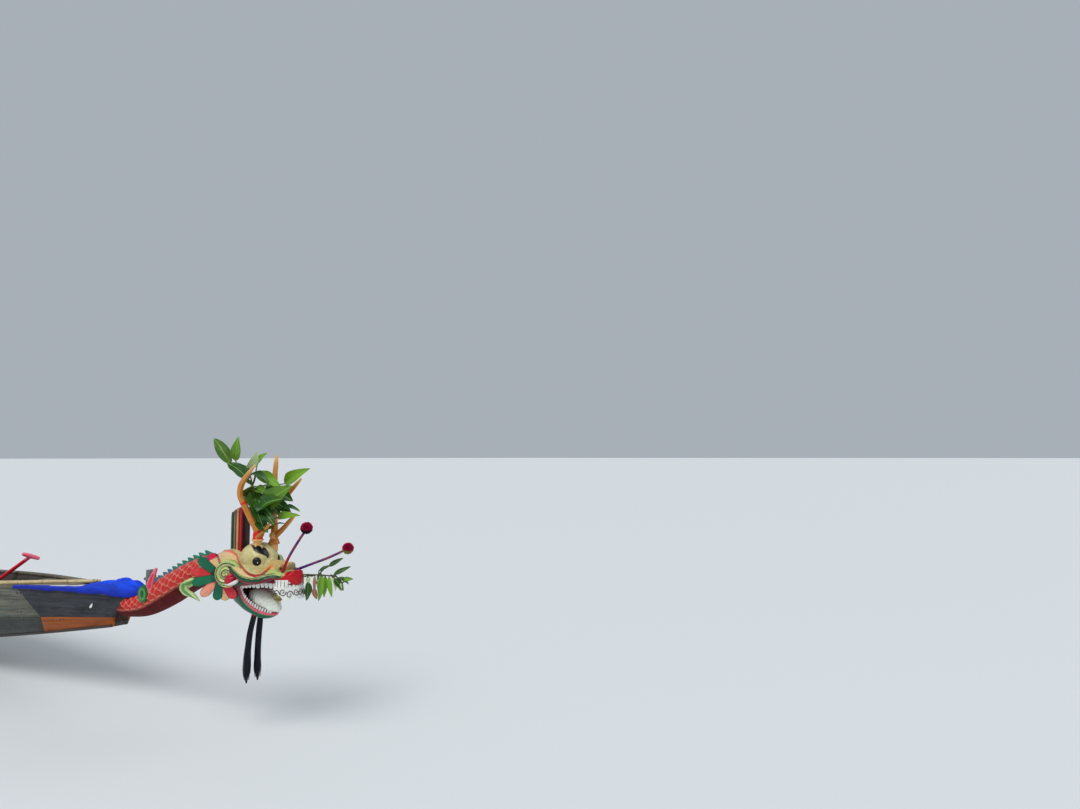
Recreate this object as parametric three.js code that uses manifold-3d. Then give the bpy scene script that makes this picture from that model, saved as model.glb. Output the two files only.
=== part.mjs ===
// A wooden dragon boat: a long planked paddling boat with a carved dragon's head and tail.
// Millimetres, +X to the bow, +Y to port, +Z up, origin amidships on the centreline at the waterline.
import * as THREE from 'three';
import { mergeVertices } from 'three/addons/utils/BufferGeometryUtils.js';
import Module from 'manifold-3d';

const wasm = await Module();
wasm.setup();

// Driving dimensions of the hull.
const hullHalfLength = 7720;
const halfBeam = 580;
const halfBeamAtEnd = 80;
const floorHalfWidth = 300;
const floorHalfWidthAtEnd = 50;
const sheerMid = 460;
const sheerRise = 328;
const keelMid = -140;
const keelRise = 695;
const seamShare = 0.44;
const seamShareLostAtEnd = 0.14;
const seamHalfBeamShare = 0.93;
const plankThickness = 28;
const bottomThickness = 35;
const stemRake = 1.05;
const gap = 0.4;
const sideClearance = 0.9;
const frameClearance = 5;
const blockClearance = 9;

// Stations of one half of the hull, amidships to the end: place along the boat, share of the stem's rake.
const halfStations = [
  [0, 0], [1100, 0], [2200, 0], [3200, 0], [4100, 0], [4900, 0], [5600, 0],
  [6200, 0], [6750, 0], [7030, 0], [7300, 0], [7540, 0.5], [hullHalfLength, 1],
];
const scarfAtSheer = 6750;
const scarfAtSeam = 7030;

// Butts near amidships, where the two lengths of a long piece meet end to end.
const butts = {
  upperPlank: -450, lowerPlank: 450, cap: -1350, bottomPlank: 0, ledge: -450, keelson: 450,
};

// Inside the hull.
const thwartPitch = 900;
const thwartRows = 13;
const thwartWidth = 190;
const thwartThickness = 34;
const thwartHousing = 8;
const riserDrop = 150;
const riserWidth = 45;
const riserDepth = 34;
const floorFrameHeight = 120;
const floorFrameThickness = 26;
const keelsonWidth = 60;
const keelsonHeight = 50;
const deckStart = 6250;
const deckEnd = 7200;
const deckThickness = 20;
const deckDrop = 8;
const capWidth = 46;
const capHeight = 20;

// The neck's root, from which the head's lengths are measured forward.
const root = 7750;

const v = (x, y, z) => new THREE.Vector3(x, y, z);
const lerp = THREE.MathUtils.lerp;
const group = new THREE.Group();

function add(name, geometry, colour, roughness = 0.6, metalness = 0) {
  const material = new THREE.MeshStandardMaterial({ color: colour, roughness, metalness });
  const mesh = new THREE.Mesh(geometry, material);
  mesh.name = name;
  group.add(mesh);
  return mesh;
}

// Solids from manifold-3d, used for joins and cuts only.
function solidOf(geometry) {
  const bare = geometry.clone();
  bare.deleteAttribute('normal');
  bare.deleteAttribute('uv');
  const merged = mergeVertices(bare, 0.001);
  const vertProperties = new Float32Array(merged.attributes.position.array);
  const triVerts = new Uint32Array(merged.index.array);
  return new wasm.Manifold(new wasm.Mesh({ numProp: 3, vertProperties, triVerts }));
}

function geometryOf(solid) {
  const mesh = solid.getMesh();
  const geometry = new THREE.BufferGeometry();
  geometry.setAttribute('position', new THREE.BufferAttribute(new Float32Array(mesh.vertProperties), 3));
  geometry.setIndex(new THREE.BufferAttribute(new Uint32Array(mesh.triVerts), 1));
  return geometry;
}

const join = (...geometries) => geometries.map(solidOf).reduce((sum, next) => sum.add(next));

// The largest connected body of a solid.
function largest(solid) {
  return solid.decompose().sort((one, other) => other.volume() - one.volume())[0];
}

// What is left of a solid clear of others, which are taken away a small step off their place every way.
const steps = [[gap, 0, 0], [-gap, 0, 0], [0, gap, 0], [0, -gap, 0], [0, 0, gap], [0, 0, -gap]];
const cut = (solid, ...others) => others.reduce((rest, other) => (
  steps.reduce((left, step) => left.subtract(other.translate(step)), rest)), solid);

// A closed skin through rings of points, listed the same way round, with flat ends.
function loft(rings) {
  const around = rings[0].length;
  const positions = rings.flat().flatMap((point) => [point.x, point.y, point.z]);
  const index = [];
  for (let ring = 0; ring < rings.length - 1; ring += 1) {
    for (let side = 0; side < around; side += 1) {
      const here = ring * around + side;
      const next = ring * around + ((side + 1) % around);
      index.push(here, next, next + around, here, next + around, here + around);
    }
  }
  const capAt = (ring, reverse) => {
    for (const triangle of capTriangles(rings[ring])) {
      const corners = triangle.map((corner) => corner + ring * around);
      index.push(...(reverse ? corners.reverse() : corners));
    }
  };
  capAt(0, true);
  capAt(rings.length - 1, false);
  const geometry = new THREE.BufferGeometry();
  geometry.setAttribute('position', new THREE.Float32BufferAttribute(positions, 3));
  geometry.setIndex(signedVolume(positions, index) < 0 ? index.reverse() : index);
  return geometry;
}

function capTriangles(ring) {
  const normal = v(0, 0, 0);
  ring.forEach((point, place) => normal.add(point.clone().cross(ring[(place + 1) % ring.length])));
  normal.normalize();
  const across = (Math.abs(normal.z) < 0.9 ? v(0, 0, 1) : v(1, 0, 0)).cross(normal).normalize();
  const up = normal.clone().cross(across);
  const flat = ring.map((point) => new THREE.Vector2(point.dot(across), point.dot(up)));
  const area = (a, b, c) => (b.x - a.x) * (c.y - a.y) - (b.y - a.y) * (c.x - a.x);
  return THREE.ShapeUtils.triangulateShape(flat, []).map(([a, b, c]) => (
    area(flat[a], flat[b], flat[c]) > 0 ? [a, b, c] : [a, c, b]));
}

function signedVolume(positions, index) {
  const corner = (place) => v(positions[3 * place], positions[3 * place + 1], positions[3 * place + 2]);
  let volume = 0;
  for (let place = 0; place < index.length; place += 3) {
    volume += corner(index[place]).dot(corner(index[place + 1]).cross(corner(index[place + 2])));
  }
  return volume;
}

// A round bar along a smooth curve. Each row of the path: x, y, z, radius.
function bar(path, sides = 8, steps = 12, flatten = 1) {
  const curve = new THREE.CatmullRomCurve3(path.map(([x, y, z]) => v(x, y, z)));
  const frames = curve.computeFrenetFrames(steps, false);
  const rings = [];
  for (let step = 0; step <= steps; step += 1) {
    const along = curve.getUtoTmapping(step / steps) * (path.length - 1);
    const before = Math.min(Math.floor(along), path.length - 2);
    const radius = lerp(path[before][3], path[before + 1][3], along - before);
    const centre = curve.getPointAt(step / steps);
    rings.push(Array.from({ length: sides }, (_, side) => {
      const angle = (2 * Math.PI * side) / sides;
      return centre.clone()
        .addScaledVector(frames.normals[step], radius * Math.cos(angle))
        .addScaledVector(frames.binormals[step], radius * flatten * Math.sin(angle));
    }));
  }
  return loft(rings);
}

// A flat plate standing fore and aft, from its outline in x and z.
function platePort(outline, thickness, y) {
  const shape = new THREE.Shape(outline.map(([x, z]) => new THREE.Vector2(x, z)));
  const geometry = new THREE.ExtrudeGeometry(shape, { depth: thickness, bevelEnabled: false });
  geometry.rotateX(Math.PI / 2);
  geometry.translate(0, y + thickness / 2, 0);
  return geometry;
}

function box(length, width, height, x, y, z) {
  const geometry = new THREE.BoxGeometry(length, width, height);
  geometry.translate(x, y, z);
  return geometry;
}

function ball(radius, x, y, z, sides = 12, rows = 8, stretch = [1, 1, 1]) {
  const geometry = new THREE.SphereGeometry(radius, sides, rows);
  geometry.scale(...stretch);
  geometry.translate(x, y, z);
  return geometry;
}

// The hull's lines at a station, as exact curves.
function exactLines(s) {
  const t = Math.min(Math.abs(s) / hullHalfLength, 1);
  const sheerZ = sheerMid + sheerRise * Math.sin((Math.PI * t) / 2) ** 2;
  const keelZ = keelMid + keelRise * t ** 1.85;
  const share = seamShare - seamShareLostAtEnd * t ** 12;
  const sheerY = halfBeamAtEnd + (halfBeam - halfBeamAtEnd) * (1 - t ** 2.8);
  return {
    sheerZ,
    keelZ,
    seamZ: keelZ + share * (sheerZ - keelZ),
    sheerY,
    seamY: sheerY * seamHalfBeamShare,
    floorY: floorHalfWidthAtEnd + (floorHalfWidth - floorHalfWidthAtEnd) * (1 - t ** 2.2),
    rake: 0,
  };
}

const stations = [
  ...halfStations.slice(1).reverse().map(([s, rake]) => ({ ...exactLines(s), s: -s, rake: -rake })),
  ...halfStations.map(([s, rake]) => ({ ...exactLines(s), s, rake })),
];

// The hull's lines anywhere, straight between stations, so that every piece meets its neighbour.
function linesAt(s) {
  const after = Math.max(1, stations.findIndex((station, place) => place > 0 && station.s >= s - 1e-6));
  const a = stations[after - 1];
  const b = stations[after];
  const share = (s - a.s) / (b.s - a.s);
  return Object.fromEntries(Object.keys(a).map((key) => [key, lerp(a[key], b[key], share)]));
}

// A point of the hull: the stem and stern lean outwards above the seam.
const at = (line, y, z) => v(line.s + stemRake * line.rake * Math.max(0, z - line.seamZ), y, z);

const stationsBetween = (from, to) => [
  linesAt(from),
  ...stations.filter(({ s }) => s > from + 1 && s < to - 1),
  linesAt(to),
];

const innerFloorZ = (line) => line.keelZ + bottomThickness;

// Inner face of the side planks at a height, from the centreline.
function insideY(line, z) {
  if (z >= line.seamZ) {
    const share = (z - line.seamZ) / (line.sheerZ - line.seamZ);
    return lerp(line.seamY, line.sheerY, share) - plankThickness;
  }
  const share = (z - innerFloorZ(line)) / (line.seamZ - innerFloorZ(line));
  return lerp(line.floorY, line.seamY - plankThickness, share);
}

// The planks of the hull. side is -1 to starboard and 1 to port.
function lowerPlank(side, from, to) {
  return loft(stationsBetween(from, to).map((line) => [
    at(line, side * (line.floorY + gap), line.keelZ),
    at(line, side * line.seamY, line.seamZ - gap / 2),
    at(line, side * (line.seamY - plankThickness), line.seamZ - gap / 2),
    at(line, side * (line.floorY + gap), innerFloorZ(line)),
  ]));
}

// Rows pair the station at the seam with the one at the sheer, so that a scarf can slant.
function upperPlank(side, rows) {
  return loft(rows.map(([low, high]) => [
    at(low, side * low.seamY, low.seamZ + gap / 2),
    at(high, side * high.sheerY, high.sheerZ),
    at(high, side * (high.sheerY - plankThickness), high.sheerZ),
    at(low, side * (low.seamY - plankThickness), low.seamZ + gap / 2),
  ]));
}

// A scarf slants from the sheer, nearer amidships, down to the seam. Beside it the two edges of a plank
// step along the stations in turn, so that each edge still bends only at a station.
const scarfStep = 70;
const endScarf = [
  [linesAt(scarfAtSeam + gap), linesAt(scarfAtSheer + gap)],
  [linesAt(scarfAtSeam + scarfStep), linesAt(scarfAtSeam)],
];
const middleScarf = [
  [linesAt(scarfAtSheer), linesAt(scarfAtSheer - scarfStep)],
  [linesAt(scarfAtSeam), linesAt(scarfAtSheer)],
];
const endRows = [
  ...endScarf,
  ...stationsBetween(scarfAtSeam + scarfStep, hullHalfLength).slice(1).map((line) => [line, line]),
];
const upperRows = {
  aft: stationsBetween(-hullHalfLength, butts.upperPlank - gap / 2).map((line) => [line, line]),
  forward: [
    ...stationsBetween(butts.upperPlank + gap / 2, scarfAtSheer).slice(0, -1).map((line) => [line, line]),
    ...middleScarf,
  ],
  bow: endRows,
};

const colours = {
  weathered: 0x8b8f84,
  slate: 0x4a4d55,
  amber: 0xa9602c,
  bottom: 0x5d5b4e,
  inside: 0x6b5a48,
  pale: 0xc2b79a,
  red: 0xc92a20,
  gold: 0xd9b56a,
  teal: 0x0c6a52,
  leaf: 0x2f7d22,
  bone: 0xd9cda0,
  pink: 0xe0557a,
  black: 0x15151c,
  white: 0xe9ecec,
  blue: 0x1743d6,
  horn: 0xc87b33,
};

// The two lengths of a piece that runs from one place to another, aft and forward of its butt.
const lengths = (from, butt, to) => [['aft', from, butt - gap / 2], ['forward', butt + gap / 2, to]];

for (const [name, side] of [['starboard', -1], ['port', 1]]) {
  for (const [half, from, to] of lengths(-hullHalfLength, butts.lowerPlank, scarfAtSeam)) {
    add(`lower_plank_${half}_${name}`, lowerPlank(side, from, to), colours.weathered, 0.8);
  }
  add(`lower_bow_board_${name}`, lowerPlank(side, scarfAtSeam + gap, hullHalfLength), colours.amber, 0.7);
  add(`upper_plank_aft_${name}`, upperPlank(side, upperRows.aft), colours.weathered, 0.8);
  add(`upper_plank_forward_${name}`, upperPlank(side, upperRows.forward), colours.weathered, 0.8);
  add(`upper_bow_board_${name}`, upperPlank(side, upperRows.bow), colours.slate, 0.6);
  for (const [half, from, to] of lengths(-hullHalfLength, butts.cap, hullHalfLength)) {
    add(`gunwale_cap_${half}_${name}`, gunwaleCap(side, from, to), colours.pale, 0.7);
  }
}

function gunwaleCap(side, from, to) {
  const outer = (line) => side * (line.sheerY + (capWidth - plankThickness) / 2);
  const inner = (line) => side * (line.sheerY - plankThickness - (capWidth - plankThickness) / 2);
  return loft(stationsBetween(from, to).map((line) => {
    const low = line.sheerZ + gap;
    const x = at(line, 0, line.sheerZ).x;
    return [
      v(x, outer(line), low),
      v(x, outer(line), low + capHeight),
      v(x, inner(line), low + capHeight),
      v(x, inner(line), low),
    ];
  }));
}

for (const [half, from, to] of lengths(-hullHalfLength, butts.bottomPlank, hullHalfLength)) {
  add(`bottom_plank_${half}`, loft(stationsBetween(from, to).map((line) => [
    at(line, -line.floorY, line.keelZ),
    at(line, line.floorY, line.keelZ),
    at(line, line.floorY, innerFloorZ(line) - gap / 2),
    at(line, -line.floorY, innerFloorZ(line) - gap / 2),
  ])), colours.bottom, 0.85);
}

const riserTop = (s) => linesAt(s).sheerZ - riserDrop;

// A ledge along the inside of the planks, which carries the thwarts' ends.
function riser(side, from, to) {
  return loft(stationsBetween(from, to).map((line) => {
    const top = line.sheerZ - riserDrop;
    const low = top - riserDepth;
    return [
      v(line.s, side * (insideY(line, low) - sideClearance), low),
      v(line.s, side * (insideY(line, top) - sideClearance), top),
      v(line.s, side * (insideY(line, top) - sideClearance - riserWidth), top),
      v(line.s, side * (insideY(line, low) - sideClearance - riserWidth), low),
    ];
  }));
}

const thwartPlaces = Array.from({ length: thwartRows }, (_, row) => (
  (row - (thwartRows - 1) / 2) * thwartPitch));

// Thwarts are let into the ledges at both sides, so that each half of the boat holds a ladder of them.
function thwartAt(s) {
  const ends = [s - thwartWidth / 2, s, s + thwartWidth / 2];
  const low = Math.max(...ends.map(riserTop)) - thwartHousing + gap;
  const halfLength = Math.min(...ends.flatMap((end) => [
    insideY(linesAt(end), low), insideY(linesAt(end), low + thwartThickness)])) - sideClearance;
  return { s, low, halfLength };
}
const thwarts = thwartPlaces.map(thwartAt);
for (const [half, from, to] of lengths(-deckStart, butts.ledge, deckStart)) {
  const boards = thwarts.filter(({ s }) => s > from && s < to).map(({ s, low, halfLength }) => (
    box(thwartWidth, 2 * halfLength, thwartThickness, s, 0, low + thwartThickness / 2)));
  const ledges = [-1, 1].map((side) => riser(side, from, to));
  add(`thwarts_${half}`, geometryOf(join(...ledges, ...boards)), colours.inside, 0.8);
}

// Floor frames cross the bottom under the thwarts, joined by the keelson.
function floorFrame(s) {
  const faces = [linesAt(s - floorFrameThickness / 2), linesAt(s + floorFrameThickness / 2)];
  const low = Math.max(...faces.map(innerFloorZ)) + gap;
  const top = low + floorFrameHeight;
  const lowY = Math.min(...faces.map((line) => insideY(line, low))) - frameClearance;
  const topY = Math.min(...faces.map((line) => insideY(line, top))) - frameClearance;
  return loft(faces.map(({ s: x }) => [
    v(x, -lowY, low), v(x, lowY, low), v(x, topY, top), v(x, -topY, top)]));
}
const keelsonEnd = thwartPlaces.at(-1) + thwartPitch;
for (const [half, from, to] of lengths(-keelsonEnd, butts.keelson, keelsonEnd)) {
  const keelson = loft(stationsBetween(from, to).map((line) => {
    const low = innerFloorZ(line) + gap;
    return [
      v(line.s, -keelsonWidth / 2, low),
      v(line.s, keelsonWidth / 2, low),
      v(line.s, keelsonWidth / 2, low + keelsonHeight),
      v(line.s, -keelsonWidth / 2, low + keelsonHeight),
    ];
  }));
  const frames = thwartPlaces.filter((s) => s > from && s < to).map(floorFrame);
  add(`floor_frames_${half}`, geometryOf(join(keelson, ...frames)), colours.inside, 0.85);
}

// Ends of the boat: a solid block inside the planks and a short deck over the peak.
function endBlock(end) {
  const lines = stationsBetween(7300, hullHalfLength).map((line) => (end > 0 ? line : linesAt(-line.s)));
  const part = (lowOf, topOf) => loft(lines.map((line) => [lowOf(line), topOf(line)].flatMap((z, level) => {
    const across = insideY(line, z) - blockClearance;
    const pair = [at(line, across, z), at(line, -across, z)];
    return level ? pair : pair.reverse();
  })));
  return geometryOf(join(
    part((line) => innerFloorZ(line) + gap, (line) => line.seamZ),
    part((line) => line.seamZ, (line) => line.sheerZ - deckDrop),
  ));
}

function endDeck(end) {
  const lines = stationsBetween(deckStart, deckEnd).map((line) => (end > 0 ? line : linesAt(-line.s)));
  return loft(lines.map((line) => {
    const top = line.sheerZ - deckDrop;
    const low = top - deckThickness;
    return [
      v(line.s, insideY(line, low) - sideClearance, low),
      v(line.s, insideY(line, top) - sideClearance, top),
      v(line.s, sideClearance - insideY(line, top), top),
      v(line.s, sideClearance - insideY(line, low), low),
    ];
  }));
}

for (const [name, end] of [['bow', 1], ['stern', -1]]) {
  add(`${name}_block`, endBlock(end), colours.inside, 0.8);
  add(`${name}_deck`, endDeck(end), colours.pale, 0.8);
}

// The neck, from the raked stem to the back of the head. Rows: forward of the root, height, radius.
const neckPath = [
  [75, 712, 84], [280, 747, 92], [540, 858, 104], [790, 975, 96], [930, 1025, 92], [1040, 1052, 92],
];
const neckSides = 16;
const neckSteps = 18;
const neckEnd = 1040;
const neckGrowth = 60;
const neckHeadShare = 7;
const neckCurve = new THREE.CatmullRomCurve3(neckPath.map(([x, z]) => v(root + x, 0, z)));

function neckRing(share) {
  const along = neckCurve.getUtoTmapping(share) * (neckPath.length - 1);
  const before = Math.min(Math.floor(along), neckPath.length - 2);
  const radius = lerp(neckPath[before][2], neckPath[before + 1][2], along - before);
  const centre = neckCurve.getPointAt(share);
  const tangent = neckCurve.getTangentAt(share);
  const up = v(-tangent.z, 0, tangent.x);
  return { centre, up, radius };
}

// The first ring leans back with the stem, and the next ones ease into square sections.
const stemEnd = linesAt(hullHalfLength);
const stemX = (z) => at(stemEnd, 0, z).x + gap;

function neckPoint(share, angle) {
  const { centre, up, radius } = neckRing(share);
  const across = Math.cos(angle) * radius;
  const height = Math.sin(angle) * radius;
  if (share === 0) return v(stemX(centre.z + height), across, centre.z + height);
  const point = centre.clone().addScaledVector(up, height).setY(across);
  point.x = Math.max(point.x, stemX(point.z) + share * neckGrowth);
  const headFace = v(root + neckEnd, across, centre.z + height);
  return point.lerp(headFace, Math.max(0, 1 - (1 - share) * neckHeadShare));
}

const neckRings = Array.from({ length: neckSteps + 1 }, (_, step) => (
  Array.from({ length: neckSides }, (__, side) => (
    neckPoint(step / neckSteps, (side * 2 * Math.PI) / neckSides)))));
const neck = solidOf(loft(neckRings));
add('neck', geometryOf(neck), colours.red, 0.45);

// Saw-toothed fins along the top of the neck, one tooth to each step of the neck's rings.
const finSteps = { first: 7, last: 17 };
const finHeight = 42;
const finThickness = 16;
function neckFins() {
  const outline = [];
  for (let step = finSteps.first; step <= finSteps.last; step += 1) {
    const top = neckPoint(step / neckSteps, Math.PI / 2);
    outline.push([top.x - gap, top.z + gap]);
  }
  for (let step = finSteps.last; step > finSteps.first; step -= 1) {
    const front = neckPoint(step / neckSteps, Math.PI / 2);
    const back = neckPoint((step - 1) / neckSteps, Math.PI / 2);
    outline.push([front.x - 6, front.z + 14]);
    outline.push([back.x - 2, back.z + finHeight]);
  }
  outline.push([outline[0][0] - 12, outline[0][1] + 14]);
  return platePort(outline, finThickness, 0);
}
add('neck_fins', neckFins(), colours.teal, 0.6);

// The upper head. Rows: forward of the root, half width, top, underside.
const skullRows = [
  [1040.6, 92, 1138, 962], [1120, 132, 1168, 940], [1220, 156, 1194, 945], [1300, 168, 1178, 960],
  [1370, 174, 1132, 970], [1480, 170, 1116, 985], [1570, 150, 1112, 1000], [1640, 112, 1118, 1004],
  [1710, 96, 1116, 998], [1770, 90, 1106, 985], [1824, 52, 1092, 992],
];
const skullSides = 16;
function ovalRing(x, halfWidth, top, low, sides, power = 2.4) {
  const middle = (top + low) / 2;
  const halfHeight = (top - low) / 2;
  const shaped = (value) => Math.sign(value) * Math.abs(value) ** (2 / power);
  return Array.from({ length: sides }, (_, side) => {
    const angle = (2 * Math.PI * side) / sides;
    return v(x, halfWidth * shaped(Math.cos(angle)), middle + halfHeight * shaped(Math.sin(angle)));
  });
}
const skullCore = loft(skullRows.map(([x, halfWidth, top, low]) => (
  ovalRing(root + x, halfWidth, top, low, skullSides))));

// Two big eyeballs bulge side by side above the cheeks, narrower across than they are long.
const eyeDome = { x: root + 1436, y: 28, z: 1130, radius: 112, across: 92 };
const eyeDomes = [-1, 1].map((side) => ball(
  eyeDome.radius, eyeDome.x, side * eyeDome.y, eyeDome.z, 18, 12, [1, eyeDome.across / eyeDome.radius, 1]));

// The bridge of the nose, with a bulb at its tip and a nostril at each side.
const bridge = bar([
  [root + 1500, 0, 1098, 46], [root + 1620, 0, 1099, 46], [root + 1715, 0, 1100, 42]], 10, 6);
const noseTip = ball(38, root + 1724, 0, 1106, 10, 7);
const nostrils = [-1, 1].map((side) => ball(36, root + 1706, side * 44, 1102, 10, 7));

// A raised scroll runs from the cheek under the eye to the nose.
// Rows: forward of the root, out, height, radius.
const scrollPath = [
  [1215, 164, 1105, 16], [1320, 178, 1130, 24], [1420, 186, 1092, 30], [1520, 184, 1048, 32],
  [1610, 162, 1036, 30], [1680, 128, 1052, 26], [1740, 104, 1062, 18],
];
const scrolls = [-1, 1].map((side) => (
  bar(scrollPath.map(([x, y, z, radius]) => [root + x, side * y, z, radius]), 8, 14)));
const skull = join(skullCore, ...eyeDomes, bridge, noseTip, ...nostrils, ...scrolls);
add('upper_head', geometryOf(skull), colours.bone, 0.5);

// Pupils stand out of the eyeballs, looking forward and outward.
const gaze = { angle: 41, rise: 2 };
const pupil = { radius: 26, sunk: 6 };
function eye(side) {
  const turn = THREE.MathUtils.degToRad(gaze.angle);
  const lift = THREE.MathUtils.degToRad(gaze.rise);
  const level = Math.cos(lift);
  const x = eyeDome.x + Math.cos(turn) * level * (eyeDome.radius - pupil.sunk);
  const y = eyeDome.y + Math.sin(turn) * level * (eyeDome.across - pupil.sunk);
  const z = eyeDome.z + Math.sin(lift) * (eyeDome.radius - pupil.sunk);
  return cut(solidOf(ball(pupil.radius, x, side * y, z, 12, 8)), skull);
}

// The ruff behind the cheek: tapered petals around a round boss. Angle 0 points back, 90 up.
const ruffCentre = { x: root + 1326, y: 196, z: 1044 };
const ruffBoss = { radius: 66, thickness: 44 };
const ruffPetals = [
  [64, 150], [38, 172], [10, 190], [-20, 182], [-50, 165], [-78, 150], [-106, 140],
];
const petalRootWidth = 40;
const petalTipWidth = 56;
const petalThickness = 22;
const ruffFlare = 30;

function ruff(side) {
  const boss = new THREE.CylinderGeometry(ruffBoss.radius, ruffBoss.radius, ruffBoss.thickness, 16);
  boss.rotateX(Math.PI / 2);
  const petals = ruffPetals.map(([angle, reach]) => {
    const shape = new THREE.Shape([
      new THREE.Vector2(20, -petalRootWidth / 2), new THREE.Vector2(reach * 0.8, -petalTipWidth / 2),
      new THREE.Vector2(reach, 0), new THREE.Vector2(reach * 0.8, petalTipWidth / 2),
      new THREE.Vector2(20, petalRootWidth / 2)]);
    const petal = new THREE.ExtrudeGeometry(shape, { depth: petalThickness, bevelEnabled: false });
    petal.translate(0, 0, -petalThickness / 2);
    petal.rotateX(Math.PI / 2);
    petal.rotateY(THREE.MathUtils.degToRad(angle - 180));
    return petal;
  });
  const whole = [boss, ...petals];
  whole.forEach((piece) => {
    piece.rotateZ(THREE.MathUtils.degToRad(side * ruffFlare * -1));
    piece.translate(ruffCentre.x, side * ruffCentre.y, ruffCentre.z);
  });
  return join(...whole);
}

// The lower jaw hangs open. Rows run from the hinge to the tip: along, half width, rim height, keel height,
// depth of the trough.
const jawHinge = { x: root + 1350, z: 812 };
const jawTilt = -17;
const jawRows = [
  [-70, 112, 192, 0, 60], [0, 134, 184, 0, 70], [54, 128, 124, 0, 66], [118, 105, 85, 0, 52],
  [180, 76, 68, 4, 40], [225, 52, 65, 22, 26], [262, 30, 66, 42, 14], [278, 22, 67, 52, 8],
];
const jawWall = 20;
function jawRing([along, halfWidth, rim, keel, trough]) {
  const outer = [0, 20, 40, 90, 140, 160, 180].map((degrees) => {
    const angle = THREE.MathUtils.degToRad(degrees);
    return [halfWidth * Math.cos(angle), rim - (rim - keel) * Math.sin(angle) ** 0.8];
  });
  const innerHalf = halfWidth - jawWall;
  const inner = [180, 150, 90, 30, 0].map((degrees) => {
    const angle = THREE.MathUtils.degToRad(degrees);
    return [innerHalf * Math.cos(angle), rim - trough * Math.sin(angle)];
  });
  return [...outer, ...inner].map(([across, up]) => tilted(along, across, up));
}
function tilted(along, across, up) {
  const turn = THREE.MathUtils.degToRad(jawTilt);
  return v(
    jawHinge.x + along * Math.cos(turn) - up * Math.sin(turn),
    across,
    jawHinge.z + along * Math.sin(turn) + up * Math.cos(turn),
  );
}
const lowerJaw = cut(solidOf(loft(jawRows.map(jawRing))), skull);
add('lower_jaw', geometryOf(lowerJaw), colours.teal, 0.5);

// Teeth stand in a gum strip that follows the jaw: a wall whose height rises and falls tooth by tooth.
const gumHeight = 16;
const toothFoot = 14;
const toothTip = 7;
function teeth(rows, toothCount, toothHeight) {
  const half = (side) => rows.map(([along, across, level]) => v(along, side * across, level));
  const curve = new THREE.CatmullRomCurve3([...half(-1), ...half(1).reverse()], false, 'chordal');
  const places = 2 * toothCount;
  return loft(Array.from({ length: places + 1 }, (_, place) => {
    const middle = curve.getPointAt(place / places);
    const tangent = curve.getTangentAt(place / places);
    const aside = v(-tangent.y, tangent.x, 0).normalize();
    const height = gumHeight + (place % 2 ? toothHeight : 0);
    const corner = (share, z) => middle.clone().addScaledVector(aside, share).add(v(0, 0, z));
    return [
      corner(toothFoot / 2, 0), corner(-toothFoot / 2, 0),
      corner(-toothTip / 2, height), corner(toothTip / 2, height),
    ];
  }));
}

const jawMatrix = new THREE.Matrix4()
  .makeTranslation(jawHinge.x, 0, jawHinge.z)
  .multiply(new THREE.Matrix4().makeRotationY(THREE.MathUtils.degToRad(-jawTilt)));
const lowerTeethRows = [
  [14, 124, 168], [54, 119, 124], [118, 96, 85], [180, 67, 68], [225, 43, 65], [260, 22, 66],
];
const lowerTeethShape = teeth(lowerTeethRows, 18, 20);
lowerTeethShape.applyMatrix4(jawMatrix);
const lowerTeeth = cut(solidOf(lowerTeethShape), lowerJaw, skull);
add('lower_teeth', geometryOf(largest(lowerTeeth)), colours.white, 0.35);

const upperTeethRows = [
  [1440, 138, -1012], [1530, 132, -1012], [1620, 104, -1008],
  [1700, 84, -1004], [1755, 70, -996], [1782, 40, -994],
];
const upperTeethShape = teeth(upperTeethRows, 28, 24);
upperTeethShape.rotateX(Math.PI);
upperTeethShape.translate(root, 0, 0);

// Carved curls hang under the lip, around the tip of the snout, in one piece with the teeth.
const curls = {
  back: root + 1712, front: root + 1783, halfWidth: 88, thickness: 20, top: 1040, low: 908, sideLow: 930,
};
const curlFront = box(
  curls.thickness, 2 * curls.halfWidth, curls.top - curls.low,
  curls.front - curls.thickness / 2, 0, (curls.top + curls.low) / 2);
const curlSides = [-1, 1].map((side) => box(
  curls.front - curls.back, curls.thickness, curls.top - curls.sideLow,
  (curls.front + curls.back) / 2, side * (curls.halfWidth - curls.thickness / 2),
  (curls.top + curls.sideLow) / 2));
const upperTeeth = cut(join(upperTeethShape, curlFront, ...curlSides), skull);
add('upper_teeth', geometryOf(largest(upperTeeth)), colours.white, 0.35);

// The tongue rises out of the jaw and carries the pearl.
const tongue = cut(solidOf(bar([
  [root + 1396, 0, 900, 48], [root + 1440, 0, 896, 56], [root + 1495, 0, 884, 66], [root + 1560, 0, 866, 58],
  [root + 1606, 0, 845, 43], [root + 1636, 0, 838, 30]],
10, 8, 1)), lowerJaw, skull, lowerTeeth);
add('tongue', geometryOf(largest(tongue)), 0xcfdcca, 0.5);
const pearl = cut(solidOf(ball(32, root + 1624, 0, 904, 12, 8)), tongue, lowerTeeth);
add('pearl', geometryOf(largest(pearl)), 0xa09448, 0.3);

for (const [name, side] of [['starboard', -1], ['port', 1]]) {
  const sideRuff = cut(ruff(side), skull, lowerJaw, neck);
  add(`eye_${name}`, geometryOf(eye(side)), colours.black, 0.2);
  add(`ruff_${name}`, geometryOf(largest(sideRuff)), colours.teal, 0.5);
}

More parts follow.
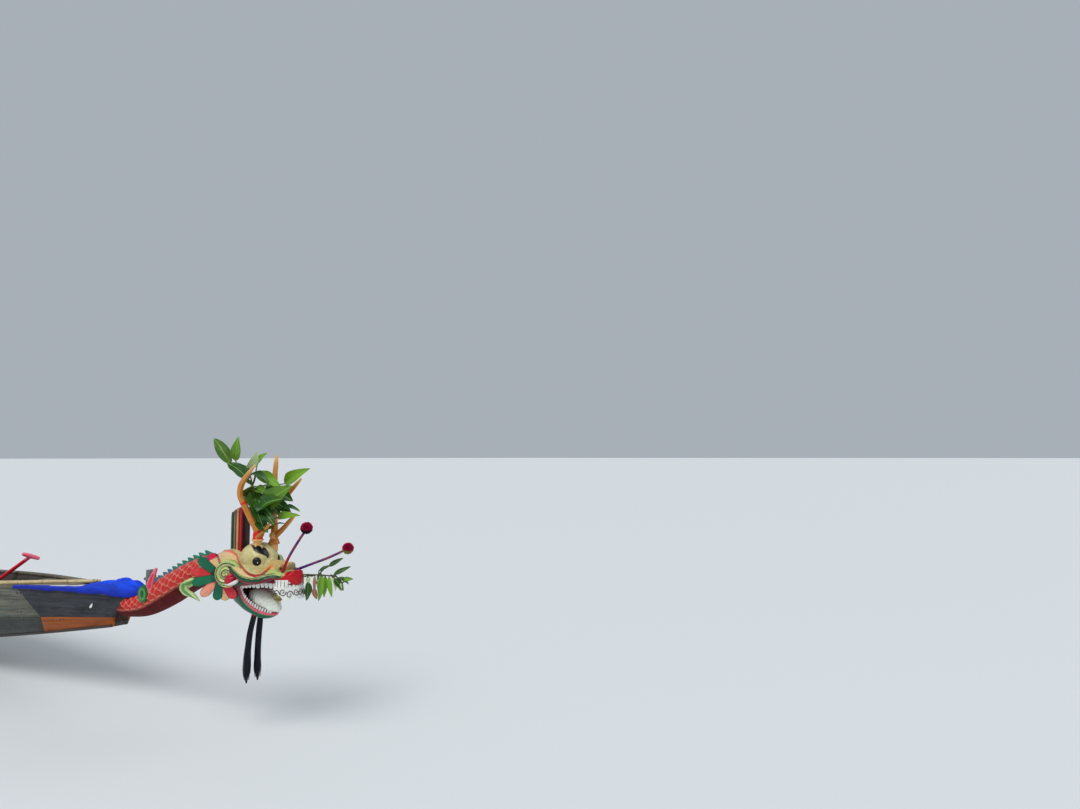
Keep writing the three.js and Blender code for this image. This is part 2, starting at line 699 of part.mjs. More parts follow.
// Antlers. Each branch: rows of forward of the root, out to port, height, radius.
const antlers = {
  starboard: [
    [[1460, -36, 1216, 26], [1456, -62, 1327, 22], [1424, -98, 1438, 19], [1390, -140, 1530, 18],
      [1392, -150, 1640, 17], [1470, -150, 1735, 13], [1560, -140, 1772, 5]],
    [[1462, -52, 1278, 16], [1518, -52, 1328, 12], [1568, -52, 1398, 5]],
  ],
  port: [
    [[1500, 66, 1190, 26], [1482, 82, 1330, 22], [1440, 112, 1450, 19], [1410, 138, 1590, 17],
      [1405, 146, 1720, 13], [1410, 150, 1830, 5]],
    [[1490, 76, 1270, 17], [1560, 82, 1330, 14], [1650, 96, 1415, 6]],
    [[1430, 118, 1480, 13], [1520, 140, 1540, 11], [1640, 150, 1650, 5]],
  ],
};
const antlerSolids = {};
for (const [name, branches] of Object.entries(antlers)) {
  const whole = join(...branches.map((rows) => (
    bar(rows.map(([x, y, z, radius]) => [root + x, y, z, radius]), 8, 10))));
  antlerSolids[name] = largest(cut(whole, skull));
  add(`antler_${name}`, geometryOf(antlerSolids[name]), colours.horn, 0.5);
}

// Painted boards stand behind the antlers. Rows: forward of the root, half width, top.
const maneRows = [[1186, 18, 1436], [1212, 20, 1452], [1238, 22, 1466], [1264, 22, 1474]];
const maneThickness = 26;
const maneFoot = 1150;
const mane = cut(join(...maneRows.map(([x, halfWidth, top]) => (
  box(maneThickness + 1, 2 * halfWidth, top - maneFoot, root + x, 0, (top + maneFoot) / 2)))), skull, neck);
add('mane_boards', geometryOf(largest(mane)), colours.red, 0.5);

// Spring whiskers with a pompom each. Rows: forward of the root, out to port, height, radius.
const whiskers = {
  starboard: {
    rows: [[1716, -50, 1080, 9], [1800, -84, 1172, 8], [1900, -112, 1268, 8], [2002, -132, 1364, 7]],
    pompom: [2006, -134, 1372],
  },
  port: {
    rows: [[1720, 50, 1078, 9], [1820, 88, 1118, 8], [1930, 130, 1162, 8], [2042, 170, 1216, 7]],
    pompom: [2050, 174, 1222],
  },
};
const pompomRadius = 36;
for (const [name, { rows, pompom: [x, y, z] }] of Object.entries(whiskers)) {
  const stalk = bar(rows.map(([px, py, pz, radius]) => [root + px, py, pz, radius]), 6, 8);
  const whisker = cut(join(stalk, ball(pompomRadius, root + x, y, z, 10, 7)), skull);
  add(`whisker_${name}`, geometryOf(largest(whisker)), colours.pink, 0.7);
}

// Beard tassels hang from the chin.
const beards = { starboard: -34, port: 34 };
for (const [name, y] of Object.entries(beards)) {
  const tassel = cut(solidOf(bar([
    [root + 1440, y * 0.7, 800, 18], [root + 1418, y, 700, 20], [root + 1400, y * 1.2, 560, 20],
    [root + 1396, y * 1.3, 430, 25], [root + 1398, y * 1.3, 362, 20]], 8, 12)), lowerJaw, tongue);
  add(`beard_${name}`, geometryOf(largest(tassel)), colours.black, 0.8);
}

// The carved leaf on the starboard side of the neck, with its pink flame.
const leafFin = cut(join(
  platePort([
    [330, 800], [352, 778], [392, 772], [424, 792], [436, 836],
    [420, 884], [384, 900], [346, 880], [326, 840]]
    .map(([x, z]) => [root + x, z]), 26, -104),
  platePort([
    [400, 860], [440, 840], [470, 860], [478, 930], [520, 1020], [500, 1026], [452, 968], [420, 930]]
    .map(([x, z]) => [root + x, z]), 18, -98),
), neck);
add('neck_leaf', geometryOf(largest(leafFin)), colours.leaf, 0.5);

// A pale curled claw under the ruff.
const claw = cut(solidOf(bar([
  [root + 900, -96, 962, 26], [root + 870, -132, 930, 30], [root + 920, -160, 905, 28],
  [root + 1010, -170, 890, 20], [root + 1080, -172, 862, 5]], 8, 10)), neck);
add('neck_claw', geometryOf(largest(claw)), 0xb4cf8f, 0.5);

// The locking post at the neck's root.
const lockPost = cut(solidOf(box(52, 52, 175, root + 262, 30, 892)), neck);
add('neck_post', geometryOf(largest(lockPost)), 0x7b7f80, 0.8);

// A leaf blade: six corners, thin, broadest a little below its middle.
const leafThickness = 5;
const leafFacing = v(0.6, -0.62, 0.5);
function leaf([bx, by, bz], [tx, ty, tz], width) {
  const foot = v(root + bx, by, bz);
  const tip = v(root + tx, ty, tz);
  const middle = foot.clone().lerp(tip, 0.45);
  const run = tip.clone().sub(foot).normalize();
  const aside = run.clone().cross(leafFacing).normalize();
  const out = aside.clone().cross(run).normalize();
  const beside = (direction, reach) => middle.clone().addScaledVector(direction, reach);
  const corners = [
    foot, beside(aside, width / 2), beside(aside, -width / 2),
    beside(out, leafThickness), beside(out, -leafThickness), tip];
  const faces = [[0, 1, 3], [0, 3, 2], [0, 2, 4], [0, 4, 1], [5, 3, 1], [5, 2, 3], [5, 4, 2], [5, 1, 4]];
  return closedMesh(corners, faces.flat());
}

function closedMesh(corners, index) {
  const positions = corners.flatMap((point) => [point.x, point.y, point.z]);
  const geometry = new THREE.BufferGeometry();
  geometry.setAttribute('position', new THREE.Float32BufferAttribute(positions, 3));
  geometry.setIndex(signedVolume(positions, index) < 0 ? index.reverse() : index);
  return geometry;
}

// A straight twig of three sides, thinner at its far end.
function twig(from, to, radius) {
  const run = v(...to).sub(v(...from)).normalize();
  const aside = run.clone().cross(Math.abs(run.z) < 0.8 ? v(0, 0, 1) : v(1, 0, 0)).normalize();
  const across = aside.clone().cross(run);
  const ring = ([x, y, z], size) => [0, 1, 2].map((corner) => {
    const angle = (2 * Math.PI * corner) / 3;
    return v(root + x, y, z)
      .addScaledVector(aside, size * Math.cos(angle))
      .addScaledVector(across, size * Math.sin(angle));
  });
  return loft([ring(from, radius), ring(to, radius * 0.6)]);
}

// A spray of leaves on a stem. Each row: where the twig leaves the stem, leaf foot, leaf tip, leaf width.
function spray(stems, rows) {
  const twigs = stems.map(([from, to, radius]) => twig(from, to, radius));
  const leaves = rows.flatMap(([, from, foot, tip, width]) => {
    const run = v(...tip).sub(v(...foot)).normalize().multiplyScalar(16);
    const end = foot.map((value, axis) => value + run.getComponent(axis));
    return [twig(from, end, 5), leaf(foot, tip, width)];
  });
  return join(...twigs, ...leaves);
}

// The spray tied between the antlers. Stems: from, to, radius. Rows: name of place, fork, foot, tip, width.
const crownStems = [
  [[1440, 0, 1225], [1440, -12, 1420], 12],
  [[1440, -12, 1405], [1400, -40, 1620], 9],
  [[1440, -12, 1405], [1500, 40, 1600], 9],
];
const crownLeaves = [
  ['left dark', [1402, -38, 1610], [1400, -70, 1700], [1262, -120, 1662], 96],
  ['left tall', [1402, -38, 1610], [1415, -92, 1712], [1525, -118, 1826], 62],
  ['middle tall', [1402, -38, 1610], [1440, -40, 1720], [1549, -60, 1819], 46],
  ['far left', [1402, -38, 1610], [1240, -60, 1800], [1085, -80, 1905], 60],
  ['top', [1402, -38, 1610], [1262, -60, 1775], [1292, -80, 1931], 58],
  ['middle light', [1402, -38, 1610], [1365, 10, 1676], [1626, 0, 1619], 84],
  ['right light', [1498, 38, 1592], [1552, 96, 1628], [1780, 80, 1722], 84],
  ['broad', [1438, -12, 1410], [1515, 16, 1474], [1718, 0, 1621], 118],
  ['low right', [1440, -12, 1400], [1610, 0, 1427], [1800, -20, 1423], 66],
  ['dark right', [1440, -12, 1410], [1564, 50, 1466], [1760, 38, 1474], 44],
  ['left middle', [1428, -20, 1470], [1470, -50, 1536], [1370, -66, 1620], 72],
  ['left low', [1440, -10, 1380], [1500, -40, 1400], [1462, -56, 1537], 70],
  ['low', [1440, -6, 1330], [1537, -20, 1351], [1512, -40, 1489], 64],
  ['low left', [1440, -6, 1340], [1500, -36, 1424], [1400, -60, 1430], 56],
];
const crown = cut(spray(crownStems, crownLeaves), skull, antlerSolids.starboard, antlerSolids.port, mane);
add('crown_leaves', geometryOf(largest(crown)), colours.leaf, 0.6);

// The spray that hangs from the tip of the snout.
const lipStems = [
  [[1795, 20, 1052], [1870, 110, 1048], 7],
  [[1868, 108, 1048], [1905, 180, 1036], 6],
];
const lipLeaves = [
  ['dark hanging', [1830, 62, 1050], [1832, 58, 1040], [1850, 40, 900], 46],
  ['light hanging', [1872, 112, 1047], [1890, 112, 1030], [1890, 100, 880], 52],
  ['second hanging', [1890, 150, 1040], [1908, 158, 1024], [1950, 150, 900], 44],
  ['end', [1904, 178, 1036], [1925, 190, 1020], [2000, 240, 950], 48],
  ['upper', [1868, 108, 1048], [1880, 125, 1070], [1990, 200, 1150], 34],
  ['end upper', [1904, 178, 1036], [1925, 190, 1046], [2010, 260, 1105], 34],
];
const lipSpray = cut(spray(lipStems, lipLeaves), skull, upperTeeth);
add('lip_leaves', geometryOf(largest(lipSpray)), colours.leaf, 0.6);

// The tail rises from the stern. Rows: aft of its root, height, radius.
const tailPath = [
  [75, 712, 84], [300, 752, 88], [560, 880, 80], [780, 1080, 66],
  [900, 1300, 50], [930, 1500, 34], [880, 1640, 16],
];
const tailSides = 14;
const tailSteps = 16;
const tailCurve = new THREE.CatmullRomCurve3(tailPath.map(([x, z]) => v(-root - x, 0, z)));
const tailRings = Array.from({ length: tailSteps + 1 }, (_, step) => {
  const share = step / tailSteps;
  const along = tailCurve.getUtoTmapping(share) * (tailPath.length - 1);
  const before = Math.min(Math.floor(along), tailPath.length - 2);
  const radius = lerp(tailPath[before][2], tailPath[before + 1][2], along - before);
  const centre = tailCurve.getPointAt(share);
  const tangent = tailCurve.getTangentAt(share);
  const up = v(tangent.z, 0, -tangent.x);
  return Array.from({ length: tailSides }, (__, side) => {
    const angle = (2 * Math.PI * side) / tailSides;
    const across = radius * Math.cos(angle);
    const height = radius * Math.sin(angle);
    if (step === 0) return v(-stemX(centre.z + height), across, centre.z + height);
    const point = centre.clone().addScaledVector(up, height).setY(across);
    point.x = Math.min(point.x, -stemX(point.z) - share * neckGrowth);
    return point;
  });
});

// A flame-shaped fin stands on the back of the tail, in one piece with it. Outline: aft of the root, height.
const tailFinOutline = [
  [720, 1060], [880, 1040], [1010, 1100], [960, 1150], [1080, 1230], [1010, 1270], [1120, 1380], [1030, 1410],
  [1120, 1540], [1010, 1560], [1060, 1720], [960, 1690], [900, 1840], [860, 1700], [800, 1640], [880, 1500],
  [880, 1300],
];
const tailFinThickness = 18;
const tailFin = platePort(tailFinOutline.map(([x, z]) => [-root - x, z]), tailFinThickness, 0);
add('tail', geometryOf(join(loft(tailRings), tailFin)), colours.red, 0.45);

// Bamboo flag poles lie on the bow deck's after edge, tied where they cross. Ends: aft, fore.
const poleRadius = 14;
const poleEnds = [
  [[-2600, -176, 681], [-290, -24, 864]],
  [[-2450, -262, 688], [-300, -46, 866]],
];
const poleSolid = join(...poleEnds.map((ends) => (
  bar(ends.map(([x, y, z]) => [root + x, y, z, poleRadius]), 8, 1))));
add('flag_poles', geometryOf(poleSolid), colours.pale, 0.6);

// Flags lie rolled over the bow. Rows: forward of the root, starboard edge, port edge, height.
const clothRows = [
  [-1050, -262, -170, 14], [-850, -255, -80, 40], [-600, -240, 40, 70], [-350, -218, 100, 92],
  [-100, -192, 112, 100], [60, -165, 108, 92], [180, -140, 84, 50],
];
const clothLift = capHeight + 6;
const clothSection = [0.92, 0.6, 0, -0.6, -0.92];
const cloth = cut(solidOf(loft(clothRows.map(([x, starboard, port, height]) => {
  const base = linesAt(Math.min(root + x, hullHalfLength)).sheerZ + clothLift;
  const middle = (starboard + port) / 2;
  const half = (port - starboard) / 2;
  const crown = (share) => base + height * Math.sqrt(1 - share * share);
  return [
    v(root + x, starboard, base), v(root + x, port, base),
    ...clothSection.map((share) => v(root + x, middle + half * share, crown(share))),
  ];
}))), neck, lockPost, leafFin, poleSolid);
add('flag_cloth', geometryOf(largest(cloth)), colours.blue, 0.8);

// A paddle leans on the foremost thwart, its blade on the bottom. Its own axis runs from the grip to the tip.
const paddle = {
  grip: v(root - 2007, 360, 898),
  tip: v(root - 3070, 86, 222),
  shaftRadius: 15,
  gripLength: 205,
  gripRadius: 15,
  bladeLength: 520,
  bladeWidth: 165,
  bladeThickness: 14,
};
function paddleGeometry() {
  const length = paddle.grip.distanceTo(paddle.tip);
  const { shaftRadius, gripRadius, gripLength } = paddle;
  const shaftEnd = length - paddle.bladeLength + 60;
  const shaft = bar([[0, 0, 0, shaftRadius], [shaftEnd, 0, 0, shaftRadius]], 8, 1);
  const handle = bar([
    [0, -gripLength / 2, 0, gripRadius], [0, gripLength / 2, 0, gripRadius]], 8, 1);
  const half = paddle.bladeWidth / 2;
  const start = length - paddle.bladeLength;
  const outline = new THREE.Shape([
    [start, -16], [start + 120, -half], [length - 30, -half], [length, -half + 40],
    [length, half - 40], [length - 30, half], [start + 120, half], [start, 16]]
    .map(([x, y]) => new THREE.Vector2(x, y)));
  const blade = new THREE.ExtrudeGeometry(outline, { depth: paddle.bladeThickness, bevelEnabled: false });
  blade.translate(0, 0, -paddle.bladeThickness / 2);
  const whole = geometryOf(join(shaft, handle, blade));
  const run = paddle.tip.clone().sub(paddle.grip).normalize();
  whole.applyQuaternion(new THREE.Quaternion().setFromUnitVectors(v(1, 0, 0), run));
  whole.translate(paddle.grip.x, paddle.grip.y, paddle.grip.z);
  return whole;
}
add('paddle', paddleGeometry(), colours.red, 0.5);

// The steering oar works in a swivelling crutch on a beam across the stern, outboard to starboard.
const oarPivot = { x: -6850, y: -330, z: 960 };
const oarSlope = 30;
const oarInboard = 1500;
const oarOutboard = 2500;
const loomRadius = 24;
const oarBlade = { length: 900, width: 210, thickness: 26 };
const pinRadius = 9;
const pinHole = 9.4;
const pinSides = 24;
const crutch = {
  halfSpace: 31,
  cheek: 16,
  cheekWidth: 66,
  baseRadius: 52,
  baseHeight: 20,
  rise: 34,
  pintle: 12,
  pintleHole: 12.5,
};
const beam = { length: 90, height: 56, portEnd: 245, starboardEnd: -392 };
const capTopAtBeam = Math.max(...[-1, 1].map((end) => (
  linesAt(oarPivot.x + (end * beam.length) / 2).sheerZ))) + capHeight + 2 * gap;
const beamTop = capTopAtBeam + beam.height;

function crossRod(radius, length, x, y, z, sides = 12) {
  const rod = new THREE.CylinderGeometry(radius, radius, length, sides);
  rod.translate(x, y, z);
  return rod;
}

function uprightRod(radius, length, x, y, z, sides = 12) {
  const rod = new THREE.CylinderGeometry(radius, radius, length, sides);
  rod.rotateX(Math.PI / 2);
  rod.translate(x, y, z);
  return rod;
}

const beamShape = box(
  beam.length, beam.portEnd - beam.starboardEnd, beam.height,
  oarPivot.x, (beam.portEnd + beam.starboardEnd) / 2, capTopAtBeam + beam.height / 2);
const beamBore = uprightRod(
  crutch.pintleHole, 3 * beam.height, oarPivot.x, oarPivot.y, beamTop - beam.height, pinSides);
add('stern_beam', geometryOf(solidOf(beamShape).subtract(solidOf(beamBore))), colours.inside, 0.8);

function crutchGeometry() {
  const low = beamTop + gap;
  const base = uprightRod(
    crutch.baseRadius, crutch.baseHeight, oarPivot.x, oarPivot.y, low + crutch.baseHeight / 2, 16);
  const pintleLength = beam.height + crutch.baseHeight;
  const pintle = uprightRod(
    crutch.pintle, pintleLength, oarPivot.x, oarPivot.y,
    low + crutch.baseHeight - pintleLength / 2, pinSides);
  const top = oarPivot.z + crutch.rise;
  const foot = low + crutch.baseHeight - 2;
  const cheeks = [-1, 1].map((side) => box(
    crutch.cheekWidth, crutch.cheek, top - foot,
    oarPivot.x, oarPivot.y + side * (crutch.halfSpace + crutch.cheek / 2), (top + foot) / 2));
  const bore = crossRod(pinHole, 4 * crutch.halfSpace, oarPivot.x, oarPivot.y, oarPivot.z, pinSides);
  return geometryOf(join(base, pintle, ...cheeks).subtract(solidOf(bore)));
}
add('oar_crutch', crutchGeometry(), 0x5a5048, 0.7);

function oarGeometry() {
  const loom = bar([[oarInboard, 0, 0, loomRadius * 0.8], [300, 0, 0, loomRadius], [-300, 0, 0, loomRadius],
    [-(oarOutboard - oarBlade.length + 80), 0, 0, loomRadius * 0.9]], 8, 3);
  const start = -(oarOutboard - oarBlade.length);
  const half = oarBlade.width / 2;
  const blade = platePort([
    [start, -18], [start, 18], [start - 180, half], [-oarOutboard + 20, half + 8],
    [-oarOutboard, half - 14], [-oarOutboard, 14 - half], [-oarOutboard + 20, -half - 8],
    [start - 180, -half]], oarBlade.thickness, 0);
  const pin = crossRod(pinRadius, 2 * (crutch.halfSpace + crutch.cheek) + 8, 0, 0, 0, pinSides);
  const whole = geometryOf(join(loom, blade, pin));
  whole.rotateY(THREE.MathUtils.degToRad(-oarSlope));
  whole.translate(oarPivot.x, oarPivot.y, oarPivot.z);
  return whole;
}
add('steering_oar', oarGeometry(), colours.pale, 0.6);

// The drum stands on two bearers laid across a pair of thwarts.
const drum = { x: thwartPitch / 2, radius: 250, waist: 285, height: 400, sides: 20 };
const bearer = { length: 980, width: 60, height: 50, y: 170 };
const thwartTop = Math.max(...thwarts.filter(({ s }) => s === 0 || s === thwartPitch)
  .map(({ low }) => low + thwartThickness)) + gap;
const cradleBars = [-1, 1].map((end) => box(
  60, 2 * bearer.y + bearer.width, 40, drum.x + end * 170, 0, thwartTop + bearer.height - 20));
add('drum_stand', geometryOf(join(
  ...[-1, 1].map((side) => box(
    bearer.length, bearer.width, bearer.height, drum.x, side * bearer.y, thwartTop + bearer.height / 2)),
  ...cradleBars)), colours.inside, 0.7);
const drumLow = thwartTop + bearer.height + gap;
const drumShape = new THREE.LatheGeometry([
  [0, 0], [drum.radius, 0], [drum.waist, drum.height * 0.3], [drum.waist + 8, drum.height / 2],
  [drum.waist, drum.height * 0.7], [drum.radius, drum.height], [0, drum.height]]
  .map(([radius, height]) => new THREE.Vector2(radius, height)), drum.sides);
drumShape.rotateX(Math.PI / 2);
drumShape.translate(drum.x, 0, drumLow);
add('drum', drumShape, colours.red, 0.4);

export default group;
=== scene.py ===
import math

import bmesh
import bpy
import numpy as np
from mathutils import Matrix, Vector


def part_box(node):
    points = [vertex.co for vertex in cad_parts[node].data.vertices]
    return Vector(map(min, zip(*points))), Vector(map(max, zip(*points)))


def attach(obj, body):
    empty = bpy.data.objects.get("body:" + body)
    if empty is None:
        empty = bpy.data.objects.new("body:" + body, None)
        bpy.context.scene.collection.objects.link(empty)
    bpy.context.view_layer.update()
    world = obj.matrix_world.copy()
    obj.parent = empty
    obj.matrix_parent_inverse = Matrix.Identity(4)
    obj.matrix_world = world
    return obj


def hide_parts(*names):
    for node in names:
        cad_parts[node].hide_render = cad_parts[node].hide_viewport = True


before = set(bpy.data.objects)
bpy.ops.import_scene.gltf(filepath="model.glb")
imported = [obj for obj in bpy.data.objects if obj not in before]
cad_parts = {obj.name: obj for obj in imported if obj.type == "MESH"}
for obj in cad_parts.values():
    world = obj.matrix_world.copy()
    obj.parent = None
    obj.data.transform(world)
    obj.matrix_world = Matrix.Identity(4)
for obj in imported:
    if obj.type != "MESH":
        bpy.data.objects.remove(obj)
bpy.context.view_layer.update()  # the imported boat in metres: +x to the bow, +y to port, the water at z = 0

rootX = 7.75  # the neck's root; rows for the head are in millimetres forward of it
print("frame loaded,", len(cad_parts), "nodes")

# the camera stands on the bank, off the starboard bow
camera = {"place": (13.352, -3.543, 1.8), "pitch": 93.85, "turn": 30.0, "lens": 26.0}
eyePiece = bpy.data.cameras.new("camera")
eyePiece.lens = camera["lens"]
eyePiece.sensor_width = 36.0
eyePiece.clip_end = 3000.0
onlooker = bpy.data.objects.new("camera", eyePiece)
onlooker.location = camera["place"]
onlooker.rotation_euler = (math.radians(camera["pitch"]), 0.0, math.radians(camera["turn"]))
bpy.context.collection.objects.link(onlooker)
bpy.context.scene.camera = onlooker

# an overcast sky: a broad high light from behind the camera and a pale world
light = {"skyColour": (0.78, 0.86, 0.95), "sky": 0.5, "key": 1.7, "keyAngle": 35.0, "fill": 0.4}
world = bpy.data.worlds.new("overcast")
world.use_nodes = True
world.node_tree.nodes["Background"].inputs["Color"].default_value = (*light["skyColour"], 1)
world.node_tree.nodes["Background"].inputs["Strength"].default_value = light["sky"]
bpy.context.scene.world = world
bpy.context.scene.view_settings.view_transform = "Standard"
for title, strength, tilt in (("keyLight", light["key"], (38, 8, 5)), ("fillLight", light["fill"], (50, -20, 150))):
    lamp = bpy.data.lights.new(title, "SUN")
    lamp.energy = strength
    lamp.angle = math.radians(light["keyAngle"])
    lampObject = bpy.data.objects.new(title, lamp)
    lampObject.rotation_euler = [math.radians(angle) for angle in tilt]
    bpy.context.collection.objects.link(lampObject)


def put(tree, kind, inputs=None, **settings):
    # one node, its inputs given by name or number as values or as sockets to link
    node = tree.nodes.new(kind)
    for key, value in settings.items():
        setattr(node, key, value)
    for key, value in (inputs or {}).items():
        if isinstance(value, bpy.types.NodeSocket):
            tree.links.new(value, node.inputs[key])
        else:
            node.inputs[key].default_value = value
    return node


def maths(tree, operation, first, second=0.0):
    return put(tree, "ShaderNodeMath", {0: first, 1: second}, operation=operation).outputs[0]


def times(tree, first, second):
    return maths(tree, "MULTIPLY", first, second)


def plus(tree, first, second):
    return maths(tree, "ADD", first, second)


def minus(tree, first, second):
    return maths(tree, "SUBTRACT", first, second)


def scaled(tree, colour, share):
    return put(tree, "ShaderNodeVectorMath", {0: colour, "Scale": share}, operation="SCALE").outputs[0]


def partOf(tree, vector, axis):
    return put(tree, "ShaderNodeSeparateXYZ", {0: vector}).outputs[axis]


def blendColours(tree, share, first, second, kind="MIX"):
    def colour(value):
        return value if isinstance(value, bpy.types.NodeSocket) else (*value, 1)
    node = put(tree, "ShaderNodeMix", {0: share, 6: colour(first), 7: colour(second)}, data_type="RGBA",
        blend_type=kind)
    return node.outputs[2]


def band(tree, value, low, high, lowest=0.0, highest=1.0):
    # the value's place between low and high, eased, as a share
    return put(tree, "ShaderNodeMapRange", {"Value": value, "From Min": low, "From Max": high, "To Min": lowest,
        "To Max": highest}, interpolation_type="SMOOTHSTEP").outputs[0]


def noiseOf(tree, place, scale, detail=4.0, roughness=0.55, stretch=None, distortion=0.0):
    if stretch:
        place = put(tree, "ShaderNodeMapping", {"Vector": place, "Scale": stretch}).outputs[0]
    return put(tree, "ShaderNodeTexNoise", {"Vector": place, "Scale": scale, "Detail": detail, "Roughness": roughness,
        "Distortion": distortion}).outputs[0]


def newMaterial(title, roughness=0.5, **sockets):
    material = bpy.data.materials.new(title)
    material.use_nodes = True
    tree = material.node_tree
    shader = tree.nodes["Principled BSDF"]
    shader.inputs["Roughness"].default_value = roughness
    for name, value in sockets.items():
        shader.inputs[name].default_value = value
    return material, tree, shader


def attributeOf(tree, title, output="Vector"):
    return put(tree, "ShaderNodeAttribute", attribute_name=title).outputs[output]


def finishShader(tree, shader, colour, roughness, height, strength=0.4, distance=0.002):
    tree.links.new(colour, shader.inputs["Base Color"])
    tree.links.new(roughness, shader.inputs["Roughness"])
    bump = put(tree, "ShaderNodeBump", {"Height": height, "Strength": strength, "Distance": distance})
    tree.links.new(bump.outputs[0], shader.inputs["Normal"])


def woodMaterial(title, light, dark, stain, rough=0.6, oldPaint=None, wetBelow=None, crack=0.8, gloss=0.0, inside=None):
    # boards: grain along the piece, checks, stains, a tone for each board, flaking paint and a wet foot
    material, tree, shader = newMaterial(title, **{"Coat Weight": gloss, "Coat Roughness": 0.25,
        "Specular IOR Level": 0.3})
    place = attributeOf(tree, "grain")
    tone = attributeOf(tree, "tone", "Fac")
    shift = put(tree, "ShaderNodeCombineXYZ", {0: times(tree, tone, 7.3), 1: times(tree, tone, 3.1)}).outputs[0]
    shifted = put(tree, "ShaderNodeVectorMath", {0: place, 1: shift}, operation="ADD").outputs[0]
    fine = noiseOf(tree, shifted, 1.0, 6.0, 0.65, (2.6, 110, 110))
    broad = noiseOf(tree, shifted, 1.0, 4.0, 0.55, (0.8, 14, 14), 0.6)
    mixed = plus(tree, times(tree, fine, 0.55), times(tree, broad, 0.45))
    colour = blendColours(tree, band(tree, mixed, 0.32, 0.68), dark, light)
    colour = blendColours(tree, times(tree, band(tree, tone, 0.0, 1.0), 0.35), colour, [0.5 * value for value in dark])
    blotch = noiseOf(tree, place, 3.2, 6.0, 0.62)
    colour = blendColours(tree, band(tree, blotch, 0.52, 0.74, 0.0, 0.75), colour, stain)
    height = fine
    if oldPaint:
        worn = noiseOf(tree, shifted, 1.0, 8.0, 0.7, (6.5, 30, 30))
        left = band(tree, plus(tree, worn, times(tree, broad, 0.35)), 0.58, 0.64, 1.0, 0.0)
        tinted = blendColours(tree, band(tree, blotch, 0.3, 0.7), oldPaint, [0.72 * value for value in oldPaint])
        colour = blendColours(tree, left, colour, tinted)
        height = plus(tree, height, times(tree, left, 0.6))
    checks = noiseOf(tree, shifted, 1.0, 3.0, 0.5, (0.9, 60, 60), 0.3)
    offLine = maths(tree, "ABSOLUTE", minus(tree, checks, 0.5))
    crackLine = times(tree, band(tree, offLine, 0.0, 0.016, 1.0, 0.0), crack)
    colour = blendColours(tree, crackLine, colour, [0.25 * value for value in dark])
    height = minus(tree, height, times(tree, crackLine, 1.4))
    roughness = band(tree, plus(tree, fine, blotch), 0.7, 1.3, rough - 0.12, rough + 0.16)
    if wetBelow is not None:
        level = partOf(tree, put(tree, "ShaderNodeTexCoord").outputs["Object"], 2)
        ragged = plus(tree, level, times(tree, minus(tree, blotch, 0.5), 0.08))
        wet = band(tree, ragged, wetBelow - 0.05, wetBelow + 0.03, 1.0, 0.0)
        colour = blendColours(tree, wet, colour, blendColours(tree, 0.78, colour, (0.012, 0.022, 0.016)))
        growth = band(tree, noiseOf(tree, place, 22.0, 5.0), 0.42, 0.62)
        weed = times(tree, band(tree, ragged, 0.0, 0.05, 1.0, 0.0), growth)
        colour = blendColours(tree, weed, colour, (0.03, 0.06, 0.02))
        roughness = minus(tree, roughness, times(tree, wet, 0.28))
    if inside:
        # the grain's depth is 0 on a board's outer face and 30 mm on its inner one
        inward = band(tree, partOf(tree, place, 2), 0.010, 0.025, 0.0, 0.8)
        colour = blendColours(tree, inward, colour, blendColours(tree, fine, [0.6 * value for value in inside], inside))
    finishShader(tree, shader, colour, roughness, height, 0.55, 0.0025)
    return material


def paintMaterial(title, rough=0.3, gloss=0.35, wood=(0.20, 0.13, 0.07), wear=0.5, strokes=1.0):
    # carved wood under brushed paint: the colour comes from the piece's own "paint"
    material, tree, shader = newMaterial(title, **{"Coat Weight": 0.6 * gloss, "Coat Roughness": 0.14,
        "Specular IOR Level": 0.22})
    place = attributeOf(tree, "grain")
    paint = attributeOf(tree, "paint", "Color")
    brush = noiseOf(tree, place, 1.0, 4.0, 0.6, (14, 95, 95))
    patch = noiseOf(tree, place, 9.0, 5.0, 0.6)
    speck = noiseOf(tree, place, 46.0, 6.0, 0.66)
    light = plus(tree, times(tree, band(tree, brush, 0.25, 0.75), 0.22 * strokes),
        band(tree, patch, 0.25, 0.75, 0.74, 1.06))
    colour = scaled(tree, paint, light)
    colour = blendColours(tree, band(tree, patch, 0.55, 0.78, 0.0, 0.35), colour,
        blendColours(tree, 0.6, colour, (0.10, 0.075, 0.05)))
    chips = times(tree, band(tree, plus(tree, speck, times(tree, patch, 0.5)), 0.93, 0.98), wear)
    colour = blendColours(tree, chips, colour, wood)
    roughness = plus(tree, band(tree, patch, 0.2, 0.8, rough - 0.06, rough + 0.14), times(tree, chips, 0.35))
    height = minus(tree, times(tree, brush, 0.5 * strokes), times(tree, chips, 0.8))
    finishShader(tree, shader, colour, roughness, height, 0.35, 0.0015)
    return material


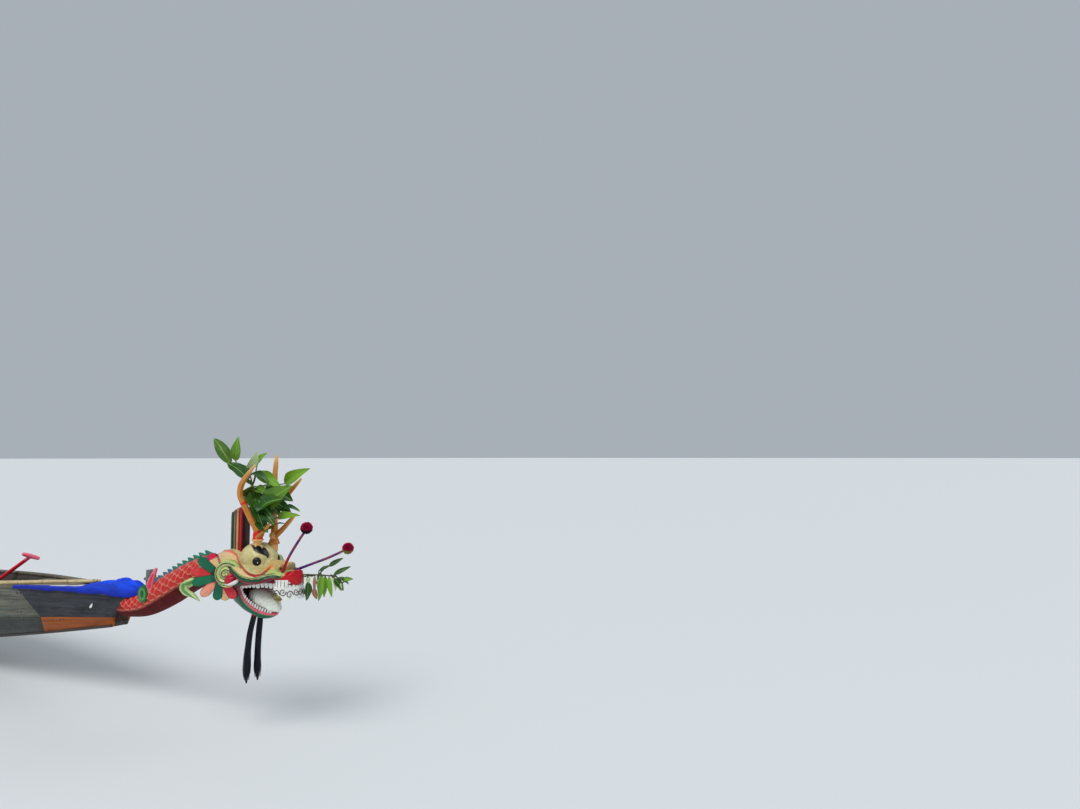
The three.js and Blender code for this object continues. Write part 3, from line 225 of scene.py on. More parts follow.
class Shape:
    # points and faces gathered for one piece, with a paint colour, a grain direction and a tone at each point
    def __init__(self):
        self.points, self.faces, self.paint, self.grain, self.tone, self.finish = [], [], [], [], [], []
        self.count = 0

    def add(self, points, faces, paint=(0.5, 0.5, 0.5), grain=None, tone=0.5, finish=0):
        points = np.asarray(points, float).reshape(-1, 3)
        total = len(points)
        self.points.append(points)
        self.faces.extend([[index + self.count for index in face] for face in faces])
        self.finish.extend([finish] * len(faces))
        self.paint.append(np.broadcast_to(np.asarray(paint, float), (total, 3)))
        self.grain.append(points if grain is None else np.asarray(grain, float))
        self.tone.append(np.broadcast_to(np.asarray(tone, float), (total,)))
        self.count += total
        return self

    def mesh(self, title):
        mesh = bpy.data.meshes.new(title)
        mesh.from_pydata(np.concatenate(self.points), [], self.faces)
        mesh.polygons.foreach_set("material_index", self.finish)
        paintOn(mesh, np.concatenate(self.paint))
        mesh.attributes.new("grain", "FLOAT_VECTOR", "POINT").data.foreach_set("vector",
            np.concatenate(self.grain).ravel())
        mesh.attributes.new("tone", "FLOAT", "POINT").data.foreach_set("value", np.concatenate(self.tone))
        mesh.update()
        return mesh


def paintOn(mesh, colours):
    layer = mesh.attributes.get("paint") or mesh.attributes.new("paint", "FLOAT_COLOR", "POINT")
    layer.data.foreach_set("color", np.column_stack([colours, np.ones(len(colours))]).ravel())


def pointsOf(mesh):
    flat = np.empty(3 * len(mesh.vertices))
    mesh.vertices.foreach_get("co", flat)
    return flat.reshape(-1, 3)


def normalsOf(mesh):
    flat = np.empty(3 * len(mesh.vertices), np.float32)
    mesh.vertex_normals.foreach_get("vector", flat)
    return flat.reshape(-1, 3).astype(float)


def asObject(title, mesh):
    piece = bpy.data.objects.new(title, mesh)
    bpy.context.collection.objects.link(piece)
    return piece


def baked(piece):
    # the evaluated mesh in place of the modifiers
    fresh = bpy.data.meshes.new_from_object(piece.evaluated_get(bpy.context.evaluated_depsgraph_get()))
    piece.modifiers.clear()
    old = piece.data
    piece.data = fresh
    bpy.data.meshes.remove(old)
    return piece


def outwards(mesh):
    work = bmesh.new()
    work.from_mesh(mesh)
    bmesh.ops.recalc_face_normals(work, faces=work.faces)
    work.to_mesh(mesh)
    work.free()


def makePiece(title, shape, materials, nodes=(), body="hull", bevel=0.0, rounds=2, subdivide=0, sharp=38,
        merge=False):
    # a finished piece: bevelled or subdivided, shaded, riding on its body in place of its nodes
    piece = shape if isinstance(shape, bpy.types.Object) else asObject(title, shape.mesh(title))
    piece.name = title
    if not isinstance(shape, bpy.types.Object):
        outwards(piece.data)
    for material in materials:
        piece.data.materials.append(material)
    if merge:
        piece.modifiers.new("weld", "WELD").merge_threshold = 0.00005
    if bevel:
        edge = piece.modifiers.new("bevel", "BEVEL")
        edge.width = bevel
        edge.segments = rounds
        edge.limit_method = "ANGLE"
        edge.angle_limit = math.radians(32)
        edge.use_clamp_overlap = True
        edge.harden_normals = False
    if subdivide:
        finer = piece.modifiers.new("finer", "SUBSURF")
        finer.levels = finer.render_levels = subdivide
    if merge or bevel or subdivide:
        baked(piece)
    piece.data.polygons.foreach_set("use_smooth", [True] * len(piece.data.polygons))
    piece.data.set_sharp_from_angle(angle=math.radians(sharp))
    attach(piece, body)
    if nodes:
        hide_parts(*nodes)
    print("  piece", title, sum(len(face.vertices) - 2 for face in piece.data.polygons))
    return piece


def nodesNamed(*starts):
    return [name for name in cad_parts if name.startswith(starts)]


def smoothRows(rows, count, spread=True):
    # a smooth run through the rows, evenly spaced along its length
    rows = np.asarray(rows, float)
    if len(rows) == 2:
        return rows[0] + (rows[1] - rows[0]) * np.linspace(0, 1, count)[:, None]
    steps = np.linalg.norm(np.diff(rows[:, :3], axis=0), axis=1) ** 0.75 + 1e-6
    knots = np.concatenate([[0], np.cumsum(steps)])
    slopes = np.diff(rows, axis=0) / steps[:, None]
    tangents = np.empty_like(rows)
    share = steps[1:] / (steps[1:] + steps[:-1])
    tangents[1:-1] = slopes[:-1] * share[:, None] + slopes[1:] * (1 - share[:, None])
    tangents[0], tangents[-1] = slopes[0], slopes[-1]

    def at(places):
        place = np.clip(np.searchsorted(knots, places, side="right") - 1, 0, len(steps) - 1)
        t = ((places - knots[place]) / steps[place])[:, None]
        h = steps[place][:, None]
        return ((2 * t**3 - 3 * t**2 + 1) * rows[place] + (t**3 - 2 * t**2 + t) * h * tangents[place]
                + (3 * t**2 - 2 * t**3) * rows[place + 1] + (t**3 - t**2) * h * tangents[place + 1])
    fine = np.linspace(0, knots[-1], 40 * len(rows))
    run = at(fine)
    lengths = np.concatenate([[0], np.cumsum(np.linalg.norm(np.diff(run[:, :3], axis=0), axis=1))])
    if not spread:
        return at(np.linspace(0, knots[-1], count))
    return at(np.interp(np.linspace(0, lengths[-1], count), lengths, fine))


def sideways(line, up=(0.0, 0.0, 1.0)):
    # for each point of a line: its direction, and two square to it that turn as little as they can
    runs = np.gradient(line, axis=0)
    runs /= np.linalg.norm(runs, axis=1)[:, None] + 1e-12
    first = np.cross(runs[0], up)
    if np.linalg.norm(first) < 0.2:
        first = np.cross(runs[0], (1.0, 0.0, 0.0))
    sides = [first / np.linalg.norm(first)]
    for run in runs[1:]:
        side = sides[-1] - run * np.dot(sides[-1], run)
        sides.append(side / np.linalg.norm(side))
    sides = np.array(sides)
    return runs, sides, np.cross(sides, runs)


def skinFaces(rings, around, closed=True, caps=True):
    faces = []
    last = around if closed else around - 1
    for ring in range(rings - 1):
        low, high = ring * around, (ring + 1) * around
        faces += [[low + i, low + (i + 1) % around, high + (i + 1) % around, high + i] for i in range(last)]
    if caps and closed:
        faces += [list(range(around))[::-1], list(range((rings - 1) * around, rings * around))]
    return faces


def gridFaces(rows, columns):
    # the faces of a grid of points, and the run of points round its edge
    faces = [[r * columns + c, r * columns + c + 1, (r + 1) * columns + c + 1, (r + 1) * columns + c]
             for r in range(rows - 1) for c in range(columns - 1)]
    border = list(range(columns)) + [r * columns + columns - 1 for r in range(1, rows)]
    border += [(rows - 1) * columns + c for c in range(columns - 2, -1, -1)] + [r * columns
        for r in range(rows - 2, 0, -1)]
    return faces, list(zip(border, border[1:] + border[:1]))


def closedGrid(rows, columns):
    # two such grids back to back, joined round their edge
    top, border = gridFaces(rows, columns)
    total = rows * columns
    return top + [[index + total for index in face][::-1] for face in top] + [[a, a + total, b + total, b] for a,
        b in border]


def tube(rows, around=12, steps=24, widen=1.0, roundEnds=(True, True), spread=True, up=(0.0, 0.0, 1.0)):
    # a rod through rows of x, y, z, radius, with domed ends
    run = smoothRows(rows, steps, spread)
    line, radii = run[:, :3], np.maximum(run[:, 3], 1e-5)
    runs, sides, ups = sideways(line, up)
    rings, along = [], []
    travelled = np.concatenate([[0], np.cumsum(np.linalg.norm(np.diff(line, axis=0), axis=1))])
    angles = np.linspace(0, 2 * math.pi, around, endpoint=False)

    def ring(at, radius, shift, place):
        centre = line[at] + runs[at] * shift
        rings.append(centre + radius * (widen * np.cos(angles)[:, None] * sides[at] + np.sin(angles)[:,
            None] * ups[at]))
        along.append(np.column_stack([np.full(around, place), radius * np.cos(angles), radius * np.sin(angles)]))
    domes = [(math.cos(a), math.sin(a)) for a in (1.35, 0.95, 0.5)]
    if roundEnds[0]:
        for small, out in domes:
            ring(0, radii[0] * small, -radii[0] * out, -radii[0] * out)
    for index in range(steps):
        ring(index, radii[index], 0.0, travelled[index])
    if roundEnds[1]:
        for small, out in domes[::-1]:
            ring(-1, radii[-1] * small, radii[-1] * out, travelled[-1] + radii[-1] * out)
    return np.concatenate(rings), skinFaces(len(rings), around), np.concatenate(along)


def swellOut(points, rows, steps, share, amount):
    # a tube's points moved out from its centre line
    centres = smoothRows(rows, steps)[:, :3]
    spread = points - centres[np.clip(np.round(share * (steps - 1)).astype(int), 0, steps - 1)]
    return points + spread / (np.linalg.norm(spread, axis=1)[:, None] + 1e-6) * amount[:, None]


def headRows(rows, mirror=1):
    # rows in millimetres forward of the root, as metres in the boat's frame
    rows = np.array(rows, float) / 1000.0
    rows[:, 0] += rootX
    rows[:, 1] *= mirror
    return rows


def plate(outline, thickness, middle=0.0, axis=1):
    # a flat board from an outline of two coordinates; axis is the one that it is thin along
    outline = np.asarray(outline, float)
    total = len(outline)
    others = [index for index in range(3) if index != axis]
    points = np.zeros((2 * total, 3))
    for side in (0, 1):
        points[side * total:(side + 1) * total, others[0]] = outline[:, 0]
        points[side * total:(side + 1) * total, others[1]] = outline[:, 1]
        points[side * total:(side + 1) * total, axis] = middle + thickness * (side - 0.5)
    return points, skinFaces(2, total)


def slab(low, high):
    # a box between two corners
    low, high = np.asarray(low, float), np.asarray(high, float)
    corners = [[(low, high)[(index >> axis) & 1][axis] for axis in range(3)] for index in range(8)]
    return np.array(corners), [[0, 2, 3, 1], [4, 5, 7, 6], [0, 1, 5, 4], [2, 6, 7, 3], [0, 4, 6, 2], [1, 3, 7, 5]]


def lathe(profile, around, centre=(0, 0, 0)):
    # rows of radius and height turned about an upright axis
    angles = np.linspace(0, 2 * math.pi, around, endpoint=False)
    rings = [np.column_stack([max(r, 1e-5) * np.cos(angles), max(r, 1e-5) * np.sin(angles), np.full(around, h)])
        for r, h in profile]
    return np.concatenate(rings) + np.asarray(centre), skinFaces(len(profile), around)


def placed(points, matrix):
    matrix = np.array(matrix)
    return points @ matrix[:3, :3].T + matrix[:3, 3]


def soft(distance, width=2.5):
    # a mask that runs from 0 to 1 over the width
    return np.clip(0.5 + distance / width, 0, 1)


def tint(*screen):
    # a paint given as screen values from 0 to 255
    return tuple(value / 255 / 12.92 if value < 11 else ((value / 255 + 0.055) / 1.055) ** 2.4 for value in screen)


def between(first, second, share):
    return np.asarray(first, float) * (1 - share) + np.asarray(second, float) * share


def lay(colours, mask, colour):
    # a paint laid over the colours where the mask says
    return between(colours, colour, mask[:, None])


def repeated(colour, points):
    return np.tile(colour, (len(points), 1))


def groupWith(title, *inputs):
    tree = bpy.data.node_groups.new(title, "GeometryNodeTree")
    tree.interface.new_socket(name="Geometry", in_out="INPUT", socket_type="NodeSocketGeometry")
    tree.interface.new_socket(name="Geometry", in_out="OUTPUT", socket_type="NodeSocketGeometry")
    for name, kind, value in inputs:
        socket = tree.interface.new_socket(name=name, in_out="INPUT", socket_type="NodeSocket" + kind)
        if value is not None:
            socket.default_value = value
    return tree, put(tree, "NodeGroupInput"), put(tree, "NodeGroupOutput")


def named(tree, title, kind):
    return put(tree, "GeometryNodeInputNamedAttribute", {"Name": title}, data_type=kind).outputs[0]


# one unit on each point: its top along "out", its length along "run", its size from "size"
layUnits, given, result = groupWith(
    "layUnits", ("Unit", "Object", None), ("Size", "Float", 1.0), ("Unevenness", "Float", 0.06),
    ("Seed", "Int", 3), ("Finish", "Material", None))
turned = put(layUnits, "FunctionNodeAxesToRotation", {0: named(layUnits, "out", "FLOAT_VECTOR"),
    1: named(layUnits, "run", "FLOAT_VECTOR")}, primary_axis="Z", secondary_axis="X")
varied = put(layUnits, "FunctionNodeRandomValue", {2: -1.0, 3: 1.0, "Seed": given.outputs["Seed"]}, data_type="FLOAT")
uneven = put(layUnits, "ShaderNodeMath", {0: varied.outputs[1], 1: given.outputs["Unevenness"], 2: 1.0},
    operation="MULTIPLY_ADD")
overall = put(layUnits, "ShaderNodeMath", {0: uneven.outputs[0], 1: given.outputs["Size"]}, operation="MULTIPLY")
sized = put(layUnits, "ShaderNodeVectorMath", {0: named(layUnits, "size", "FLOAT_VECTOR"),
    "Scale": overall.outputs[0]}, operation="SCALE")
unitShape = put(layUnits, "GeometryNodeObjectInfo", {0: given.outputs["Unit"]})
laid = put(layUnits, "GeometryNodeInstanceOnPoints", {"Points": given.outputs["Geometry"],
    "Instance": unitShape.outputs["Geometry"], "Rotation": turned.outputs[0], "Scale": sized.outputs[0]})
real = put(layUnits, "GeometryNodeRealizeInstances", {0: laid.outputs[0]})
finished = put(layUnits, "GeometryNodeSetMaterial", {"Geometry": real.outputs[0], "Material": given.outputs["Finish"]})
layUnits.links.new(finished.outputs[0], result.inputs[0])

# a round strand along each line of edges, as thick as "thick" says
drawStrands, given, result = groupWith(
    "drawStrands", ("Thickness", "Float", 1.0), ("Sides", "Int", 5), ("Finish", "Material", None))
lines = put(drawStrands, "GeometryNodeMeshToCurve", {0: given.outputs["Geometry"]})
section = put(drawStrands, "GeometryNodeCurvePrimitiveCircle", {0: given.outputs["Sides"], 4: 1.0}, mode="RADIUS")
swollen = put(drawStrands, "ShaderNodeMath", {0: named(drawStrands, "thick", "FLOAT"), 1: given.outputs["Thickness"]},
    operation="MULTIPLY")
skin = put(drawStrands, "GeometryNodeCurveToMesh", {"Curve": lines.outputs[0], "Profile Curve": section.outputs[0],
    "Scale": swollen.outputs[0], "Fill Caps": True})
real = put(drawStrands, "GeometryNodeRealizeInstances", {0: skin.outputs[0]})
finished = put(drawStrands, "GeometryNodeSetMaterial", {"Geometry": real.outputs[0],
    "Material": given.outputs["Finish"]})
drawStrands.links.new(finished.outputs[0], result.inputs[0])


def throughTree(piece, tree, **values):
    # runs a tree on the piece and keeps its result as a plain mesh
    modifier = piece.modifiers.new(tree.name, "NODES")
    modifier.node_group = tree
    sockets = {item.name: item.identifier for item in tree.interface.items_tree if item.in_out == "INPUT"}
    for name, value in values.items():
        modifier[sockets[name]] = value
    return baked(piece)


def layOut(title, unit, material, places, outs, runs, sizes, paint=None, tone=None, seed=3, unevenness=0.06):
    # copies of a unit shape at the places, through the layUnits tree
    places = np.asarray(places, float)
    total = len(places)
    mesh = bpy.data.meshes.new(title)
    mesh.from_pydata(places, [], [])
    sizes = np.broadcast_to(np.asarray(sizes, float).reshape(-1, 3), (total, 3))
    for name, rows in (("out", outs), ("run", runs), ("size", sizes)):
        rows = np.broadcast_to(np.asarray(rows, float), (total, 3))
        mesh.attributes.new(name, "FLOAT_VECTOR", "POINT").data.foreach_set("vector", rows.ravel())
    if paint is not None:
        paintOn(mesh, np.broadcast_to(np.asarray(paint, float), (total, 3)))
    if tone is not None:
        mesh.attributes.new("tone", "FLOAT", "POINT").data.foreach_set("value", np.asarray(tone, float))
    carrier = asObject(title, mesh)
    for name in [name for name, given in (("paint", paint), ("tone", tone)) if given is not None
            and name in unit.attributes]:
        unit.attributes.remove(unit.attributes[name])
    pattern = asObject(title + "Unit", unit)
    throughTree(carrier, layUnits, Unit=pattern, Seed=seed, Unevenness=unevenness, Finish=material)
    bpy.data.objects.remove(pattern)
    carrier.data.materials.clear()
    return carrier


def drawLines(title, lines, material, paint=None, sides=5):
    # lines: arrays of x, y, z, radius, drawn as strands
    mesh = bpy.data.meshes.new(title)
    points = np.concatenate([line[:, :3] for line in lines])
    starts = np.cumsum([0] + [len(line) for line in lines])
    edges = [(start + i, start + i + 1) for start, line in zip(starts, lines) for i in range(len(line) - 1)]
    mesh.from_pydata(points, edges, [])
    mesh.attributes.new("thick", "FLOAT", "POINT").data.foreach_set("value",
        np.concatenate([line[:, 3] for line in lines]))
    mesh.attributes.new("grain", "FLOAT_VECTOR", "POINT").data.foreach_set("vector", points.ravel())
    if paint is not None:
        paintOn(mesh, np.concatenate([np.broadcast_to(np.asarray(colour, float), (len(line), 3)) for colour,
            line in zip(paint, lines)]))
    piece = asObject(title, mesh)
    throughTree(piece, drawStrands, Sides=sides, Finish=material)
    piece.data.materials.clear()
    return piece


print("helpers ready")


# finishes of the hull
weatheredPlanks = woodMaterial("weatheredPlanks", (0.23, 0.23, 0.18), (0.062, 0.062, 0.047), (0.028, 0.03, 0.022),
    0.66, oldPaint=(0.104, 0.132, 0.108), wetBelow=0.16, inside=(0.075, 0.055, 0.045))
wetPlanks = woodMaterial("wetPlanks", (0.075, 0.08, 0.064), (0.02, 0.023, 0.019), (0.010, 0.013, 0.010), 0.5,
    oldPaint=(0.026, 0.040, 0.040), gloss=0.1, inside=(0.05, 0.038, 0.03))
dropPaint = paintMaterial("dropPaint", 0.4, 0.2, wear=0.2)
slatePaint = woodMaterial("slatePaint", (0.065, 0.068, 0.08), (0.02, 0.021, 0.027), (0.012, 0.012, 0.016), 0.58,
    oldPaint=(0.024, 0.027, 0.040))
amberBoard = woodMaterial("amberBoard", (0.52, 0.125, 0.010), (0.25, 0.05, 0.004), (0.12, 0.026, 0.005), 0.55,
    crack=0.4)
# the end blocks are painted near-black red-brown: painted shade, as the bow's end lies in shadow; the stern block takes
# the same wood
shadedBlockWood = woodMaterial("shadedBlockWood", (0.085, 0.034, 0.018), (0.028, 0.012, 0.007), (0.012, 0.006, 0.005), 0.6)
# the bottom boards are painted dark: partly wet near the water, partly painted shade under the hull
bottomPlanks = woodMaterial("bottomPlanks", (0.11, 0.10, 0.075), (0.035, 0.032, 0.024), (0.02, 0.025, 0.015), 0.5,
    wetBelow=0.2)
innerWood = woodMaterial("innerWood", (0.15, 0.115, 0.08), (0.05, 0.038, 0.026), (0.02, 0.016, 0.012), 0.62)
thwartWood = woodMaterial("thwartWood", (0.34, 0.33, 0.27), (0.14, 0.13, 0.10), (0.06, 0.055, 0.045), 0.6,
    oldPaint=(0.27, 0.31, 0.27))
railWood = woodMaterial("railWood", (0.26, 0.23, 0.17), (0.10, 0.085, 0.06), (0.05, 0.042, 0.03), 0.6)
deckWood = woodMaterial("deckWood", (0.42, 0.35, 0.24), (0.17, 0.13, 0.085), (0.075, 0.06, 0.04), 0.62)
rustyIron = paintMaterial("rustyIron", 0.62, 0.0, (0.16, 0.055, 0.02), 1.0, 0.4)

# the hull's lines, the same curves as the solids follow
hull = {
    "halfLength": 7.72, "halfBeam": 0.58, "endHalfBeam": 0.08, "floor": 0.30, "endFloor": 0.05,
    "sheer": 0.46, "sheerRise": 0.328, "keel": -0.14, "keelRise": 0.695, "seamShare": 0.44, "seamLost": 0.14,
    "plank": 0.028, "bottom": 0.035, "rake": 1.05, "scarfSheer": 6.74, "scarfSeam": 6.985, "scarfFoot": 6.90,
    "step": 0.07,
}
joint = 0.0012  # half of the gap between two boards' ends
seat = 0.0006  # the gap between pieces that lie on each other


def hullLines(s):
    s = np.asarray(s, float)
    t = np.minimum(np.abs(s) / hull["halfLength"], 1)
    sheerZ = hull["sheer"] + hull["sheerRise"] * np.sin(math.pi * t / 2) ** 2
    keelZ = hull["keel"] + hull["keelRise"] * t ** 1.85
    sheerY = hull["endHalfBeam"] + (hull["halfBeam"] - hull["endHalfBeam"]) * (1 - t ** 2.8)
    return {
        "s": s, "sheerZ": sheerZ, "keelZ": keelZ, "seamZ": keelZ + (hull["seamShare"] - hull["seamLost"] * t ** 12)
        * (sheerZ - keelZ),
        "sheerY": sheerY, "seamY": 0.93 * sheerY, "floorY": hull["endFloor"] + (hull["floor"] - hull["endFloor"])
        * (1 - t ** 2.2),
        "rake": np.sign(s) * np.interp(np.abs(s), [7.3, 7.54, 7.72], [0, 0.5, 1])}


def hullPoint(line, y, z):
    return np.stack([line["s"] + hull["rake"] * line["rake"] * np.maximum(0, z - line["seamZ"]), y + 0 * z,
        z + 0 * y], axis=-1)


def insideY(line, z):
    floorZ = line["keelZ"] + hull["bottom"]
    upper = line["seamY"] + (line["sheerY"] - line["seamY"]) * (z - line["seamZ"]) / (line["sheerZ"]
        - line["seamZ"]) - hull["plank"]
    lower = line["floorY"] + (line["seamY"] - hull["plank"] - line["floorY"]) * (z - floorZ) / (line["seamZ"] - floorZ)
    return np.where(z >= line["seamZ"], upper, lower)


def plankFace(strake, side, s, share, inner=0.0, swell=0.0):
    # a point of a strake's face; inner is 0 on the outside and 1 on the inside
    line = hullLines(s)
    if strake == "upper":
        y = line["seamY"] + (line["sheerY"] - line["seamY"]) * share - hull["plank"] * inner
        z = line["seamZ"] + seat + (line["sheerZ"] - line["seamZ"] - seat) * share
    else:
        y = line["floorY"] + (line["seamY"] - hull["plank"] * inner - line["floorY"]) * share
        foot = line["keelZ"] + hull["bottom"] * inner
        z = foot + (line["seamZ"] - seat - foot) * share
    y = y + swell * (1 - inner) * np.sin(math.pi * share)
    return hullPoint(line, side * y, z)


def addBoard(shape, strake, side, start, end, tone, finish):
    # one board; start and end are its places at its lower and its upper edge
    rows = 7
    shares = np.linspace(0, 1, rows)
    count = max(6, round((max(end) - min(start)) / hull["step"]))
    rings, grain = [], []
    for u in np.linspace(0, 1, count + 1):
        s = (start[0] + (end[0] - start[0]) * u) * (1 - shares) + (start[1] + (end[1] - start[1]) * u) * shares
        rings += [plankFace(strake, side, s, shares, 0, 0.002), plankFace(strake, side, s, shares, 1)[::-1]]
        grain += [np.column_stack([s, 0.26 * shares, np.full(rows, 0.0)]),
            np.column_stack([s, 0.26 * shares, np.full(rows, 0.03)])[::-1]]
    shape.add(np.concatenate(rings), skinFaces(count + 1, 2 * rows), grain=np.concatenate(grain) + [0, tone, 0],
        tone=tone, finish=finish)


stern, stem = -hull["halfLength"], hull["halfLength"]
strakes = {
    "lower": {"ends": [stern, -4.72, -1.15, 2.35, 5.6], "tones": [0.5, 0.2, 0.7, 0.35], "last": 0.6},
    "upper": {"ends": [stern, -5.6, -2.1, 1.45, 4.85], "tones": [0.3, 0.6, 0.15, 0.55], "last": 0.4},
}
# the white teardrop on its dark ground: place, then half width and half height
teardrop = {"place": 7.49, "share": 0.5, "half": 0.012, "height": 0.020, "ground": (0.005, 0.005, 0.007),
    "white": (0.76, 0.76, 0.71)}
# places in the piece's row of finishes
plain, slate, amber, soaked, dropGround, dropWhite = range(6)
for side, name in ((-1, "Starboard"), (1, "Port")):
    shape = Shape()
    for strake, plan in strakes.items():
        for first, last, tone in zip(plan["ends"], plan["ends"][1:], plan["tones"]):
            addBoard(shape, strake, side, [first + joint] * 2, [last - joint] * 2, tone, soaked
                if strake == "lower" else plain)
    # the last planks end at the scarfs, where the bow boards take over
    for strake, scarf, finish, bowTone, bowFinish in (
            ("lower", ("scarfFoot", "scarfSeam"), soaked, 0.45, amber),
            ("upper", ("scarfSeam", "scarfSheer"), plain, 0.4, slate)):
        plan = strakes[strake]
        addBoard(shape, strake, side, [plan["ends"][-1] + joint] * 2, [hull[key] - joint for key in scarf],
            plan["last"], finish)
        addBoard(shape, strake, side, [hull[key] + joint for key in scarf], [stem] * 2, bowTone, bowFinish)
    spot, ahead, above = (plankFace("upper", side, teardrop["place"] + ds, teardrop["share"] + du) for ds,
        du in ((0, 0), (0.01, 0), (0, 0.1)))
    along, up = ((end - spot) / np.linalg.norm(end - spot) for end in (ahead, above))
    out = np.cross(up, along) * side
    out /= np.linalg.norm(out)
    outline = [(teardrop["half"] * math.sin(a) * (1 - 0.45 * math.cos(a)) + 0.005 * math.cos(a),
        teardrop["height"] * math.cos(a))
               for a in np.linspace(0, 2 * math.pi, 20, endpoint=False)]
    for shift, lift, finish, paint in ((0.005, 0.0026, dropGround, teardrop["ground"]),
            (0.0, 0.0034, dropWhite, teardrop["white"])):
        ring = np.array([spot + along * (u + shift) + up * w for u, w in outline])
        shape.add(np.concatenate([ring, ring + out * lift]), skinFaces(2, 20), finish=finish, tone=0.2, paint=paint)
    tag = name.lower()
    owned = [n for n in nodesNamed("lower_plank", "upper_plank", "lower_bow", "upper_bow") if n.endswith(tag)]
    makePiece("planks" + name, shape, [weatheredPlanks, slatePaint, amberBoard, wetPlanks, dropPaint, dropPaint],
        owned, bevel=0.0025, sharp=30)

# the flat bottom, of three boards side by side
bottom = {"boards": [(-1.0, -0.36), (-0.352, 0.352), (0.36, 1.0)], "butts": [stern, -3.9, 0.2, 4.1, stem],
    "shift": 0.45}
shape = Shape()
for number, (inner, outer) in enumerate(bottom["boards"]):
    for place, (first, last) in enumerate(zip(bottom["butts"], bottom["butts"][1:])):
        # butts are staggered from board to board, but not the ends
        first, last = (butt + bottom["shift"] * (number - 1) * (abs(butt) < 7) for butt in (first, last))
        s = np.linspace(first + joint, last - joint, round((last - first) / 0.12))
        line = hullLines(s)
        foot, top = line["keelZ"], line["keelZ"] + hull["bottom"] - seat
        rings = np.stack([hullPoint(line, line["floorY"] * inner, foot),
            hullPoint(line, line["floorY"] * outer, foot), hullPoint(line, line["floorY"] * outer, top),
            hullPoint(line, line["floorY"] * inner, top)], axis=1)
        shape.add(rings.reshape(-1, 3), skinFaces(len(s), 4), tone=(0.2, 0.6, 0.35, 0.8)[(number + place) % 4])
makePiece("bottomBoards", shape, [bottomPlanks], nodesNamed("bottom_plank"), bevel=0.002)


def stripAlong(shape, sections, start, end, step=0.1, tone=0.5, paint=(0.5, 0.5, 0.5), finish=0):
    # a strip whose section is given by a function of the hull's lines
    s = np.linspace(start, end, max(3, round((end - start) / step)))
    line = hullLines(s)
    rings = np.stack([hullPoint(line, y, z) for y, z in sections(line)], axis=1)
    shape.add(rings.reshape(-1, 3), skinFaces(len(s), rings.shape[1]), tone=tone, paint=paint, finish=finish)


# rails with rounded tops, scarfed from lengths, and a worn bead along the chine
rail = {"outside": 0.009, "inside": 0.037, "height": 0.020, "lengths": [stern, -4.9, -1.3, 2.2, 5.3, stem],
    "tones": [0.3, 0.7, 0.2, 0.5, 0.35]}
bead = {"width": 0.012, "height": 0.016, "end": 7.7}
for side, name in ((-1, "Starboard"), (1, "Port")):
    shape = Shape()
    for first, last, tone in zip(rail["lengths"], rail["lengths"][1:], rail["tones"]):
        stripAlong(shape, lambda line: [
            (side * (line["sheerY"] + rail["outside"]), line["sheerZ"] + 0.0008),
            (side * (line["sheerY"] + rail["outside"]), line["sheerZ"] + rail["height"] - 0.003),
            (side * (line["sheerY"] - 0.004), line["sheerZ"] + rail["height"] + 0.0016),
            (side * (line["sheerY"] - 0.024), line["sheerZ"] + rail["height"] + 0.0016),
            (side * (line["sheerY"] - rail["inside"]), line["sheerZ"] + rail["height"] - 0.003),
            (side * (line["sheerY"] - rail["inside"]), line["sheerZ"] + 0.0008)], first + joint, last - joint,
            tone=tone)
    makePiece("rail" + name, shape, [railWood], [n for n in nodesNamed("gunwale_cap") if n.endswith(name.lower())],
        bevel=0.003, rounds=2)
    shape = Shape()
    stripAlong(shape, lambda line: [
        (side * (line["floorY"] + 0.001), line["keelZ"] - 0.004),
        (side * (line["floorY"] + bead["width"]), line["keelZ"] + 0.001),
        (side * (line["floorY"] + bead["width"] + 0.004), line["keelZ"] + bead["height"]),
        (side * (line["floorY"] + 0.003), line["keelZ"] + bead["height"] + 0.002)], -bead["end"], bead["end"])
    makePiece("chineBead" + name, shape, [wetPlanks], bevel=0.002)

# risers, thwarts, floor frames and keelson
inside = {
    "riserDrop": 0.15, "riserWidth": 0.045, "riserDepth": 0.034, "riserButts": [-6.25, -2.6, 1.9, 6.25],
    "riserTones": [0.4, 0.7, 0.25],
    "pitch": 0.9, "thwarts": 13, "thwartWidth": 0.19, "thwartThickness": 0.026, "frameHeight": 0.12,
    "frameThickness": 0.026,
    "keelsonHalf": 0.03, "keelsonHeight": 0.05, "keelsonEnd": 6.3,
}
thwartPlaces = (np.arange(inside["thwarts"]) - (inside["thwarts"] - 1) / 2) * inside["pitch"]
shape = Shape()
for side in (-1, 1):
    def riserSection(line):
        top = line["sheerZ"] - inside["riserDrop"]
        low = top - inside["riserDepth"]
        return [(side * (insideY(line, low) - 0.001), low), (side * (insideY(line, top) - 0.001), top),
                (side * (insideY(line, top) - inside["riserWidth"]), top),
                (side * (insideY(line, low) - inside["riserWidth"]), low)]
    for first, last, tone in zip(inside["riserButts"], inside["riserButts"][1:], inside["riserTones"]):
        stripAlong(shape, riserSection, first + joint, last - joint, tone=tone)
makePiece("risers", shape, [innerWood], bevel=0.002)

shape = Shape()
thwartLow = {}
for number, s in enumerate(thwartPlaces):
    edges = s - inside["thwartWidth"] / 2, s + inside["thwartWidth"] / 2
    ends = hullLines([edges[0], s, edges[1]])
    low = float(np.max(ends["sheerZ"])) - inside["riserDrop"] + seat
    half = float(np.min(np.minimum(insideY(ends, low), insideY(ends, low + inside["thwartThickness"])))) - 0.001
    thwartLow[round(float(s), 2)] = low
    board, faces = slab((edges[0], -half, low), (edges[1], half, low + inside["thwartThickness"]))
    shape.add(board, faces, grain=board[:, [1, 0, 2]] + [0, 0.37 * number, 0],
        tone=(0.2, 0.55, 0.35, 0.75, 0.1)[number % 5])
makePiece("thwarts", shape, [thwartWood], nodesNamed("thwarts"), bevel=0.006, rounds=3)

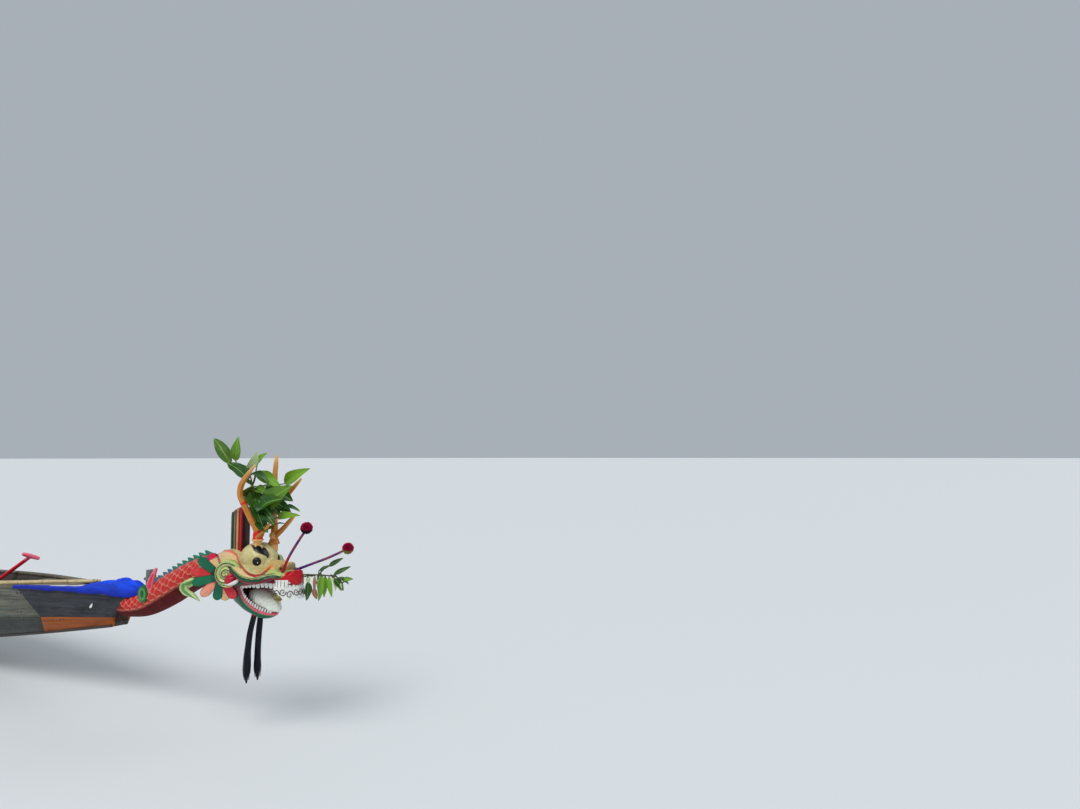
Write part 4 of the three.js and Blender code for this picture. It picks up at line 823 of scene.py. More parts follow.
shape = Shape()
for number, s in enumerate(thwartPlaces):
    faces = hullLines([s - inside["frameThickness"] / 2, s + inside["frameThickness"] / 2])
    low = float(np.max(faces["keelZ"])) + hull["bottom"] + seat
    top = low + inside["frameHeight"]
    lowHalf = float(np.min(insideY(faces, low))) - 0.005
    topHalf = float(np.min(insideY(faces, top))) - 0.005
    # a sawn frame with two limber holes for the bilge water
    outline = [(-lowHalf, low), (-0.16, low), (-0.15, low + 0.018), (-0.13, low + 0.018), (-0.12, low), (0.12, low),
        (0.13, low + 0.018), (0.15, low + 0.018), (0.16, low), (lowHalf, low), (topHalf, top), (-topHalf, top)]
    if lowHalf < 0.18:
        outline = [(-lowHalf, low), (lowHalf, low), (topHalf, top), (-topHalf, top)]
    points, sides = plate(outline, inside["frameThickness"], s, axis=0)
    shape.add(points, sides, grain=points[:, [1, 0, 2]] + [0, 0.41 * number, 0], tone=(0.5, 0.2, 0.8)[number % 3])


def keelsonSection(line):
    low = line["keelZ"] + hull["bottom"] + seat
    half, top = inside["keelsonHalf"], low + inside["keelsonHeight"]
    return [(-half, low), (half, low), (half, top), (-half, top)]


stripAlong(shape, keelsonSection, -inside["keelsonEnd"], inside["keelsonEnd"], tone=0.45)
makePiece("floorFrames", shape, [innerWood], nodesNamed("floor_frames"), bevel=0.002)

# short decks of narrow boards over solid ends
deck = {"from": 6.25, "to": 7.2, "thickness": 0.02, "drop": 0.008, "boards": 5, "tones": (0.3, 0.7, 0.1, 0.55, 0.4)}
block = {"from": 7.3, "clear": 0.006, "foot": 0.036}


def blockSection(line):
    foot = line["keelZ"] + block["foot"]
    halves = [insideY(line, line[key] if key != "foot" else foot) - block["clear"]
        for key in ("foot", "seamZ", "sheerZ")]
    heights = [foot, line["seamZ"], line["sheerZ"] - deck["drop"]]
    return [(-halves[0], foot), *zip(halves, heights), (-halves[2], heights[2]), (-halves[1], heights[1])]


for end, name in ((1, "bow"), (-1, "stern")):
    shape = Shape()
    edges = np.linspace(-1, 1, deck["boards"] + 1)
    for number, (first, last) in enumerate(zip(edges, edges[1:])):
        def deckSection(line):
            top = line["sheerZ"] - deck["drop"]
            reach = insideY(line, top - deck["thickness"]) - 0.001
            low, high = reach * first + 0.0012, reach * last - 0.0012
            return [(low, top - deck["thickness"]), (high, top - deck["thickness"]), (high, top), (low, top)]
        start, stop = sorted((end * deck["from"], end * deck["to"]))
        stripAlong(shape, deckSection, start + 0.004 * (number % 2), stop - 0.003 * (number % 3),
            tone=deck["tones"][number])
    makePiece(name + "Deck", shape, [deckWood], [name + "_deck"], bevel=0.0025)
    shape = Shape()
    start, stop = sorted((end * block["from"], end * stem))
    stripAlong(shape, blockSection, start, stop, 0.05)
    makePiece(name + "Block", shape, [shadedBlockWood], [name + "_block"], bevel=0.004)

# clenched nails along the strakes at every frame, and in the ends of the thwarts
nails = {"pitch": 0.45, "shares": (0.16, 0.84), "radius": 0.0065}
nail = Shape()
nail.add(*lathe([(0.0, -0.2), (0.9, -0.2), (1.0, 0.0), (0.78, 0.22), (0.35, 0.34), (0.0, 0.36)], 9),
    paint=(0.07, 0.045, 0.03))
places, outs, runs = [], [], []
for side in (-1, 1):
    for strake in ("lower", "upper"):
        for s in np.arange(-7.2, 7.5, nails["pitch"]):
            for share in nails["shares"]:
                for shift in (-0.02, 0.02):
                    here, ahead, above = (plankFace(strake, side, np.array([s + shift + a]), np.array([share + b]), 0,
                        0.002)[0] for a, b in ((0, 0), (0.01, 0), (0, 0.02)))
                    out = np.cross(ahead - here, above - here) * -side
                    out /= np.linalg.norm(out)
                    places.append(here + out * 0.0004)
                    outs.append(out)
                    runs.append(ahead - here)
for s in thwartPlaces:
    half = float(insideY(hullLines(s), thwartLow[round(float(s), 2)])) - 0.025
    for side in (-1, 1):
        for shift in (-0.06, 0.06):
            places.append((s + shift, side * half, thwartLow[round(float(s), 2)] + inside["thwartThickness"]))
            outs.append((0, 0, 1))
            runs.append((1, 0, 0))
nailHeads = layOut("nailHeads", nail.mesh("nailHead"), rustyIron, places, outs, runs, [nails["radius"]] * 3, seed=5,
    unevenness=0.15)
makePiece("nailHeads", nailHeads, [rustyIron])
print("hull planked")


# the neck and the tail: painted tubes under lapped scales
scalePaint = paintMaterial("scalePaint", 0.26, 0.5, wear=0.35)
finPaint = paintMaterial("finPaint", 0.3, 0.4, wear=0.5)
bellyPaint = paintMaterial("bellyPaint", 0.75, 0.0, wear=0.2)
neck = {
    "path": [(75, 0, 712, 84), (280, 0, 747, 92), (540, 0, 858, 104), (790, 0, 975, 96), (930, 0, 1025, 92),
        (1060, 0, 1054, 92)],
    "rowStep": 0.040, "scaleWidth": 0.060,
    "red": (0.52, 0.014, 0.012), "rim": (0.80, 0.26, 0.15), "shadedBelly": (0.10, 0.002, 0.004), "line": (0.50, 0.12, 0.08),
}
tail = {"path": [(75, 0, 712, 84), (300, 0, 752, 88), (560, 0, 880, 80), (780, 0, 1080, 66), (900, 0, 1300, 50),
    (930, 0, 1500, 34), (880, 0, 1640, 16)]}
stemEnd = hullLines(hull["halfLength"])


def stemX(z):
    return hull["halfLength"] + hull["rake"] * np.maximum(0, z - stemEnd["seamZ"]) + 0.0005


def bodyTube(path, flip, around=40, steps=90):
    # the bare tube: its first ring leans back with the stem; flip is -1 for the tail
    run = smoothRows(headRows(path), steps)
    line, radius = run[:, :3], run[:, 3]
    runs = np.gradient(line, axis=0)
    runs /= np.linalg.norm(runs, axis=1)[:, None]
    ups = np.column_stack([-runs[:, 2], np.zeros(steps), runs[:, 0]])
    angles = np.linspace(0, 2 * math.pi, around, endpoint=False)
    rings = line[:, None] + radius[:, None, None] * (np.cos(angles)[None, :, None] * np.array([0, 1, 0])
        + np.sin(angles)[None, :, None] * ups[:, None])
    share = np.linspace(0, 1, steps)
    least = stemX(rings[..., 2]) + share[:, None] * 0.06
    rings[..., 0] = np.where(share[:, None] < 0.25, np.maximum(rings[..., 0], least), rings[..., 0])
    rings[0, :, 0] = stemX(rings[0, :, 2])
    away = np.concatenate([[0], np.cumsum(np.linalg.norm(np.diff(line, axis=0), axis=1))])
    grain = np.stack([np.broadcast_to(away[:, None], rings.shape[:2]), rings[..., 1], rings[..., 2] * 0.5], axis=-1)
    rings[..., 0] *= flip
    return rings, grain, {"line": line * [flip, 1, 1], "radius": radius, "runs": runs * [flip, 1, 1],
        "ups": ups * [flip, 1, 1], "away": away, "angles": angles}


def scaleUnit():
    # one lapped scale: a shield one unit long, thin at its root, proud and rounded at its free end
    rows, columns = 7, 7
    points, edge = [], []
    for u in np.linspace(0, 1, rows):
        if u < 0.55:
            half = 0.5 * (0.86 + 0.14 * math.sin(math.pi * min(1, u / 0.6) / 2))
        else:
            half = 0.5 * math.sqrt(max(0.0, 1 - ((u - 0.55) / 0.47) ** 2))
        for v in np.linspace(-1, 1, columns):
            crown = (1 - v * v) * 0.10
            keel = 0.05 * max(0.0, 1 - abs(v) * 2.4) * u
            points.append((u, v * half, 0.17 * u + crown * (0.4 + 0.6 * u) + keel))
            edge.append(min(1 - abs(v), (1.02 - u) * 1.5) if u > 0.3 else 1.0)
    points = np.array(points)
    under = points - [0, 0, 0.05]
    total = rows * columns
    faces, border = gridFaces(rows, columns)
    rim = [[a, b, b + total, a + total] for a, b in border]
    colour = between(neck["red"], neck["rim"], np.clip(1 - np.array(edge) / 0.34, 0, 1)[:, None])
    shape = Shape()
    shape.add(np.concatenate([points, under]), faces + rim,
        paint=np.concatenate([colour, np.tile(neck["rim"], (total, 1))]))
    return shape.mesh("scale")


def tubeWithScales(title, path, flip, nodes, coverage, firstAway, lastAway):
    rings, grain, way = bodyTube(path, flip)
    angles = way["angles"]
    height = np.broadcast_to(np.sin(angles), rings.shape[:2])
    # the bare belly is painted near-black red: a darker red, deepened as painted shade on the underside
    shadedBelly = np.clip(0.5 - (height + 0.30) / 0.06, 0, 1)[..., None]
    colour = between(np.array(neck["red"]) * 0.55, neck["shadedBelly"], shadedBelly)
    edgeLine = np.exp(-((height + 0.30) / 0.045) ** 2)[..., None]
    colour = between(colour, neck["line"], edgeLine)
    # plates across the belly: a band of painted shade at each plate's edge stands in for a shallow step
    step = np.mod(grain[..., :1] / 0.055, 1)
    stepShade = np.clip(1 - step * 8, 0, 1) * shadedBelly
    colour = colour * (1 - 0.55 * stepShade)
    shape = Shape()
    shape.add(rings.reshape(-1, 3), skinFaces(len(rings), len(angles)), paint=colour.reshape(-1, 3),
        grain=grain.reshape(-1, 3))
    makePiece(title, shape, [bellyPaint], nodes, sharp=50)
    places, outs, runs, sizes, tones = [], [], [], [], []
    row = 0
    for away in np.arange(firstAway, min(lastAway, way["away"][-1]), neck["rowStep"]):
        centre, radius, run, up = (np.array([np.interp(away, way["away"], way[key][:, axis]) for axis in range(3)])
            if way[key].ndim == 2 else float(np.interp(away, way["away"], way[key]))
            for key in ("line", "radius", "runs", "ups"))
        size = neck["scaleWidth"] * max(0.35, radius / 0.096)
        count = max(6, round(2 * math.pi * radius / (size * 0.93)))
        for place in range(count):
            angle = 2 * math.pi * (place + 0.5 * (row % 2)) / count
            if math.sin(angle) < coverage:
                continue
            out = math.cos(angle) * np.array([0, 1, 0]) + math.sin(angle) * up
            foot = centre + out * (radius - 0.002)
            places.append(foot + run * size * 0.5)
            outs.append(out)
            runs.append(-run)
            sizes.append((size * 1.12, size, size * 0.9))
            tones.append((row * 7 + place * 3) % 10 / 10)
        row += 1
    scales = layOut(title + "Scales", scaleUnit(), scalePaint, places, outs, runs, sizes, tone=tones, seed=11,
        unevenness=0.04)
    makePiece(title + "Scales", scales, [scalePaint], sharp=60)
    return way


neckWay = tubeWithScales("neck", neck["path"], 1, ["neck"], -0.26, 0.06, 1.02)

# a saw-toothed fin along the back of the neck
fin = {"first": 0.36, "last": 1.0, "teeth": 11, "height": 0.040, "thickness": 0.015, "teal": (0.012, 0.20, 0.125),
    "edge": (0.55, 0.66, 0.45), "low": (0.03, 0.12, 0.30)}
shape = Shape()
for number in range(fin["teeth"]):
    ends = [fin["first"] + (fin["last"] - fin["first"]) * (number + part) / fin["teeth"] for part in (-0.06, 1.06)]
    feet = []
    for away in ends:
        centre, up = (np.array([np.interp(away, neckWay["away"], neckWay[key][:, axis]) for axis in range(3)])
            for key in ("line", "ups"))
        feet.append(centre + up * (float(np.interp(away, neckWay["away"], neckWay["radius"])) + 0.004))
    back, front = feet
    run = (front - back) / np.linalg.norm(front - back)
    up = np.array([-run[2], 0, run[0]])
    reach = float(np.linalg.norm(front - back))
    outline = []
    for u, h in ((0, -0.006), (-0.02, 0.012), (-0.16, 0.034), (-0.30, 1.06), (-0.10, 0.98), (0.22, 0.72),
            (0.58, 0.42), (0.90, 0.22), (1, 0.1), (1, -0.006)):
        height = h if abs(h) < 0.02 else h * fin["height"]
        corner = back + run * reach * u + up * height
        outline.append((corner[0], corner[2]))
    points, faces = plate(outline, fin["thickness"], 0.0)
    share = np.clip((points[:, 2] - min(back[2], front[2])) / 0.06, 0, 1)[:, None]
    colour = np.array(fin["low"]) * (1 - share) * (number < 4) + np.array(fin["teal"]) * (share if number < 4 else 1)
    shape.add(points, faces, paint=np.broadcast_to(colour, (len(points), 3)), tone=number % 3 / 3)
makePiece("neckFins", shape, [finPaint], ["neck_fins"], bevel=0.003)

# the tail, with a flame fin in three carved layers
tailFin = {
    "outline": [(720, 1060), (880, 1040), (1010, 1100), (960, 1150), (1080, 1230), (1010, 1270), (1120, 1380),
        (1030, 1410), (1120, 1540), (1010, 1560), (1060, 1720), (960, 1690), (900, 1840), (860, 1700), (800, 1640),
        (880, 1500), (880, 1300)],
    # scale, thickness and paint of each carved layer
    "layers": [(1.0, 0.018, (0.012, 0.20, 0.125)), (0.80, 0.026, (0.62, 0.30, 0.05)),
        (0.60, 0.034, (0.60, 0.03, 0.02))],
}


def softened(outline, rounds=2):
    # rounds the corners of a closed outline
    outline = np.asarray(outline, float)
    for _ in range(rounds):
        after = np.roll(outline, -1, axis=0)
        outline = np.stack([outline * 0.78 + after * 0.22, outline * 0.22 + after * 0.78], axis=1).reshape(-1, 2)
    return outline


tubeWithScales("tail", tail["path"], -1, ["tail"], -0.4, 0.06, 1.95)
shape = Shape()
flame = softened([(-rootX - x / 1000, z / 1000) for x, z in tailFin["outline"]])
middle = flame.mean(axis=0)
for scale, thickness, colour in tailFin["layers"]:
    points, faces = plate(middle + (flame - middle) * [scale, 0.5 + 0.5 * scale], thickness)
    shape.add(points, faces, paint=colour)
makePiece("tailFin", shape, [finPaint], bevel=0.003)
print("neck and tail scaled")


def sightPlane(points):
    # where a point of the head shows on the upright plane 175 mm out, seen from off the bow, both sides alike
    across = np.abs(points[:, 1]) * 1000
    x = (points[:, 0] - rootX) * 1000 + 1.2 * (175 - across)
    z = points[:, 2] * 1000 + 0.2 * (175 - across)
    return x, z


def overLine(rows, x, z):
    # signed distance over a line of x, z rows
    rows = np.asarray(rows, float)
    level = np.interp(x, rows[:, 0], rows[:, 1])
    slope = np.interp(x + 6, rows[:, 0], rows[:, 1]) - np.interp(x - 6, rows[:, 0], rows[:, 1])
    return (z - level) / np.sqrt(1 + (slope / 12) ** 2)


def insideOutline(outline, x, z):
    # distance inside a closed outline, negative outside it
    outline = np.asarray(outline, float)
    after = np.roll(outline, -1, axis=0)
    nearest = np.full(len(x), 1e9)
    crossings = np.zeros(len(x), int)
    for (ax, az), (bx, bz) in zip(outline, after):
        share = np.clip(((x - ax) * (bx - ax) + (z - az) * (bz - az)) / max(1e-9, (bx - ax) ** 2 + (bz - az) ** 2), 0,
            1)
        nearest = np.minimum(nearest, np.hypot(x - ax - share * (bx - ax), z - az - share * (bz - az)))
        if az != bz:
            crossings += ((z > min(az, bz)) & (z <= max(az, bz)) & (x < ax + (z - az) / (bz - az)
                * (bx - ax))).astype(int)
    return np.where(crossings % 2 == 1, nearest, -nearest)


# the upper head: skull, eye domes, brows, nostrils and lip rolls grown into one carving
headPaint = paintMaterial("headPaint", 0.27, 0.5, wear=0.45)
head = {
    "skull": [
        (1040.6, 92, 1138, 962), (1120, 132, 1168, 940), (1220, 156, 1194, 945), (1300, 168, 1178, 960),
        (1370, 174, 1132, 970), (1480, 170, 1116, 985),
        (1570, 150, 1104, 1000), (1640, 112, 1094, 1004), (1710, 92, 1076, 998), (1764, 74, 1088, 986),
        (1800, 44, 1094, 994)],
    "dome": (1436, 28, 1130), "domeHalf": (112, 92, 112),
    "bridge": [(1500, 0, 1098, 46), (1620, 0, 1097, 44), (1680, 0, 1098, 40), (1706, 0, 1100, 36)],
    "nostril": (1688, 42, 1098, 33), "nostrilHole": (1716, -62, 1094, 15),
    "scroll": [(1215, 164, 1112, 16), (1320, 178, 1130, 24), (1420, 186, 1092, 30), (1520, 184, 1048, 32),
        (1610, 160, 1036, 29), (1680, 116, 1050, 23), (1732, 84, 1056, 12)],
    "voxel": 0.0052,
    "smile": [
        (1250, 1204), (1320, 1203), (1380, 1198), (1427, 1181), (1454, 1146), (1480, 1115), (1514, 1086),
        (1556, 1067), (1614, 1059), (1670, 1070),
        (1709, 1092), (1740, 1114), (1762, 1131), (1800, 1136), (1900, 1140)],
    "lip": [
        (1250, 1086), (1300, 1104), (1345, 1116), (1371, 1107), (1397, 1081), (1449, 1051), (1500, 1035),
        (1566, 1030), (1631, 1035), (1679, 1049),
        (1726, 1064), (1781, 1073), (1836, 1069), (1874, 1080), (1919, 1100), (1956, 1118), (1990, 1131), (2040, 1138)],
    "flames": [
        (1564, 1257), (1599, 1251), (1611, 1239), (1623, 1256), (1664, 1248), (1672, 1234), (1676, 1251),
        (1708, 1239), (1716, 1232), (1744, 1236),
        (1750, 1215), (1730, 1178), (1706, 1193), (1641, 1205), (1600, 1217)],
    "gaze": (41, 2), "pupil": 23, "iris": 37,
    "domeColour": tint(188, 174, 114), "domeLit": tint(214, 202, 144), "beige": tint(228, 190, 140),
    "paleGreen": tint(184, 200, 118), "green": tint(2, 74, 44),
    "line": tint(158, 34, 28), "lineStart": tint(232, 116, 96), "lineEnd": tint(222, 104, 44),
    "crimson": tint(184, 0, 22),
    "gum": tint(126, 8, 38), "black": tint(7, 7, 10), "palate": tint(104, 18, 30), "nose": tint(196, 166, 104),
    "nostrilShade": tint(70, 34, 20),
}


def ovalRings(rows, around=64, steps=80, power=2.4):
    rows = np.asarray(rows, float)
    wide = smoothRows(np.column_stack([rows[:, 0], rows[:, 1], rows[:, 2], rows[:, 3]]), steps)
    x, half, top, low = wide.T
    angles = np.linspace(0, 2 * math.pi, around, endpoint=False)
    across = np.sign(np.cos(angles)) * np.abs(np.cos(angles)) ** (2 / power)
    up = np.sign(np.sin(angles)) * np.abs(np.sin(angles)) ** (2 / power)
    rings = np.stack([np.broadcast_to(x[:, None], (steps, around)), half[:, None] * across,
        ((top + low) / 2)[:, None] + ((top - low) / 2)[:, None] * up], axis=-1)
    return rings


def ball(centre, radius, around=32, rows=18):
    angles = np.linspace(-math.pi / 2, math.pi / 2, rows)
    return lathe([(radius * math.cos(a), radius * math.sin(a)) for a in angles], around, centre)


shape = Shape()
rings = ovalRings(head["skull"])
tip = rings[-1].mean(axis=0)
rings = np.concatenate([rings, [tip + (rings[-1] - tip) * [1, 0.72, 0.72] + [9, 0, 2], tip + (rings[-1] - tip)
    * [1, 0.35, 0.35] + [13, 0, 3]]])
shape.add(headRows(rings.reshape(-1, 3)), skinFaces(len(rings), rings.shape[1]))
for side in (-1, 1):
    x, y, z = head["dome"]
    points, faces = ball((0, 0, 0), 0.001, 48, 30)
    shape.add(points * head["domeHalf"] + headRows([(x, side * y, z)])[0], faces)
    x, y, z, radius = head["nostril"]
    shape.add(*ball(headRows([(x, side * y, z)])[0], radius / 1000))
    # a lip roll runs from the cheek to the nose, and a cheek roll back under it
    shape.add(*tube(headRows(head["scroll"], side), 20, 50)[:2])
    shape.add(*tube(headRows([(1250, 150, 1010, 26), (1370, 168, 1004, 30), (1480, 160, 1010, 24),
        (1560, 146, 1014, 16)], side), 18, 40)[:2])
shape.add(*tube(headRows(head["bridge"]), 24, 30)[:2])
upperHead = asObject("upperHead", shape.mesh("upperHead"))
outwards(upperHead.data)
grow = upperHead.modifiers.new("grow", "REMESH")
grow.mode = "VOXEL"
grow.voxel_size = head["voxel"]
ease = upperHead.modifiers.new("ease", "SMOOTH")
ease.factor = 0.5
ease.iterations = 7
baked(upperHead)
mesh = upperHead.data
points, normals = pointsOf(mesh), normalsOf(mesh)
x, z = sightPlane(points)
side = np.where(points[:, 1] < 0, -1.0, 1.0)
outer = normals[:, 1] * side

# carve the painted lines: a raised smile line, a groove under the band, steps over the lip, lids round the eyes
smile, lip = overLine(head["smile"], x, z), overLine(head["lip"], x, z)
reach = soft(1775 - x, 30) * soft(x - 1250, 60)
beyond = soft(outer + 0.35, 0.3)
front = soft((points[:, 0] - rootX) * 1000 - 1690, 30)
move = 5.5 * np.exp(-(smile / 8) ** 2) * reach
move -= 4.0 * np.exp(-((lip - 1) / 5) ** 2) * beyond
move += 3.0 * np.exp(-((lip + 12) / 6) ** 2) * beyond
move -= 2.5 * np.exp(-((smile + 34) / 5) ** 2) * reach * beyond
turn, lift = (math.radians(value) for value in head["gaze"])
half = np.array(head["domeHalf"]) / 1000
gazes = {}
for way in (-1, 1):
    toward = np.array([math.cos(turn) * math.cos(lift), way * math.sin(turn) * math.cos(lift), math.sin(lift)])
    spot = headRows([(head["dome"][0], way * head["dome"][1], head["dome"][2])])[0] + toward * half
    gazes[way] = (spot, toward / half / np.linalg.norm(toward / half))
aim = np.where(side[:, None] < 0, gazes[-1][0], gazes[1][0])
fromPupil = np.linalg.norm(points - aim, axis=1) * 1000
move += 2.0 * np.exp(-((fromPupil - head["iris"]) / 6) ** 2)
flames = insideOutline(head["flames"], x, z)
flames = np.where(side < 0, flames, np.minimum(flames, np.abs(points[:, 1]) * 1000 - 62))
seen = soft(0.77 * normals[:, 0] + 0.64 * side * normals[:, 1] - 0.05, 0.2)
move += 4.5 * soft(flames, 5) * seen
# a groove parts the two eyeballs, and a hollow marks each nostril
height = points[:, 2] * 1000
move -= 11.0 * np.exp(-(points[:, 1] * 1000 / 7) ** 2) * soft(height - 1150,
    30) * soft((points[:, 0] - rootX) * 1000 - 1330, 40)
hole = np.linalg.norm((points - headRows([(head["nostrilHole"][0], 0, head["nostrilHole"][2])])[0]) * 1000 * [1, 0,
    1], axis=1)
nostrilHere = np.exp(-(hole / head["nostrilHole"][3]) ** 2) * soft(outer - 0.4,
    0.2) * soft(np.abs(points[:, 1]) * 1000 - 50, 8)
move -= 10.0 * nostrilHere
points = points + normals * (move / 1000)[:, None]
mesh.vertices.foreach_set("co", points.ravel())

# then paint them
# the head's base paint is paler where the surface faces forward and up and darker where it faces back and down: painted
# highlight and painted shade
domeLight = np.clip(0.5 + 0.5 * (0.6 * normals[:, 0] + 0.7 * normals[:, 2]), 0, 1)[:, None]
colours = between(head["domeColour"], head["domeLit"], domeLight)
colours = lay(colours, soft(70 - fromPupil, 40) * 0.5, np.array(head["domeColour"]) * 0.9)
colours = lay(colours, soft((points[:, 0] - rootX) * 1000 - 1570, 30) * soft(height - 1060, 30), head["nose"])
# the front face of the nose is painted dark brown: painted shade
noseFrontShade = soft(normals[:, 0] - 0.55, 0.3) * soft((points[:, 0] - rootX) * 1000 - 1696, 10) * soft(height - 1074, 8)
colours = lay(colours, noseFrontShade, np.array(head["nose"]) * 0.45)
colours = lay(colours, soft(-smile) * reach, head["beige"])
colours = lay(colours, soft(-smile) * soft(x - 1660, 60) * soft(1900 - x, 60) * soft(1112 - z, 14), head["paleGreen"])
colours = lay(colours, soft(-smile - 34, 3) * soft(x - 1300, 60) * soft(1700 - x, 80),
    between(head["beige"], head["paleGreen"], 0.4))
along = np.clip((x - 1400) / 130, 0, 1)[:, None]
lineColour = between(head["lineStart"], head["line"], along)
lineColour = between(lineColour, head["lineEnd"], np.clip((x - 1700) / 60, 0, 1)[:, None])
colours = lay(colours, soft(8.5 - np.abs(smile)) * reach, lineColour)
under = soft(-lip)
colours = lay(colours, under, head["gum"])
colours = lay(colours, under * soft(x - 1800, 60), head["crimson"])
colours = lay(colours, soft(-lip - 22) * soft(1500 - x, 60), head["green"])
colours = lay(colours, soft(9 - np.abs(lip + 1)) * soft(1850 - x, 40), head["green"])
colours = lay(colours, soft(4 - np.abs(lip - 14)) * soft(1790 - x, 50), between(head["green"], head["paleGreen"], 0.4))
# seen from ahead the tip of the snout is crimson all round
forward = (points[:, 0] - rootX) * 1000
tipHere = soft(forward - 1748, 10) * soft(np.minimum(1122, 1080 + 0.9 * (forward - 1750)) - height, 8)
colours = lay(colours, tipHere, head["crimson"])
# the nostril hollows are painted dark brown: painted shade
colours = lay(colours, np.clip(nostrilHere * 1.4, 0, 1), head["nostrilShade"])
bottomFacing = soft(-normals[:, 2] - 0.72, 0.2) * soft(1030 - height, 20)
colours = lay(colours, bottomFacing, head["palate"])
colours = lay(colours, soft(head["pupil"] + 5 - fromPupil), tint(96, 80, 44))
colours = lay(colours, soft(flames + 5) * seen, tint(206, 190, 140))
colours = lay(colours, soft(flames) * seen, head["black"])
back = soft(1150 - (points[:, 0] - rootX) * 1000, 30)
colours = lay(colours, back, head["green"])
paintOn(mesh, colours)
mesh.attributes.new("grain", "FLOAT_VECTOR", "POINT").data.foreach_set("vector", points.ravel())
makePiece("upperHead", upperHead, [headPaint], ["upper_head"], sharp=80)

# glossy pupils with a catchlight, set in the irises
pupilPaint = paintMaterial("pupilPaint", 0.3, 0.25, wear=0.0, strokes=0.3)
for way, name in ((-1, "Starboard"), (1, "Port")):
    spot, direction = gazes[way]
    profile = [(0.0, -0.006), (0.0255, -0.006), (0.026, 0.001), (0.024, 0.0055), (0.019, 0.0095), (0.012, 0.0125),
        (0.005, 0.0138), (0.0, 0.014)]
    points, faces = lathe(profile, 36)
    turned = Vector(direction).to_track_quat("Z", "Y").to_matrix().to_4x4()
    where = Matrix.Translation(Vector(spot - direction * 0.004)) @ turned
    away = np.hypot(points[:, 0], points[:, 1])
    colour = np.where((away > 0.0245)[:, None], tint(50, 36, 22), tint(5, 5, 8))
    shape = Shape().add(placed(points, where), faces, paint=colour)
    glint, glintFaces = lathe([(0.0, 0.010), (0.0036, 0.0122), (0.003, 0.0142), (0.0, 0.0146)], 14,
        (0.006, way * 0.007, 0.0))
    shape.add(placed(glint, where), glintFaces, paint=tint(235, 235, 230))
    makePiece("pupil" + name, shape, [pupilPaint], ["eye_" + name.lower()], sharp=50)
print("upper head carved")

# the open jaw: a trough with a pink lip round its rim
jaw = {
    "hinge": (1350, 812), "tilt": -17, "wall": 17,
    "rows": [
        (-70, 112, 192, 0, 60), (0, 134, 184, 0, 70), (54, 128, 124, 0, 66), (118, 105, 85, 0, 52),
        (180, 76, 68, 4, 40), (216, 52, 65, 22, 26), (240, 28, 66, 42, 14), (251, 16, 67, 52, 8)],
    "lip": tint(226, 92, 116), "green": tint(0, 92, 60), "edge": tint(110, 138, 90), "mouth": tint(70, 8, 20),
    "lipWidth": 12,
}
jawPaint = paintMaterial("jawPaint", 0.34, 0.25, wear=0.25)


def jawPoint(along, across, up):
    turn = math.radians(jaw["tilt"])
    return np.stack([
        rootX + (jaw["hinge"][0] + along * math.cos(turn) - up * math.sin(turn)) / 1000, across / 1000 + 0 * along,
        (jaw["hinge"][1] + along * math.sin(turn) + up * math.cos(turn)) / 1000], axis=-1)


run = smoothRows(jaw["rows"], 54)
outerAngles, innerAngles = np.radians(np.linspace(0, 180, 33)), np.radians(np.linspace(180, 0, 25))
rings, colours = [], []
for along, half, rim, keel, trough in run:
    outerUp = rim - (rim - keel) * np.sin(outerAngles) ** 0.8
    innerUp = rim - trough * np.sin(innerAngles)
    across = np.concatenate([half * np.cos(outerAngles), (half - jaw["wall"]) * np.cos(innerAngles)])
    up = np.concatenate([outerUp, innerUp])
    swell = np.concatenate([np.exp(-((rim - outerUp - 5) / 9) ** 2) * 5, np.zeros(25)])
    across = across + np.sign(across) * swell
    rings.append(jawPoint(np.full(len(up), along), across, up))
    drop = np.concatenate([rim - outerUp, np.full(25, -1.0)])
    colour = np.tile(np.array(jaw["green"]), (len(up), 1))
    colour = lay(colour, soft(jaw["lipWidth"] + 5 - drop, 4), jaw["edge"])
    colour = lay(colour, soft(jaw["lipWidth"] - drop, 4), jaw["lip"])
    inner = np.arange(len(up)) >= 33
    colour = np.where((inner & (rim - up > 8))[:, None], jaw["mouth"], colour)
    colour = np.where((inner & (rim - up <= 8))[:, None], jaw["lip"], colour)
    colours.append(colour)
shape = Shape().add(np.concatenate(rings), skinFaces(len(rings), 58), paint=np.concatenate(colours))
makePiece("lowerJaw", shape, [jawPaint], ["lower_jaw"], sharp=55)

# teeth: one rounded block, laid along the gums
toothPaint = paintMaterial("toothPaint", 0.22, 0.6, (0.5, 0.42, 0.3), wear=0.3)
teeth = {
    "upper": [(1440, 138, 1004), (1530, 132, 1010), (1620, 106, 1014), (1700, 84, 1012), (1755, 68, 1004),
        (1782, 40, 1000)],
    "upperCount": 12, "upperSize": (0.026, 0.017, 0.036),
    "lower": [(14, 122, 168), (54, 117, 124), (118, 94, 85), (180, 66, 68), (214, 42, 65), (236, 22, 66)],
    "lowerCount": 16, "lowerSize": (0.0125, 0.011, 0.021), "white": tint(230, 230, 224),
}


def toothUnit():
    # unit wide and deep, one unit tall, narrowing to a rounded edge
    rows = [(0.0, 1.0, 1.0), (0.25, 1.04, 1.0), (0.6, 0.94, 0.8), (0.86, 0.80, 0.56), (0.97, 0.62, 0.36),
        (1.0, 0.40, 0.18)]
    angles = np.linspace(0, 2 * math.pi, 12, endpoint=False)
    cos, sin = np.cos(angles), np.sin(angles)
    square = [np.sign(value) * np.abs(value) ** 0.55 * 0.5 for value in (cos, sin)]
    rings = [np.column_stack([wide * square[0], deep * square[1], np.full(12, up)]) for up, wide, deep in rows]
    return Shape().add(np.concatenate(rings), skinFaces(len(rings), 12), paint=teeth["white"]).mesh("tooth")


